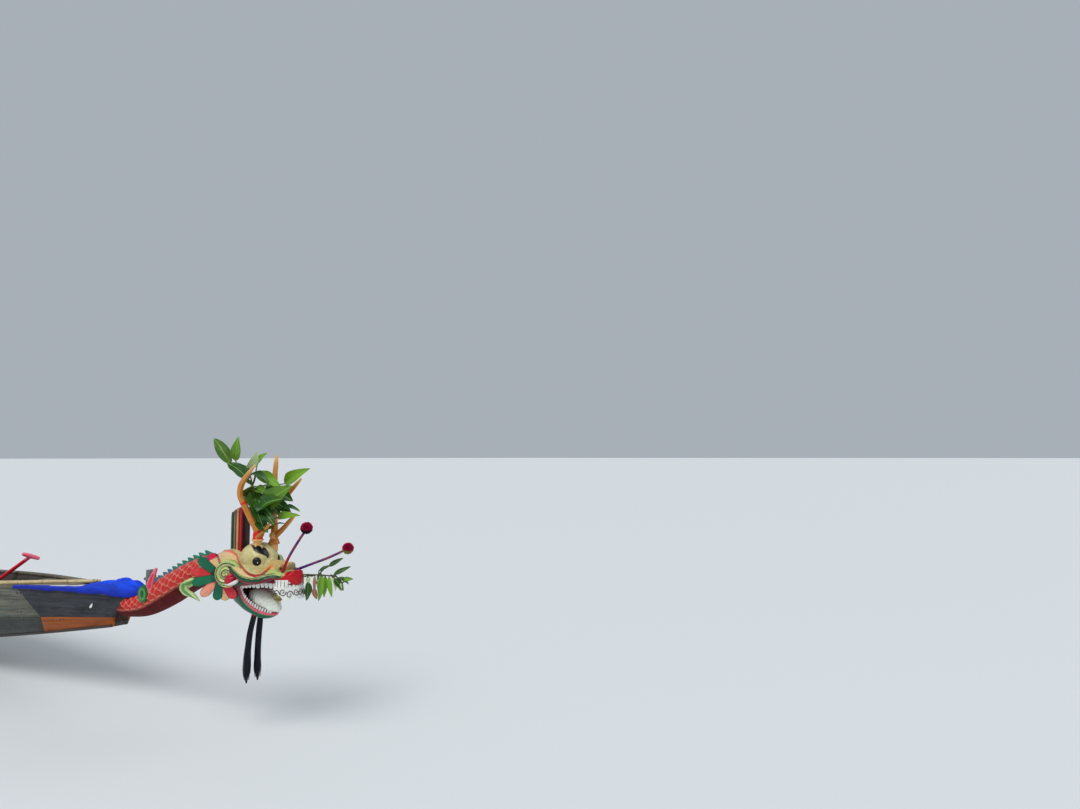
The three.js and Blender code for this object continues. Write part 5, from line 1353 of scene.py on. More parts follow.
def toothRow(title, rows, count, size, downward, nodes=()):
    places, outs, runs = [], [], []
    for way in (-1, 1):
        line = smoothRows([(x, way * y, z) for x, y, z in rows], 200)
        line = headRows(line) if downward else jawPoint(line[:, 0], line[:, 1], line[:, 2])
        tangents = np.gradient(line, axis=0)
        for share in (np.arange(count) + 0.5) / count:
            index = int(share * 199)
            places.append(line[index])
            up = (0.02, -way * 0.06, -1) if downward else jawPoint(np.array(0.0), np.array(0.0),
                np.array(1000.0)) - jawPoint(np.array(0.0), np.array(0.0), np.array(0.0))
            outs.append(up)
            runs.append(tangents[index])
    laidTeeth = layOut(title, toothUnit(), toothPaint, places, outs, runs, size, seed=7, unevenness=0.07)
    return makePiece(title, laidTeeth, [toothPaint], nodes, sharp=45)


toothRow("upperTeeth", teeth["upper"], teeth["upperCount"], teeth["upperSize"], True)
toothRow("lowerTeeth", teeth["lower"], teeth["lowerCount"], teeth["lowerSize"], False, ["lower_teeth"])

# the crimson gum over the upper teeth, and fangs curling up at the corners of the mouth
gumPaint = paintMaterial("gumPaint", 0.25, 0.5, wear=0.3)
shape = Shape()
for way in (-1, 1):
    shape.add(*tube(headRows([(x, y, z + 6, 13) for x, y, z in teeth["upper"]], way), 14, 60)[:2], paint=head["gum"])
makePiece("upperGum", shape, [gumPaint], sharp=60)
shape = Shape()
for way in (-1, 1):
    shape.add(*tube(headRows([(1399, 222, 997, 4), (1429, 218, 1002, 9), (1456, 206, 1011, 12), (1469, 192, 1024, 10),
        (1470, 182, 1038, 3)], way), 16, 40)[:2], paint=teeth["white"])
makePiece("cornerFangs", shape, [toothPaint], sharp=60)

# white cloud curls hang round the tip of the snout
curls = {"side": 86, "from": 1690, "top": 1034, "low": 908, "line": tint(84, 82, 70),
    # across, height, size and turn of each scroll; the strokes above them are spaced evenly
    "scrolls": [(0.09, 948, 27, 1), (0.21, 962, 25, -1), (0.33, 944, 25, 1), (0.45, 958, 24, -1)], "strokes": 15}
shape = Shape()
sweep = np.radians(np.linspace(-90, 90, 25))
outlineRun = np.concatenate([[(curls["from"], -curls["side"])], [(1704, -curls["side"])],
    np.column_stack([1712 + 78 * np.cos(sweep), curls["side"] * np.sin(sweep)]), [(1704, curls["side"])],
    [(curls["from"], curls["side"])]])
outlineRun = smoothRows(np.column_stack([outlineRun, np.zeros(len(outlineRun))]), 90)[:, :2]
tangents = np.gradient(outlineRun, axis=0)
tangents /= np.linalg.norm(tangents, axis=1)[:, None]
squareOff = np.column_stack([tangents[:, 1], -tangents[:, 0]])
rings, colours = [], []
for index, ((px, py), (nx, ny)) in enumerate(zip(outlineRun, squareOff)):
    u = index / 89
    low = curls["low"] + 10 * abs(math.sin(9 * math.pi * u)) + 62 * (1 - min(1, min(u, 1 - u) * 4.2))
    heights = np.linspace(curls["top"], low, 18)
    flare = 10 * ((curls["top"] - heights) / 120) ** 2
    outside = np.column_stack([px + nx * (10 + flare), py + ny * (10 + flare), heights])
    insideFace = np.column_stack([px - nx * (8 - flare), py - ny * (8 - flare), heights])[::-1]
    rings.append(np.concatenate([outside, insideFace]))
shape.add(headRows(np.concatenate(rings)), skinFaces(90, 36), paint=teeth["white"])
for way in (-1, 1):
    for cx, cz, size, spin in curls["scrolls"]:
        turns = np.linspace(0, 2.7 * math.pi, 30)
        places = []
        for angle in turns:
            radius = size * (1 - angle / turns[-1] * 0.82)
            u = cx + radius * math.cos(spin * angle) / 420
            u = u if way < 0 else 1 - u
            spot, off = (np.array([np.interp(u * 89, np.arange(90), rows[:, axis]) for axis in (0, 1)])
                for rows in (outlineRun, squareOff))
            height = cz + radius * math.sin(spin * angle)
            out = 11.5 + 10 * ((curls["top"] - height) / 120) ** 2
            places.append((spot[0] + off[0] * out, spot[1] + off[1] * out, height, 3.0 - 1.4 * angle / turns[-1]))
        shape.add(*tube(headRows(places), 8, 50)[:2], paint=curls["line"])
for u in np.linspace(0.04, 0.96, curls["strokes"]):
    spot, off = (np.array([np.interp(u * 89, np.arange(90), rows[:, axis]) for axis in (0, 1)])
        for rows in (outlineRun, squareOff))
    heights = np.linspace(curls["top"] - 8, 992, 6)
    places = [(*(spot + off * (10.5 + 10 * ((curls["top"] - height) / 120) ** 2)), height, 1.8) for height in heights]
    shape.add(*tube(headRows(places), 6, 10)[:2], paint=curls["line"])
makePiece("lipCurls", shape, [toothPaint], ["upper_teeth"], sharp=50)

# tongue with a middle groove and fine ridges, and the pearl on it
tonguePaint = paintMaterial("tonguePaint", 0.34, 0.3, wear=0.25)
tongue = {
    "rows": [(1384, 0, 882, 36), (1412, 0, 896, 50), (1450, 0, 896, 60), (1495, 0, 886, 67), (1560, 0, 868, 56),
        (1600, 0, 846, 42), (1622, 0, 838, 26)],
    "pale": tint(240, 244, 228), "shade": tint(186, 204, 180)}
points, faces, grain = tube(headRows(tongue["rows"]), 48, 90, widen=1.1)
angle = np.arctan2(grain[:, 2], grain[:, 1])
groove = np.exp(-((angle - math.pi / 2) / 0.16) ** 2)
ridges = np.sin(grain[:, 0] * 260 + 2.2 * np.sin(angle * 5))
centreLine = smoothRows(headRows(tongue["rows"]), 90)[:, :3]
middle = np.column_stack([np.interp(points[:, 0], centreLine[:, 0], centreLine[:, axis]) for axis in range(3)])
spread = points - middle
spread /= np.linalg.norm(spread, axis=1)[:, None] + 1e-9
points = points - spread * (0.009 * groove + 0.0009 * ridges)[:, None]
# the middle groove and the valleys between the ridges are painted greyer: painted shade
colour = lay(repeated(tongue["pale"], points), np.clip(groove * 0.7 + 0.25 * (ridges < -0.4), 0, 1), tongue["shade"])
makePiece("tongue", Shape().add(points, faces, paint=colour, grain=grain), [tonguePaint], ["tongue"],
    sharp=70)
pearlPaint = paintMaterial("pearlPaint", 0.2, 0.7, wear=0.2)
points, faces = ball(headRows([(1628, 0, 910)])[0], 0.032, 40, 24)
height = (points[:, 2] - 0.910) / 0.032
# the pearl is painted lighter in a band above its middle and darker below: painted highlight and painted shade
colour = lay(repeated(tint(150, 134, 62), points), np.exp(-((height - 0.2) / 0.16) ** 2), tint(196, 182, 110))
colour = lay(colour, np.exp(-((height + 0.45) / 0.12) ** 2), tint(92, 74, 30))
makePiece("pearl", Shape().add(points, faces, paint=colour), [pearlPaint], ["pearl"], sharp=70)
print("mouth filled")


# the ruff: painted petals round a scrolled disc on each cheek
ruffPaint = paintMaterial("ruffPaint", 0.28, 0.45, wear=0.45)
ruff = {
    "centre": (1326, 196, 1044), "flare": 30, "disc": (1384, 200, 1060), "discRadius": 0.086, "discTurn": 25,
    "turns": 1.7,
    # angle, reach, then the colours of the petal from its root to its tip
    "petals": [
        (64, 158, [tint(236, 150, 120), tint(229, 186, 132), tint(206, 24, 70)]),
        (38, 182, [tint(20, 40, 36), tint(4, 96, 66), tint(4, 102, 70)]),
        (10, 192, [tint(24, 26, 28), tint(210, 40, 46), tint(214, 60, 60)]),
        (-14, 186, [tint(8, 76, 50), tint(2, 104, 68), tint(4, 108, 74)]),
        (-46, 176, [tint(222, 60, 74), tint(226, 140, 112), tint(222, 150, 120)]),
        (-82, 152, [tint(4, 84, 58), tint(4, 92, 64), tint(4, 100, 70)]),
        (-103, 158, [tint(206, 158, 116), tint(206, 158, 112), tint(212, 168, 124)]),
        (-124, 168, [tint(190, 30, 48), tint(206, 34, 52), tint(212, 52, 64)]),
    ],
    "scroll": [tint(20, 92, 60), tint(190, 204, 120), tint(40, 112, 70), tint(208, 200, 136)],
}


def petalGrid(reach, rootHalf, tipHalf, thickness, colours, rows=16, columns=9):
    # a petal lying along +x: a keel down its middle, rounded tip, bands of paint along it
    points, paint = [], []
    for layer in (1, -1):
        for u in np.linspace(0, 1, rows):
            half = rootHalf + (tipHalf - rootHalf) * min(1, u / 0.72)
            if u > 0.72:
                half = tipHalf * math.sqrt(max(0.0, 1 - ((u - 0.72) / 0.285) ** 2))
            for v in np.linspace(-1, 1, columns):
                dish = 0.30 * abs(v) ** 2 * thickness * layer
                points.append((u * reach, v * half, layer * thickness / 2 * (1 - 0.35 * u)
                    + (0.35 * thickness * (1 - abs(v)) if layer > 0 else 0) + (dish if layer > 0 else 0)))
                place = u * (len(colours) - 1)
                low = min(int(place), len(colours) - 2)
                share = float(np.clip((place - low - 0.35) / 0.12, 0, 1))
                paint.append(between(colours[low], colours[low + 1], share) * (0.55 if abs(v) > 0.93 else 1.0))
    return np.array(points), closedGrid(rows, columns), np.array(paint)


def scrollDisc(radius, turns, colours, around=80, rows=44):
    # a dished disc with a spiral ridge, facing +z
    points, paint = [], []
    for share in np.linspace(0.02, 1, rows):
        for angle in np.linspace(0, 2 * math.pi, around, endpoint=False):
            phase = share * turns * 1.25 + angle / (2 * math.pi)
            ridge = math.cos(2 * math.pi * phase)
            edge = max(0.0, (share - 0.9) / 0.1)
            points.append((radius * share * math.cos(angle), radius * share * math.sin(angle),
                0.015 + 0.006 * ridge + 0.016 * (1 - share * share) - 0.022 * edge ** 2))
            tone = phase % 1
            # the rim's colour in the grooves, then the three colours of a ridge
            groove = tone < 0.10 or tone > 0.90
            paint.append(colours[0 if groove else 1 if tone < 0.44 else 2 if tone < 0.56 else 3])
    rim = [(radius * math.cos(a), radius * math.sin(a), -0.03)
        for a in np.linspace(0, 2 * math.pi, around, endpoint=False)]
    points += rim
    paint += [colours[0]] * around
    faces = skinFaces(rows + 1, around)
    return np.array(points), faces, np.array(paint)


for way, name in ((-1, "Starboard"), (1, "Port")):
    shape = Shape()
    centre = headRows([ruff["centre"]], way)[0]
    flare = Matrix.Rotation(-way * math.radians(ruff["flare"]), 4, "Z")
    for number, (angle, reach, colours) in enumerate(ruff["petals"]):
        points, faces, paint = petalGrid(reach / 1000 - 0.03, 0.022, 0.030, 0.024, colours)
        points[:, 0] += 0.03
        # lay the petal in the upright plane, its keel outwards, turned to its angle
        lying = np.column_stack([-points[:, 0], way * points[:, 2], points[:, 1]])
        spin = Matrix.Rotation(math.radians(angle), 4, "Y")
        lying = placed(lying, spin)
        lying[:, 1] += way * 0.004 * (number % 2)
        shape.add(placed(lying, Matrix.Translation(centre) @ flare), faces, paint=paint,
            grain=points + [0.3 * number, 0, 0])
    points, faces, paint = scrollDisc(ruff["discRadius"], ruff["turns"], ruff["scroll"])
    upright = np.column_stack([points[:, 0], way * points[:, 2], points[:, 1]])
    face = Matrix.Rotation(-way * math.radians(ruff["discTurn"]), 4, "Z")
    shape.add(placed(upright, Matrix.Translation(headRows([ruff["disc"]], way)[0]) @ face), faces, paint=paint)
    # crimson flames curl forward from the disc to the corner of the mouth
    for rows in (
            [(1397, 230, 1022, 5), (1424, 230, 1046, 12), (1441, 216, 1061, 10), (1451, 196, 1064, 2)],
            [(1399, 228, 1014, 5), (1435, 226, 1032, 12), (1450, 208, 1044, 10), (1458, 190, 1053, 2)],
            [(1411, 226, 1006, 5), (1434, 220, 1019, 11), (1447, 204, 1028, 8), (1456, 192, 1035, 2)]):
        points, faces, grain = tube(headRows(rows, way), 14, 30, widen=0.6)
        shape.add(points, faces, paint=tint(196, 18, 52), grain=grain)
    makePiece("ruff" + name, shape, [ruffPaint], ["ruff_" + name.lower()], sharp=42)

# antlers of turned wood, ringed with red at their roots and forks
antlerPaint = paintMaterial("antlerPaint", 0.34, 0.35, (0.30, 0.16, 0.07), wear=0.5)
antlers = {
    "starboard": [
        [(1460, -36, 1216, 27), (1469, -40, 1313, 26), (1442, -80, 1406, 21), (1409, -110, 1499, 19),
            (1401, -130, 1551, 18), (1414, -140, 1603, 18), (1451, -146, 1655, 17), (1498, -146, 1701, 13),
            (1548, -142, 1748, 5)],
        [(1462, -52, 1272, 16), (1524, -52, 1314, 12), (1578, -53, 1362, 9), (1608, -54, 1410, 4)]],
    "port": [
        [(1500, 66, 1190, 26), (1482, 82, 1330, 22), (1440, 112, 1450, 19), (1410, 138, 1590, 19),
            (1405, 146, 1700, 17), (1408, 149, 1770, 14), (1410, 150, 1806, 7)],
        [(1490, 76, 1270, 18), (1560, 82, 1330, 16), (1640, 95, 1406, 10), (1656, 97, 1420, 6)],
        [(1430, 118, 1480, 15), (1520, 140, 1540, 14), (1620, 149, 1632, 11), (1646, 151, 1656, 6)]],
    "orange": tint(208, 132, 54), "tip": tint(226, 172, 100), "red": tint(214, 30, 8),
    "collar": {"starboard": 64, "port": 62},
}
for name in ("starboard", "port"):
    shape = Shape()
    for number, rows in enumerate(antlers[name]):
        points, faces, grain = tube(headRows(rows), 24, 110)
        share = grain[:, 0] / grain[:, 0].max()
        # shallow spiral flutes along the horn
        turnAt = np.arctan2(grain[:, 2], grain[:, 1])
        flute = 0.0012 * np.cos(5 * turnAt + 9 * share) * np.clip((1 - share) * 3, 0, 1)
        points = swellOut(points, headRows(rows), 110, share, flute)
        # the horn is painted lighter on the flutes' ridges and darker in their hollows: painted light and shade
        colour = repeated(antlers["orange"], points) * (0.9 + 0.14 * np.cos(5 * turnAt + 9 * share))[:, None]
        colour = lay(colour, np.clip((share - 0.72) * 4, 0, 1), antlers["tip"])
        if number == 0:
            colour = lay(colour, soft((0.18 if name == "starboard" else 0.12) - share, 0.01), antlers["red"]
                if name == "starboard" else antlers["tip"])
            colour = lay(colour, soft(0.08 - share, 0.01), antlers["tip"])
            colour = lay(colour, soft(0.012 - np.abs(share - 0.50), 0.008), antlers["red"])
        shape.add(points, faces, paint=colour, grain=grain)
        if number == 0:
            line = headRows(rows[:2])[:, :3]
            base = line[0] + (line[1] - line[0]) / np.linalg.norm(line[1] - line[0]) * antlers["collar"][name] / 1000
            ringRows = [(0.0, -0.022), (0.036, -0.022), (0.038, -0.014), (0.032, -0.006), (0.030, 0.006),
                (0.026, 0.012), (0.0, 0.014)]
            points, faces = lathe(ringRows, 24, base)
            shape.add(points, faces, paint=np.where((points[:, 2] < base[2] - 0.010)[:, None], antlers["tip"],
                antlers["red"]) if name == "starboard" else antlers["orange"])
            # a flame collar round the near root, a tan knob on the far one
            if name == "port":
                points, faces = ball(base + np.array([0, -0.012, 0.034]), 0.023, 24, 16)
                shape.add(points, faces, paint=antlers["tip"])
            for petal in range(7 if name == "starboard" else 0):
                angle = 2 * math.pi * petal / 7
                foot = base + np.array([0.024 * math.cos(angle), 0.024 * math.sin(angle), 0.004])
                tipAt = base + np.array([0.027 * math.cos(angle), 0.027 * math.sin(angle), 0.036])
                points, faces, grain = tube([(*foot, 0.010), (*((foot + tipAt) / 2 + [0, 0, 0.002]), 0.009),
                    (*tipAt, 0.0015)], 8, 12, widen=0.6)
                shape.add(points, faces, paint=antlers["red"], grain=grain)
    makePiece("antler" + name.capitalize(), shape, [antlerPaint], ["antler_" + name], sharp=60)

# four painted boards side by side behind the antlers, with carved flame tops
manePaint = paintMaterial("manePaint", 0.3, 0.4, wear=0.55)
mane = {
    "boards": [
        (1204, 26, 1440, tint(18, 84, 48)), (1233, 28, 1456, tint(118, 98, 84)),
        (1262, 30, 1468, tint(206, 136, 84)), (1294, 30, 1474, tint(176, 14, 30))],
    "thickness": 30, "foot": 1150, "face": tint(52, 12, 14),
}
shape = Shape()
for number, (x, half, top, colour) in enumerate(mane["boards"]):
    outline = [(-half, mane["foot"]), (half, mane["foot"]), (half, top - 34), (half * 0.86, top - 6),
        (half * 0.55, top - 20), (half * 0.30, top), (0, top - 14), (-half * 0.30, top), (-half * 0.55, top - 20),
        (-half * 0.86, top - 6), (-half, top - 34)]
    points, faces = plate([(y / 1000, z / 1000) for y, z in outline], mane["thickness"] / 1000, rootX + x / 1000,
        axis=0)
    # the boards' front faces are dark red, painted near black as shade
    front = rootX + (x + mane["thickness"] / 2 - 1) / 1000
    shape.add(points, faces, paint=np.where((points[:, 0] > front)[:, None], mane["face"], colour),
        grain=points[:, [2, 1, 0]], tone=number / 4)
    for way in (-1, 1):
        rows = [(x, way * half * 0.985, mane["foot"] + 20, 6), (x, way * (half + 1.0), (mane["foot"] + top) / 2, 8),
            (x, way * half * 0.985, top - 42, 4)]
        points, faces, grain = tube(headRows(rows), 10, 24, widen=1.0)
        shape.add(points, faces, paint=np.array(colour) * 1.15, grain=grain)
makePiece("maneBoards", shape, [manePaint], ["mane_boards"], bevel=0.003)

# the leaf, the claw and the post on the neck
leafPaint = paintMaterial("leafPaint", 0.3, 0.4, wear=0.4)
shape = Shape()
lobe = softened([(352, 778), (392, 772), (424, 792), (436, 836), (420, 884), (384, 900), (346, 880), (326, 840)])
for grow, thickness, colour in ((1.0, 0.024, tint(28, 96, 40)), (0.74, 0.030, tint(70, 150, 62)),
        (0.42, 0.036, tint(24, 84, 36))):
    middle = lobe.mean(axis=0)
    outline = (middle + (lobe - middle) * grow) / 1000 + [rootX, 0]
    points, faces = plate(outline, thickness, -0.104)
    shape.add(points, faces, paint=colour)
spike = softened([(400, 860), (440, 840), (470, 860), (478, 930), (520, 1020), (500, 1026), (452, 968), (420, 930)], 1)
for grow, thickness, colour in ((1.0, 0.016, tint(226, 110, 130)), (0.6, 0.022, tint(206, 40, 66))):
    middle = spike.mean(axis=0)
    points, faces = plate((middle + (spike - middle) * grow) / 1000 + [rootX, 0], thickness, -0.098)
    shape.add(points, faces, paint=colour)
makePiece("neckLeaf", shape, [leafPaint], ["neck_leaf"], bevel=0.003)

clawPaint = paintMaterial("clawPaint", 0.3, 0.45, wear=0.35)
claw = {"rows": [(900, -96, 962, 26), (870, -132, 930, 30), (920, -160, 905, 28), (1010, -170, 890, 20),
    (1080, -172, 862, 5)], "pale": tint(186, 210, 140), "shade": tint(84, 138, 70)}
points, faces, grain = tube(headRows(claw["rows"]), 28, 70, widen=0.8)
angle = np.arctan2(grain[:, 2], grain[:, 1])
colour = lay(repeated(claw["pale"], points), soft(np.cos(angle * 2 + grain[:, 0] * 18) - 0.55, 0.3), claw["shade"])
makePiece("neckClaw", Shape().add(points, faces, paint=colour, grain=grain), [clawPaint], ["neck_claw"],
    sharp=70)

postWood = woodMaterial("postWood", (0.33, 0.34, 0.33), (0.13, 0.135, 0.13), (0.06, 0.06, 0.055), 0.66)
points, faces = slab((rootX + 0.236, 0.004, 0.805), (rootX + 0.288, 0.056, 0.9795))
shape = Shape().add(points, faces, grain=points[:, [2, 1, 0]], tone=0.4)
points, faces = slab((rootX + 0.226, -0.006, 0.905), (rootX + 0.298, 0.066, 0.925))
shape.add(points, faces, grain=points[:, [1, 0, 2]], tone=0.7)
makePiece("neckPost", shape, [postWood], ["neck_post"], bevel=0.005, rounds=3)
print("ruffs, antlers and mane set")

# wire whiskers wound with yarn, each with a two-coloured pompom
yarn = paintMaterial("whiskerYarn", 0.85, 0.0, wear=0.0, strokes=1.4)
whiskers = {
    "Starboard": {"rows": [(1716, -50, 1080, 9), (1800, -84, 1172, 8), (1900, -112, 1268, 8), (2002, -132, 1364, 7)],
        "pompom": (2006, -134, 1372), "foot": tint(170, 34, 36)},
    "Port": {"rows": [(1720, 50, 1078, 9), (1820, 88, 1118, 8), (1930, 130, 1162, 8), (2042, 170, 1216, 7)],
        "pompom": (2050, 174, 1222), "foot": tint(84, 42, 112)},
}
wrap = {"purple": tint(92, 54, 104), "rose": tint(134, 62, 84), "crimson": tint(168, 14, 70),
    "dark": tint(24, 18, 34), "olive": tint(150, 136, 80), "radius": 36, "bristles": 900}


def fibonacci(count):
    index = np.arange(count) + 0.5
    up = 1 - 2 * index / count
    turnOf = math.pi * (1 + 5 ** 0.5) * index
    return np.column_stack([np.sqrt(1 - up * up) * np.cos(turnOf), np.sqrt(1 - up * up) * np.sin(turnOf), up])


for name, plan in whiskers.items():
    rows = headRows(plan["rows"])
    points, faces, grain = tube(rows, 12, 240)
    angle = np.arctan2(grain[:, 2], grain[:, 1])
    share = np.clip(grain[:, 0] / grain[:, 0].max(), 0, 1)
    points = swellOut(points, rows, 240, share, 0.0009 * np.sin(angle + grain[:, 0] * 900))
    colour = lay(repeated(wrap["purple"], points), 0.5 + 0.5 * np.sin(grain[:, 0] * 60), wrap["rose"])
    colour = lay(colour, soft(0.34 - share, 0.2), plan["foot"])
    colour = lay(colour, soft(share - 0.93, 0.05), wrap["dark"])
    core, coreFaces = ball(headRows([plan["pompom"]])[0], 0.024, 20, 12)
    shape = Shape().add(points, faces, paint=colour, grain=grain).add(core, coreFaces, paint=wrap["dark"])
    makePiece("whisker" + name, shape, [yarn], ["whisker_" + name.lower()], sharp=70)
    directions = fibonacci(wrap["bristles"])
    tilt = directions @ np.array([0.35, -0.3, 0.9])
    tones = np.where((tilt > 0.0)[:, None], wrap["crimson"], wrap["dark"] if name == "Starboard" else wrap["olive"])
    bristle = Shape().add(*lathe([(0.0, 0.0), (0.075, 0.0), (0.085, 0.55), (0.05, 0.92), (0.0, 1.0)], 5))
    tufts = layOut("pompom" + name, bristle.mesh("bristle"), yarn, headRows([plan["pompom"]])[0] + directions * 0.018,
        directions, np.cross(directions, (0.3, 0.2, 0.9)) + 1e-3, (0.019, 0.019, 0.019), paint=tones, seed=9,
        unevenness=0.14)
    makePiece("pompom" + name, tufts, [yarn], sharp=50)

# beards of dark fibre, each a lock of separate strands bound at the top
beard = {
    "sides": {"Starboard": -34, "Port": 34}, "strands": 130, "strand": 0.0014, "navy": tint(16, 17, 28),
    "light": tint(44, 46, 62), "bind": tint(150, 20, 30),
    "rows": lambda y: [(1440, y * 0.7, 800, 16), (1418, y, 700, 18), (1400, y * 1.2, 560, 19),
        (1396, y * 1.3, 430, 24), (1398, y * 1.3, 350, 17)],
}
fibre = paintMaterial("beardFibre", 0.5, 0.1, wear=0.0)
chance = np.random.default_rng(21)
for name, y in beard["sides"].items():
    rows = headRows(beard["rows"](y))
    steps = 26
    run = smoothRows(rows, steps)
    line, radius = run[:, :3], run[:, 3]
    runs, sides, ups = sideways(line, (0, 1, 0))
    strands, shades = [], []
    for _ in range(beard["strands"]):
        at, far = chance.uniform(0, 2 * math.pi), math.sqrt(chance.uniform(0.02, 1))
        end = int(steps * chance.uniform(0.84, 1.0))
        wave = 0.10 * np.sin(np.linspace(0, chance.uniform(5, 9), steps) + chance.uniform(0, 6))
        angle = at + np.linspace(0, chance.uniform(-0.7, 0.7), steps)
        place = line + (radius * (far + wave) * np.cos(angle))[:,
            None] * sides + (radius * (far + wave) * np.sin(angle))[:, None] * ups
        thick = np.interp(np.linspace(0, 1, steps), [0, 0.1, 0.8, 1], [0.8, 1, 0.9, 0.25]) * beard["strand"]
        strands.append(np.column_stack([place, thick])[:end])
        shades.append(between(beard["navy"], beard["light"], chance.uniform(0, 1)))
    locks = drawLines("beard" + name, strands, fibre, paint=shades, sides=4)
    makePiece("beard" + name, locks, [fibre], ["beard_" + name.lower()], sharp=70)
    core = tube(np.array([(*row[:3], row[3] * scale) for row, scale in zip(rows, (1.08, 0.84, 0.86, 0.82, 0.3))]), 16,
        40)
    top = tube([(*(rows[0][:3] + [0.002, 0, 0.0]), 0.0185), (*(rows[0][:3] * 0.86 + rows[1][:3] * 0.14), 0.020)], 20, 8)
    shape = Shape().add(core[0], core[1], paint=np.array(beard["navy"]) * 0.7, grain=core[2]).add(top[0], top[1],
        paint=beard["bind"], grain=top[2])
    makePiece("beardCore" + name, shape, [fibre], sharp=70)
print("whiskers and beards hung")


# fresh leaves on twigs: broad, folded on their midribs, with veins in the material
def leafMaterial(title, light, dark, vein):
    material, tree, shader = newMaterial(title, 0.36, **{"Subsurface Weight": 0.08, "Subsurface Scale": 0.01,
        "Coat Weight": 0.12, "Coat Roughness": 0.3, "Specular IOR Level": 0.3})
    place = attributeOf(tree, "grain")
    tone = attributeOf(tree, "tone", "Fac")
    along, across = partOf(tree, place, 0), maths(tree, "ABSOLUTE", partOf(tree, place, 1))
    patch = noiseOf(tree, place, 4.0, 4.0, 0.6)
    colour = blendColours(tree, band(tree, plus(tree, times(tree, tone, 0.8), times(tree, patch, 0.5)), 0.2, 1.1),
        dark, light)
    colour = blendColours(tree, band(tree, across, 0.25, 0.5, 0.0, 0.35), colour, dark)
    slanted = minus(tree, times(tree, along, 11.0), times(tree, across, 9.0))
    ribs = band(tree, maths(tree, "ABSOLUTE", minus(tree, maths(tree, "FRACT", slanted), 0.5)), 0.0, 0.07, 1.0, 0.0)
    middle = band(tree, across, 0.012, 0.03, 1.0, 0.0)
    veins = maths(tree, "MAXIMUM", times(tree, ribs, 0.5), middle)
    colour = blendColours(tree, veins, colour, vein)
    colour = blendColours(tree, band(tree, noiseOf(tree, place, 16.0, 5.0, 0.7), 0.66, 0.75, 0.0, 0.5), colour,
        (0.10, 0.09, 0.02))
    roughness = band(tree, patch, 0.2, 0.8, 0.28, 0.46)
    finishShader(tree, shader, colour, roughness, plus(tree, times(tree, veins, -0.8), patch), 0.5, 0.0012)
    return material


paleLeaf = leafMaterial("paleLeaf", (0.56, 0.70, 0.36), (0.26, 0.44, 0.10), (0.66, 0.76, 0.48))
dryLeaf = leafMaterial("dryLeaf", (0.42, 0.20, 0.12), (0.20, 0.09, 0.03), (0.50, 0.26, 0.20))
freshLeaf = leafMaterial("freshLeaf", (0.17, 0.40, 0.015), (0.004, 0.058, 0.008), (0.22, 0.42, 0.07))
twigBark = woodMaterial("twigBark", (0.16, 0.20, 0.06), (0.07, 0.075, 0.03), (0.04, 0.035, 0.02), 0.7)


def leafBlade(foot, tip, width, facing, curl=0.10, fold=0.35, tone=0.5, rows=14, columns=9):
    # a blade from foot to tip: points on both sides, thin, wavy at its edges
    foot, tip = np.asarray(foot, float), np.asarray(tip, float)
    run = tip - foot
    length = np.linalg.norm(run)
    run /= length
    aside = np.cross(run, facing)
    aside /= np.linalg.norm(aside)
    out = np.cross(aside, run)
    points, grain = [], []
    for layer in (0, 1):
        for u in np.linspace(0, 1, rows):
            half = width / 2 * (math.sin(math.pi * u ** 0.82) ** 0.8) * (1 - 0.25 * u) * 1.12 + 0.0006
            bow = curl * length * (math.sin(math.pi * u) * 0.7 - u * u * 0.5)
            for v in np.linspace(-1, 1, columns):
                wave = 0.035 * width * math.sin(u * 13 + 4 * v) * abs(v)
                height = bow + fold * half * (abs(v) ** 1.3) + wave
                points.append(foot + run * u * length + aside * v * half * (1 - 0.08 * fold) + out
                    * (height - layer * 0.0009))
                grain.append((u * length / 0.2, v * half / width, 3 * tone))
    return np.array(points), closedGrid(rows, columns), np.array(grain)


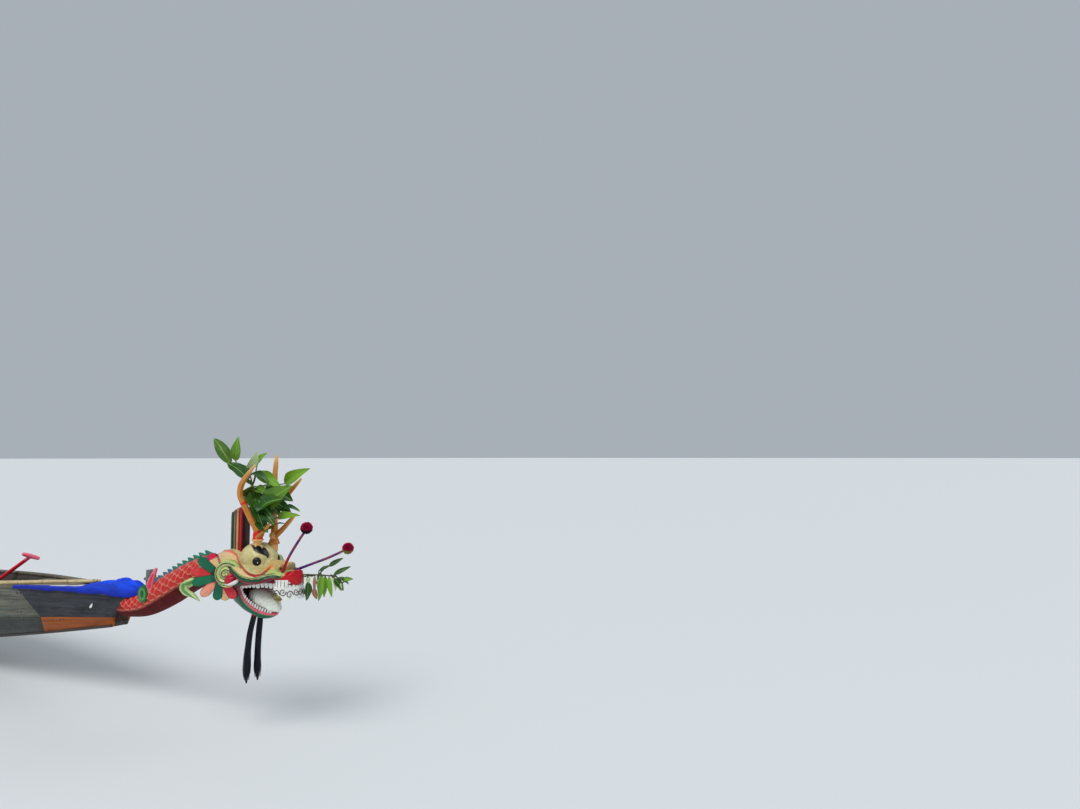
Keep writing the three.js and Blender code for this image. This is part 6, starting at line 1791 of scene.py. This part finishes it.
foliage = {
    "facing": (0.6, -0.62, 0.5),
    # from, to, radius
    "crownStems": [
        ((1440, 0, 1225), (1440, -12, 1420), 11), ((1440, -12, 1405), (1400, -40, 1620), 8),
        ((1440, -12, 1405), (1500, 40, 1600), 8)],
    # fork, foot, tip, width, tone
    "crown": [
        ((1402, -38, 1610), (1399, -66, 1653), (1235, -110, 1769), 124, 0.06),
        ((1402, -38, 1610), (1220, -66, 1750), (1072, -90, 1933), 84, 0.30),
        ((1402, -38, 1610), (1258, -58, 1774), (1301, -80, 1930), 66, 0.62),
        ((1402, -38, 1610), (1409, -80, 1728), (1528, -112, 1832), 68, 0.95),
        ((1402, -38, 1610), (1449, -40, 1751), (1550, -60, 1827), 50, 0.88),
        ((1402, -38, 1610), (1398, -56, 1687), (1570, -50, 1643), 64, 0.04),
        ((1402, -38, 1610), (1392, 6, 1698), (1626, 0, 1603), 84, 0.80),
        ((1498, 38, 1592), (1559, 92, 1625), (1783, 80, 1726), 84, 0.95),
        ((1402, -38, 1610), (1362, -64, 1541), (1476, -76, 1619), 74, 0.40),
        ((1402, -38, 1610), (1444, -56, 1595), (1564, -50, 1569), 64, 0.48),
        ((1438, -12, 1410), (1510, -30, 1480), (1733, -20, 1617), 132, 0.50),
        ((1438, -12, 1410), (1482, -48, 1446), (1686, -56, 1544), 110, 0.20),
        ((1438, -12, 1410), (1472, -56, 1527), (1613, -60, 1429), 92, 0.10),
        ((1438, -12, 1410), (1451, -66, 1492), (1545, -70, 1364), 80, 0.08),
        ((1440, -10, 1340), (1525, -56, 1454), (1640, -60, 1373), 82, 0.06),
        ((1440, -10, 1340), (1478, -50, 1394), (1579, -56, 1319), 74, 0.10),
        ((1438, -12, 1410), (1579, 34, 1468), (1767, 30, 1465), 50, 0.06),
        ((1440, -10, 1340), (1569, 30, 1407), (1752, 34, 1431), 54, 0.92),
        ((1440, -10, 1340), (1399, -50, 1455), (1483, -60, 1367), 62, 0.14),
        ((1498, 38, 1592), (1437, 44, 1615), (1555, 60, 1570), 72, 0.28),
        ((1402, -38, 1610), (1268, 26, 1577), (1367, 40, 1525), 74, 0.16),
        ((1438, -12, 1410), (1527, 70, 1569), (1625, 104, 1512), 72, 0.12),
        ((1438, -12, 1410), (1457, 30, 1499), (1578, 44, 1421), 84, 0.10),
        ((1402, -38, 1610), (1404, -20, 1586), (1450, -44, 1452), 92, 0.34),
        ((1402, -38, 1610), (1366, -36, 1588), (1416, -56, 1470), 62, 0.66),
        ((1438, -12, 1410), (1468, 20, 1604), (1592, 24, 1540), 78, 0.58),
        ((1438, -12, 1410), (1556, 30, 1500), (1672, 40, 1452), 74, 0.14),
        ((1440, -10, 1340), (1541, 20, 1350), (1652, 10, 1377), 30, 0.02)],
    "lipStems": [((1795, 20, 1052), (1814, 65, 1053), 6), ((1814, 65, 1053), (1940, 160, 1042), 5),
        ((1940, 160, 1042), (2000, 205, 1009), 4)],
    # fork, foot, tip, width, tone, then 0 fresh, 1 pale or 2 dry
    "lip": [
        ((1814, 65, 1053), (1817, 66, 1009), (1814, 61, 891), 52, 0.10, 0),
        ((1814, 65, 1053), (1818, 68, 1045), (1820, 68, 994), 28, 0.90, 1),
        ((1814, 65, 1053), (1850, 92, 1047), (1851, 90, 937), 20, 0.70, 2),
        ((1873, 110, 1059), (1863, 102, 1041), (1870, 105, 936), 28, 0.95, 1),
        ((1873, 110, 1059), (1847, 88, 970), (1863, 99, 897), 34, 0.40, 2),
        ((1873, 110, 1059), (1881, 116, 1053), (1874, 107, 884), 42, 0.80, 0),
        ((1873, 110, 1059), (1902, 131, 1043), (1898, 126, 908), 36, 0.66, 0),
        ((1940, 160, 1042), (1920, 145, 1040), (1937, 155, 906), 32, 0.95, 0),
        ((1940, 160, 1042), (1934, 155, 1038), (1958, 172, 950), 32, 0.90, 1),
        ((1940, 160, 1042), (1947, 165, 1027), (1995, 199, 949), 46, 0.08, 0),
        ((2000, 205, 1009), (1974, 185, 1002), (1983, 191, 944), 28, 0.80, 1),
        ((1940, 160, 1042), (1964, 178, 1030), (2021, 220, 992), 30, 0.06, 0),
        ((1873, 110, 1059), (1868, 106, 1075), (1931, 155, 1113), 24, 0.02, 0),
        ((1873, 110, 1059), (1917, 144, 1104), (1988, 198, 1156), 30, 0.02, 0),
        ((1940, 160, 1042), (1943, 162, 1051), (2027, 226, 1102), 30, 0.04, 0),
        ((2000, 205, 1009), (1986, 194, 1017), (2041, 235, 1022), 30, 0.75, 0),
        ((1814, 65, 1053), (1793, 49, 1044), (1782, 39, 986), 26, 0.90, 1)],
}
for title, stems, rows, node in (("crownLeaves", "crownStems", "crown", "crown_leaves"),
        ("lipLeaves", "lipStems", "lip", "lip_leaves")):
    shape, twigs = Shape(), []
    for start, end, radius in foliage[stems]:
        bend = (np.array(start) + np.array(end)) / 2 + [6, -5, 4]
        twigs.append(headRows(smoothRows([(*start, radius), (*bend, radius * 0.9), (*end, radius * 0.75)], 24)))
    for number, (fork, foot, tipAt, width, tone, *kind) in enumerate(foliage[rows]):
        bend = (np.array(fork) + np.array(foot)) / 2 + [0, 0, 8 if number % 2 else -6]
        twigs.append(headRows(smoothRows([(*fork, 5), (*bend, 4), (*foot, 3.2),
            (*(np.array(foot) * 0.85 + np.array(tipAt) * 0.15), 1.5)], 20)))
        facing = Vector(foliage["facing"]) + Vector((0.5 * math.sin(3.1 * number), 0.5 * math.cos(2.3 * number),
            0.35 * math.sin(1.7 * number)))
        points, faces, grain = leafBlade(*headRows([foot, tipAt]), width / 1000, facing,
            0.08 + 0.10 * (number % 3) / 2, 0.25 + 0.2 * (number % 2), tone)
        shape.add(points, faces, grain=grain, tone=tone, finish=kind[0] if kind else 1 if number == 3 else 0)
    makePiece(title, shape, [freshLeaf, paleLeaf, dryLeaf], [node], sharp=60)
    stalks = drawLines(title + "Twigs", twigs, twigBark, paint=[(0.12, 0.16, 0.05)] * len(twigs), sides=7)
    makePiece(title + "Twigs", stalks, [twigBark], sharp=60)

# small leaves fill the crown spray, scattered along its twigs
points, faces, grain = leafBlade((0, 0, 0), (1, 0, 0), 0.46, (0, 0.02, 1), 0.10, 0.3, 0.5, rows=8, columns=5)
unit = Shape().add(points, faces, grain=grain * [0.2, 1, 1] * [5, 1, 1])
chance = np.random.default_rng(8)
places, outs, runs, sizes, tones = [], [], [], [], []
for start, end, _ in foliage["crownStems"]:
    for share in np.linspace(0.15, 1.0, 7):
        base = np.array(start) * (1 - share) + np.array(end) * share
        heading = chance.uniform(0, 2 * math.pi)
        run = np.array([math.cos(heading), math.sin(heading), chance.uniform(-0.2, 0.9)])
        places.append(headRows([base])[0])
        runs.append(run)
        outs.append(np.cross(np.cross(run, (0.3, -0.5, 0.8)), run))
        size = chance.uniform(0.07, 0.115)
        sizes.append((size, size, size))
        tones.append(chance.uniform(0.05, 0.75))
sprigs = layOut("crownSprigs", unit.mesh("sprig"), freshLeaf, places, outs, runs, sizes, tone=tones, seed=4,
    unevenness=0.2)
makePiece("crownSprigs", sprigs, [freshLeaf], sharp=60)
print("leaves tied on")

# bamboo poles with their nodes
bambooSkin = paintMaterial("bambooSkin", 0.36, 0.25, (0.30, 0.22, 0.12), wear=0.35)
poles = {"ends": [((-2600, -176, 681), (-290, -24, 864)), ((-2450, -262, 688), (-300, -46, 866))], "radius": 14,
    "internode": 0.30, "straw": tint(206, 186, 138), "knot": tint(120, 92, 56)}
shape = Shape()
for number, (start, end) in enumerate(poles["ends"]):
    total = np.linalg.norm(np.array(end) - np.array(start)) / 1000
    steps = 420
    along = np.linspace(0, 1, steps)
    fromKnot = np.abs(np.mod(along * total / poles["internode"] + 0.3 * number, 1) - 0.5) * poles["internode"]
    knot = np.exp(-(fromKnot / 0.006) ** 2)
    rows = np.column_stack([np.array(start)[None] * (1 - along[:, None]) + np.array(end)[None] * along[:, None],
        poles["radius"] * (0.97 - 0.12 * along) + 1.6 * knot])
    points, faces, grain = tube(headRows(rows), 16, steps, spread=False)
    share = np.clip(grain[:, 0] / total, 0, 1)
    knotHere = np.interp(share, along, knot)
    colour = lay(repeated(poles["straw"], points), knotHere * 0.8, poles["knot"])
    shape.add(points, faces, paint=colour, grain=grain, tone=0.3 * number)
makePiece("flagPoles", shape, [bambooSkin], ["flag_poles"], sharp=60)

# the flags lie rolled over the bow: one long cloth in loose folds
flagCloth, clothTree, clothShader = newMaterial("flagCloth", 0.6,
    **{"Sheen Weight": 0.08, "Sheen Roughness": 0.4, "Specular IOR Level": 0.2})
place = attributeOf(clothTree, "grain")
paint = attributeOf(clothTree, "paint", "Color")
threads = [put(clothTree, "ShaderNodeTexWave", {"Vector": place, "Scale": 190.0, "Distortion": 0.4},
    wave_type="BANDS", bands_direction=way).outputs["Fac"] for way in ("X", "Y")]
weave = times(clothTree, plus(clothTree, *threads), 0.5)
# the crease noise darkens the paint in the wrinkles as painted shade, and also drives the bumps and the roughness
creaseShade = noiseOf(clothTree, place, 7.0, 5.0, 0.6, (1, 3, 1))
colour = scaled(clothTree, paint, plus(clothTree, band(clothTree, creaseShade, 0.28, 0.72, 0.5, 1.06),
    times(clothTree, weave, 0.16)))
finishShader(clothTree, clothShader, colour, band(clothTree, creaseShade, 0.2, 0.8, 0.48, 0.66),
    plus(clothTree, times(clothTree, weave, 0.4), creaseShade), 0.35, 0.0016)
cloth = {
    # forward of the root, starboard edge, port edge, height over the rail
    "rows": [(-1050, -258, -224, 3), (-850, -229, -180, 6), (-600, -191, -112, 12), (-380, -158, -40, 24),
        (-240, -143, 36, 52), (-100, -127, 84, 74), (60, -110, 100, 86), (170, -92, 84, 56), (262, -72, 60, 26)],
    "lift": 0.024, "hang": 0.021, "blue": tint(20, 84, 250), "deep": tint(0, 22, 150), "hem": tint(226, 228, 236),
}
print("poles and cloth laid")


def clothSection(row, count):
    # one line across the cloth: down at both edges, crowned between, with folds that run along it
    forward, starboard, port, height = row
    base = float(hullLines(min(rootX + forward / 1000, hull["halfLength"]))["sheerZ"]) + cloth["lift"]
    across = np.linspace(-1.16, 1, count)
    lap = np.clip((-1 - across) / 0.16, 0, 1)
    across = np.maximum(across, -1)
    middle, half = (starboard + port) / 2000, (port - starboard) / 2000
    crown = (1 - np.abs(across) ** 2.6) ** 0.62
    phase = 6.2 * across + forward / 170
    ripple = 0.34 * np.sin(phase * 1.7 + 0.9) + 0.24 * np.sin(3.1 * phase + forward / 75) + 0.12 * np.sin(7.3 * phase)
    z = base + height / 1000 * crown * (0.86 + 0.38 * ripple * (1 - across ** 4))
    z = z - lap * cloth["hang"] * np.interp(forward, [40, 170, 262],
        [1, 1.1, 0.3]) * (1 + 0.12 * math.sin(forward / 62) + 0.06 * math.sin(forward / 27))
    y = middle + half * (across + 0.030 * np.sin(5.2 * across + forward / 110) * (lap == 0)) - 0.004 * np.sin(math.pi
        * np.clip(lap * 0.8, 0, 1)) - 0.003 * lap * math.sin(forward / 40)
    return np.column_stack([np.full(count, rootX + forward / 1000), y, z])


count, length = 96, 150
clothRun = smoothRows(cloth["rows"], length)
surface = np.stack([clothSection(row, count) for row in clothRun])
surface[:, :, 0] += 0.012 * np.sin(np.linspace(0, 19, count))[None, :] * np.linspace(1, 0.3, length)[:, None]
acrossLength = np.concatenate([np.zeros((length, 1)), np.cumsum(np.linalg.norm(np.diff(surface, axis=1), axis=2),
    axis=1)], axis=1)
alongLength = np.concatenate([np.zeros((1, count)), np.cumsum(np.linalg.norm(np.diff(surface, axis=0), axis=2),
    axis=0)], axis=0)
share = np.linspace(0, 1, count)[None, :]
# the cloth is painted deep navy where it lies low and bright blue where it rises: painted shade in its hollows and
# under its hanging edge
depth = np.clip((surface[..., 2] - surface[..., 2].min(axis=1, keepdims=True)) / 0.1, 0, 1)
colour = between(cloth["deep"], cloth["blue"], depth[..., None])
# the flags' white hems show in a strip along the far side and in a few folds
forward = (surface[..., 0] - rootX) * 1000
hemHere = soft(share - 0.42 - 0.05 * np.sin(forward / 47), 0.03) * soft(forward + 690, 20) * soft(-322 - forward, 14)
fold = soft(30 - np.hypot((forward + 128) * 0.8, (share - 0.62) * 300),
    10) + soft(22 - np.hypot((forward + 215) * 0.8, (share - 0.5) * 300), 10)
colour = between(colour, cloth["hem"], np.clip(hemHere + fold, 0, 1)[..., None])
shape = Shape().add(surface.reshape(-1, 3), skinFaces(length, count, closed=False, caps=False),
    paint=colour.reshape(-1, 3), grain=np.stack([alongLength, acrossLength, 0 * acrossLength], axis=-1).reshape(-1, 3))
flag = asObject("flagCloth", shape.mesh("flagCloth"))
hemmed = flag.modifiers.new("thickness", "SOLIDIFY")
hemmed.thickness = 0.0016
hemmed.offset = 0
baked(flag)
makePiece("flagCloth", flag, [flagCloth], ["flag_cloth"], sharp=80)

# the paddle leans on the foremost thwart: shaft, T grip and a ridged blade
paddlePaint = paintMaterial("paddlePaint", 0.26, 0.5, wear=0.6)
paddle = {"grip": (-2007, 360, 898), "tip": (-3070, 86, 222), "turn": math.radians(-22), "blade": 0.52,
    "half": 0.0825, "red": tint(226, 14, 44), "pink": tint(248, 104, 130)}
gripAt, tipAt = (Vector(headRows([paddle[key]])[0]) for key in ("grip", "tip"))
reach = (tipAt - gripAt).length
shape = Shape()
points, faces, grain = tube([(0, 0, 0, 0.0165), (reach * 0.3, 0, 0, 0.017),
    (reach - paddle["blade"] + 0.12, 0, 0, 0.0155)], 16, 60)
# the grip and the top of the shaft are painted pink: a painted highlight on the red
shape.add(points, faces, paint=lay(repeated(paddle["red"], points), soft(0.06 - grain[:, 0], 0.03), paddle["pink"]),
    grain=grain)
points, faces, grain = tube([(0, y * math.cos(paddle["turn"]), y * math.sin(paddle["turn"]), r) for y,
    r in ((-0.066, 0.0165), (-0.035, 0.019), (0.035, 0.019), (0.066, 0.0165))], 16, 30)
shape.add(points, faces, paint=paddle["pink"], grain=grain)
rings = []
for u in np.linspace(0, 1, 40):
    x = reach - paddle["blade"] + u * paddle["blade"]
    half = np.interp(u, [0, 0.1, 0.28, 0.9, 0.97, 1.0], [0.016, 0.030, paddle["half"], paddle["half"], paddle["half"]
        - 0.014, paddle["half"] - 0.05])
    angles = np.linspace(0, 2 * math.pi, 28, endpoint=False)
    thick = 0.0065 * (1 - 0.4 * u)
    rings.append(np.column_stack([np.full(28, x), half * np.cos(angles),
        thick * np.sign(np.sin(angles)) * np.abs(np.sin(angles)) ** 0.5 + 0.004 * np.sin(angles)
        * np.exp(-(np.cos(angles) / 0.2) ** 2)]))
shape.add(np.concatenate(rings), skinFaces(40, 28), paint=paddle["red"])
turned = Vector((1, 0, 0)).rotation_difference((tipAt - gripAt).normalized()).to_matrix().to_4x4()
shape.points = [placed(points, Matrix.Translation(gripAt) @ turned) for points in shape.points]
makePiece("paddle", shape, [paddlePaint], ["paddle"], sharp=50)

# the drum: lacquered staves, a hide at each end with two rows of tacks, and iron rings
drumLacquer = paintMaterial("drumLacquer", 0.2, 0.7, wear=0.4)
drum = {
    "x": 0.45, "height": 0.40, "staves": 24, "red": tint(190, 22, 22), "gold": tint(210, 160, 70),
    "goldLines": (0.062, 0.338),
    # radius and height of the staves, then of the upper hide over them
    "profile": [(0.250, 0.0), (0.272, 0.06), (0.287, 0.13), (0.293, 0.20), (0.287, 0.27), (0.272, 0.34), (0.250, 0.40)],
    "hide": [
        (0.0, 0.404), (0.10, 0.4038), (0.20, 0.4028), (0.243, 0.4018), (0.2515, 0.3995), (0.2545, 0.395),
        (0.2575, 0.385),
        (0.2610, 0.372), (0.2625, 0.364), (0.2600, 0.364)],
    # height, shift and radius of each row of tacks
    "tackRows": [(0.386, 0, 0.2574), (0.371, 0.5, 0.2612), (0.014, 0, 0.2574), (0.029, 0.5, 0.2612)],
    "tacks": 44, "tackRadius": 0.0085,
}
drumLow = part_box("drum")[0].z
profile = smoothRows([(radius, 0, height) for radius, height in drum["profile"]], 40)
around = drum["staves"] * 8
angles = np.linspace(0, 2 * math.pi, around, endpoint=False)
groove = 0.0016 * np.exp(-(np.mod(np.arange(around), 8) / 0.6) ** 2)
rings, colours = [], []
for radius, _, height in [(0.20, 0, 0.0), *profile, (0.20, 0, drum["height"])]:
    fluted = radius - groove * (0.0 < height < drum["height"])
    rings.append(np.column_stack([fluted * np.cos(angles), fluted * np.sin(angles), np.full(around, height)]))
    gold = any(abs(height - level) < 0.008 for level in drum["goldLines"])
    colours.append(np.tile(drum["gold"] if gold else drum["red"], (around, 1)))
points = np.concatenate(rings)
grain = np.column_stack([points[:, 2], np.tile(angles, len(rings)) * 0.28, points[:, 0] * 0])
shape = Shape().add(points + [drum["x"], 0, drumLow], skinFaces(len(rings), around), paint=np.concatenate(colours),
    grain=grain)
makePiece("drumShell", shape, [drumLacquer], ["drum"], sharp=35)
hide, hideTree, hideShader = newMaterial("drumHide", 0.5)
place = attributeOf(hideTree, "grain")
cloud, pores = noiseOf(hideTree, place, 5.0, 5.0, 0.6), noiseOf(hideTree, place, 260.0, 3.0)
centreWorn = band(hideTree, put(hideTree, "ShaderNodeVectorMath", {0: place}, operation="LENGTH").outputs["Value"],
    0.05, 0.22, 1.0, 0.0)
colour = blendColours(hideTree, band(hideTree, cloud, 0.3, 0.7), (0.62, 0.50, 0.30), (0.42, 0.29, 0.14))
colour = blendColours(hideTree, times(hideTree, centreWorn, 0.6), colour, (0.30, 0.22, 0.13))
finishShader(hideTree, hideShader, colour, band(hideTree, cloud, 0.2, 0.8, 0.4, 0.62),
    plus(hideTree, cloud, times(hideTree, pores, 0.3)), 0.3, 0.001)
shape = Shape()
for up in (1, -1):
    points, faces = lathe([(r, h if up > 0 else drum["height"] - h) for r, h in drum["hide"]], 120)
    wrinkle = 0.0006 * np.sin(44 * np.arctan2(points[:, 1], points[:, 0])) * (np.hypot(points[:, 0],
        points[:, 1]) > 0.253)
    points[:, 0:2] *= (1 + wrinkle[:, None] / 0.26)
    shape.add(points + [drum["x"], 0, drumLow], faces, grain=points)
makePiece("drumHides", shape, [hide], sharp=60)
tack = Shape().add(*lathe([(0.0, -0.2), (0.95, -0.2), (1.0, 0.0), (0.82, 0.32), (0.45, 0.55), (0.0, 0.62)], 10),
    paint=tint(120, 96, 52))
places, outs = [], []
for level, shift, radius in drum["tackRows"]:
    for number in range(drum["tacks"]):
        angle = 2 * math.pi * (number + shift) / drum["tacks"]
        out = np.array([math.cos(angle), math.sin(angle), 0.22 if level > 0.2 else -0.22])
        places.append([drum["x"] + radius * out[0], radius * out[1], drumLow + level])
        outs.append(out)
brass = paintMaterial("tackBrass", 0.35, 0.3, (0.10, 0.05, 0.02), 0.8, 0.3)
brass.node_tree.nodes["Principled BSDF"].inputs["Metallic"].default_value = 0.8
tacks = layOut("drumTacks", tack.mesh("tack"), brass, places, outs, (0.0, 0.0, 1.0), [drum["tackRadius"]] * 3, seed=2,
    unevenness=0.05)
makePiece("drumTacks", tacks, [brass])
shape = Shape()
for way in (0, 1, 2, 3):
    angle = math.pi / 4 + way * math.pi / 2
    out = Matrix.Translation((drum["x"], 0, drumLow + 0.2)) @ Matrix.Rotation(angle, 4, "Z")
    circle = np.linspace(0, 2 * math.pi, 36)
    ring = np.column_stack([0.300 + 0 * circle, 0.026 * np.cos(circle), -0.022 + 0.026 * np.sin(circle),
        np.full(36, 0.0035)])
    points, faces, grain = tube(ring, 10, 36, roundEnds=(False, False), spread=False)
    shape.add(placed(points, out), faces, paint=(0.05, 0.035, 0.025))
    boss, bossFaces = lathe([(0, 0), (0.016, 0), (0.014, 0.006), (0.007, 0.010), (0.006, 0.016), (0, 0.018)], 16)
    shape.add(placed(boss[:, [2, 1, 0]] * [1, 1, -1] + [0.290, 0, 0.002], out), bossFaces, paint=(0.06, 0.04, 0.03))
makePiece("drumRings", shape, [rustyIron], sharp=50)

# carpentry of the stand, the stern beam, the crutch: the solids' own shapes with eased edges
def easedCopy(node, title, material, body="hull", bevel=0.003, turnedGrain=(0, 1, 2)):
    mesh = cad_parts[node].data.copy()
    work = bmesh.new()
    work.from_mesh(mesh)
    bmesh.ops.remove_doubles(work, verts=work.verts, dist=1e-5)
    bmesh.ops.dissolve_limit(work, angle_limit=math.radians(0.5), verts=work.verts, edges=work.edges)
    shape = Shape().add([vertex.co[:] for vertex in work.verts],
        [[vertex.index for vertex in face.verts] for face in work.faces], paint=tint(84, 66, 48))
    work.free()
    shape.grain = [shape.points[0][:, list(turnedGrain)]]
    return makePiece(title, shape, [material], [node], body, bevel=bevel)


crutchWood = woodMaterial("crutchWood", (0.22, 0.13, 0.075), (0.075, 0.042, 0.024), (0.03, 0.018, 0.012), 0.42,
    gloss=0.2)
easedCopy("drum_stand", "drumStand", innerWood)
easedCopy("stern_beam", "sternBeam", innerWood, turnedGrain=(1, 0, 2), bevel=0.004)
easedCopy("oar_crutch", "oarCrutch", crutchWood, "crutch", 0.002, (2, 1, 0))

# the steering oar, with twine bound round its loom and a tipped blade
oarWood = woodMaterial("oarWood", (0.50, 0.31, 0.15), (0.24, 0.135, 0.06), (0.12, 0.07, 0.035), 0.4, gloss=0.25)
oar = {
    "pivot": (-6.85, -0.33, 0.96), "slope": 30, "outboard": 2.5, "blade": 0.9, "half": 0.105,
    # distance inboard of the pin, and radius
    "loom": [(1.5, 0.0175), (1.42, 0.0175), (1.36, 0.0195), (0.3, 0.024), (-0.3, 0.024), (-1.70, 0.0215)],
    "bound": [(0.05, 0.24), (1.30, 1.36)], "twinePitch": 0.0062,
}
shape = Shape()
points, faces, grain = tube([(x, 0, 0, radius) for x, radius in oar["loom"]], 24, 120)
shape.add(points, faces, grain=grain, tone=0.3)
rings = []
for u in np.linspace(0, 1, 50):
    x = -(oar["outboard"] - oar["blade"]) - u * oar["blade"]
    half = np.interp(u, [0, 0.06, 0.2, 0.97, 1.0], [0.020, 0.040, oar["half"], oar["half"] + 0.007, oar["half"]
        - 0.012])
    angles = np.linspace(0, 2 * math.pi, 32, endpoint=False)
    thick = np.interp(u, [0, 0.1, 0.9, 1.0], [0.020, 0.013, 0.010, 0.007])
    rings.append(np.column_stack([np.full(32, x), thick * np.sign(np.sin(angles)) * np.abs(np.sin(angles)) ** 0.55,
        half * np.cos(angles)]))
shape.add(np.concatenate(rings), skinFaces(50, 32), tone=0.55)
points, faces = lathe([(0, -0.051), (0.009, -0.051), (0.009, 0.051), (0, 0.051)], 24)
shape.add(points[:, [0, 2, 1]], faces, tone=0.9)
turned = Matrix.Translation(oar["pivot"]) @ Matrix.Rotation(math.radians(-oar["slope"]), 4, "Y")
shape.points = [placed(points, turned) for points in shape.points]
makePiece("steeringOar", shape, [oarWood], ["steering_oar"], "oar", sharp=45)
binding = []
for first, last in oar["bound"]:
    count = (last - first) / oar["twinePitch"]
    share = np.linspace(0, 1, int(count * 14))
    angle, along = 2 * math.pi * count * share, first + (last - first) * share
    radius = np.interp(along, *zip(*sorted(oar["loom"]))) + 0.0024
    line = np.column_stack([along, radius * np.cos(angle), radius * np.sin(angle)])
    binding.append(np.column_stack([placed(line, turned), np.full(len(line), 0.0030)]))
twine = paintMaterial("oarTwine", 0.8, 0.0, wear=0.0, strokes=1.2)
wound = drawLines("oarBinding", binding, twine, paint=[tint(150, 128, 92)] * 2, sides=6)
makePiece("oarBinding", wound, [twine], body="oar", sharp=60)
print("drum, paddle and oar done")


# the pale floor stands at the waterline
floor = asObject("floor", bpy.data.meshes.new("floor"))
floor.data.from_pydata([(-900, -500, 0), (900, -500, 0), (900, 1500, 0), (-900, 1500, 0)], [], [(0, 1, 2, 3)])
floorMaterial, _, floorShader = newMaterial("paleFloor", 0.6)
floorShader.inputs["Base Color"].default_value = (0.78, 0.80, 0.80, 1)
floor.data.materials.append(floorMaterial)
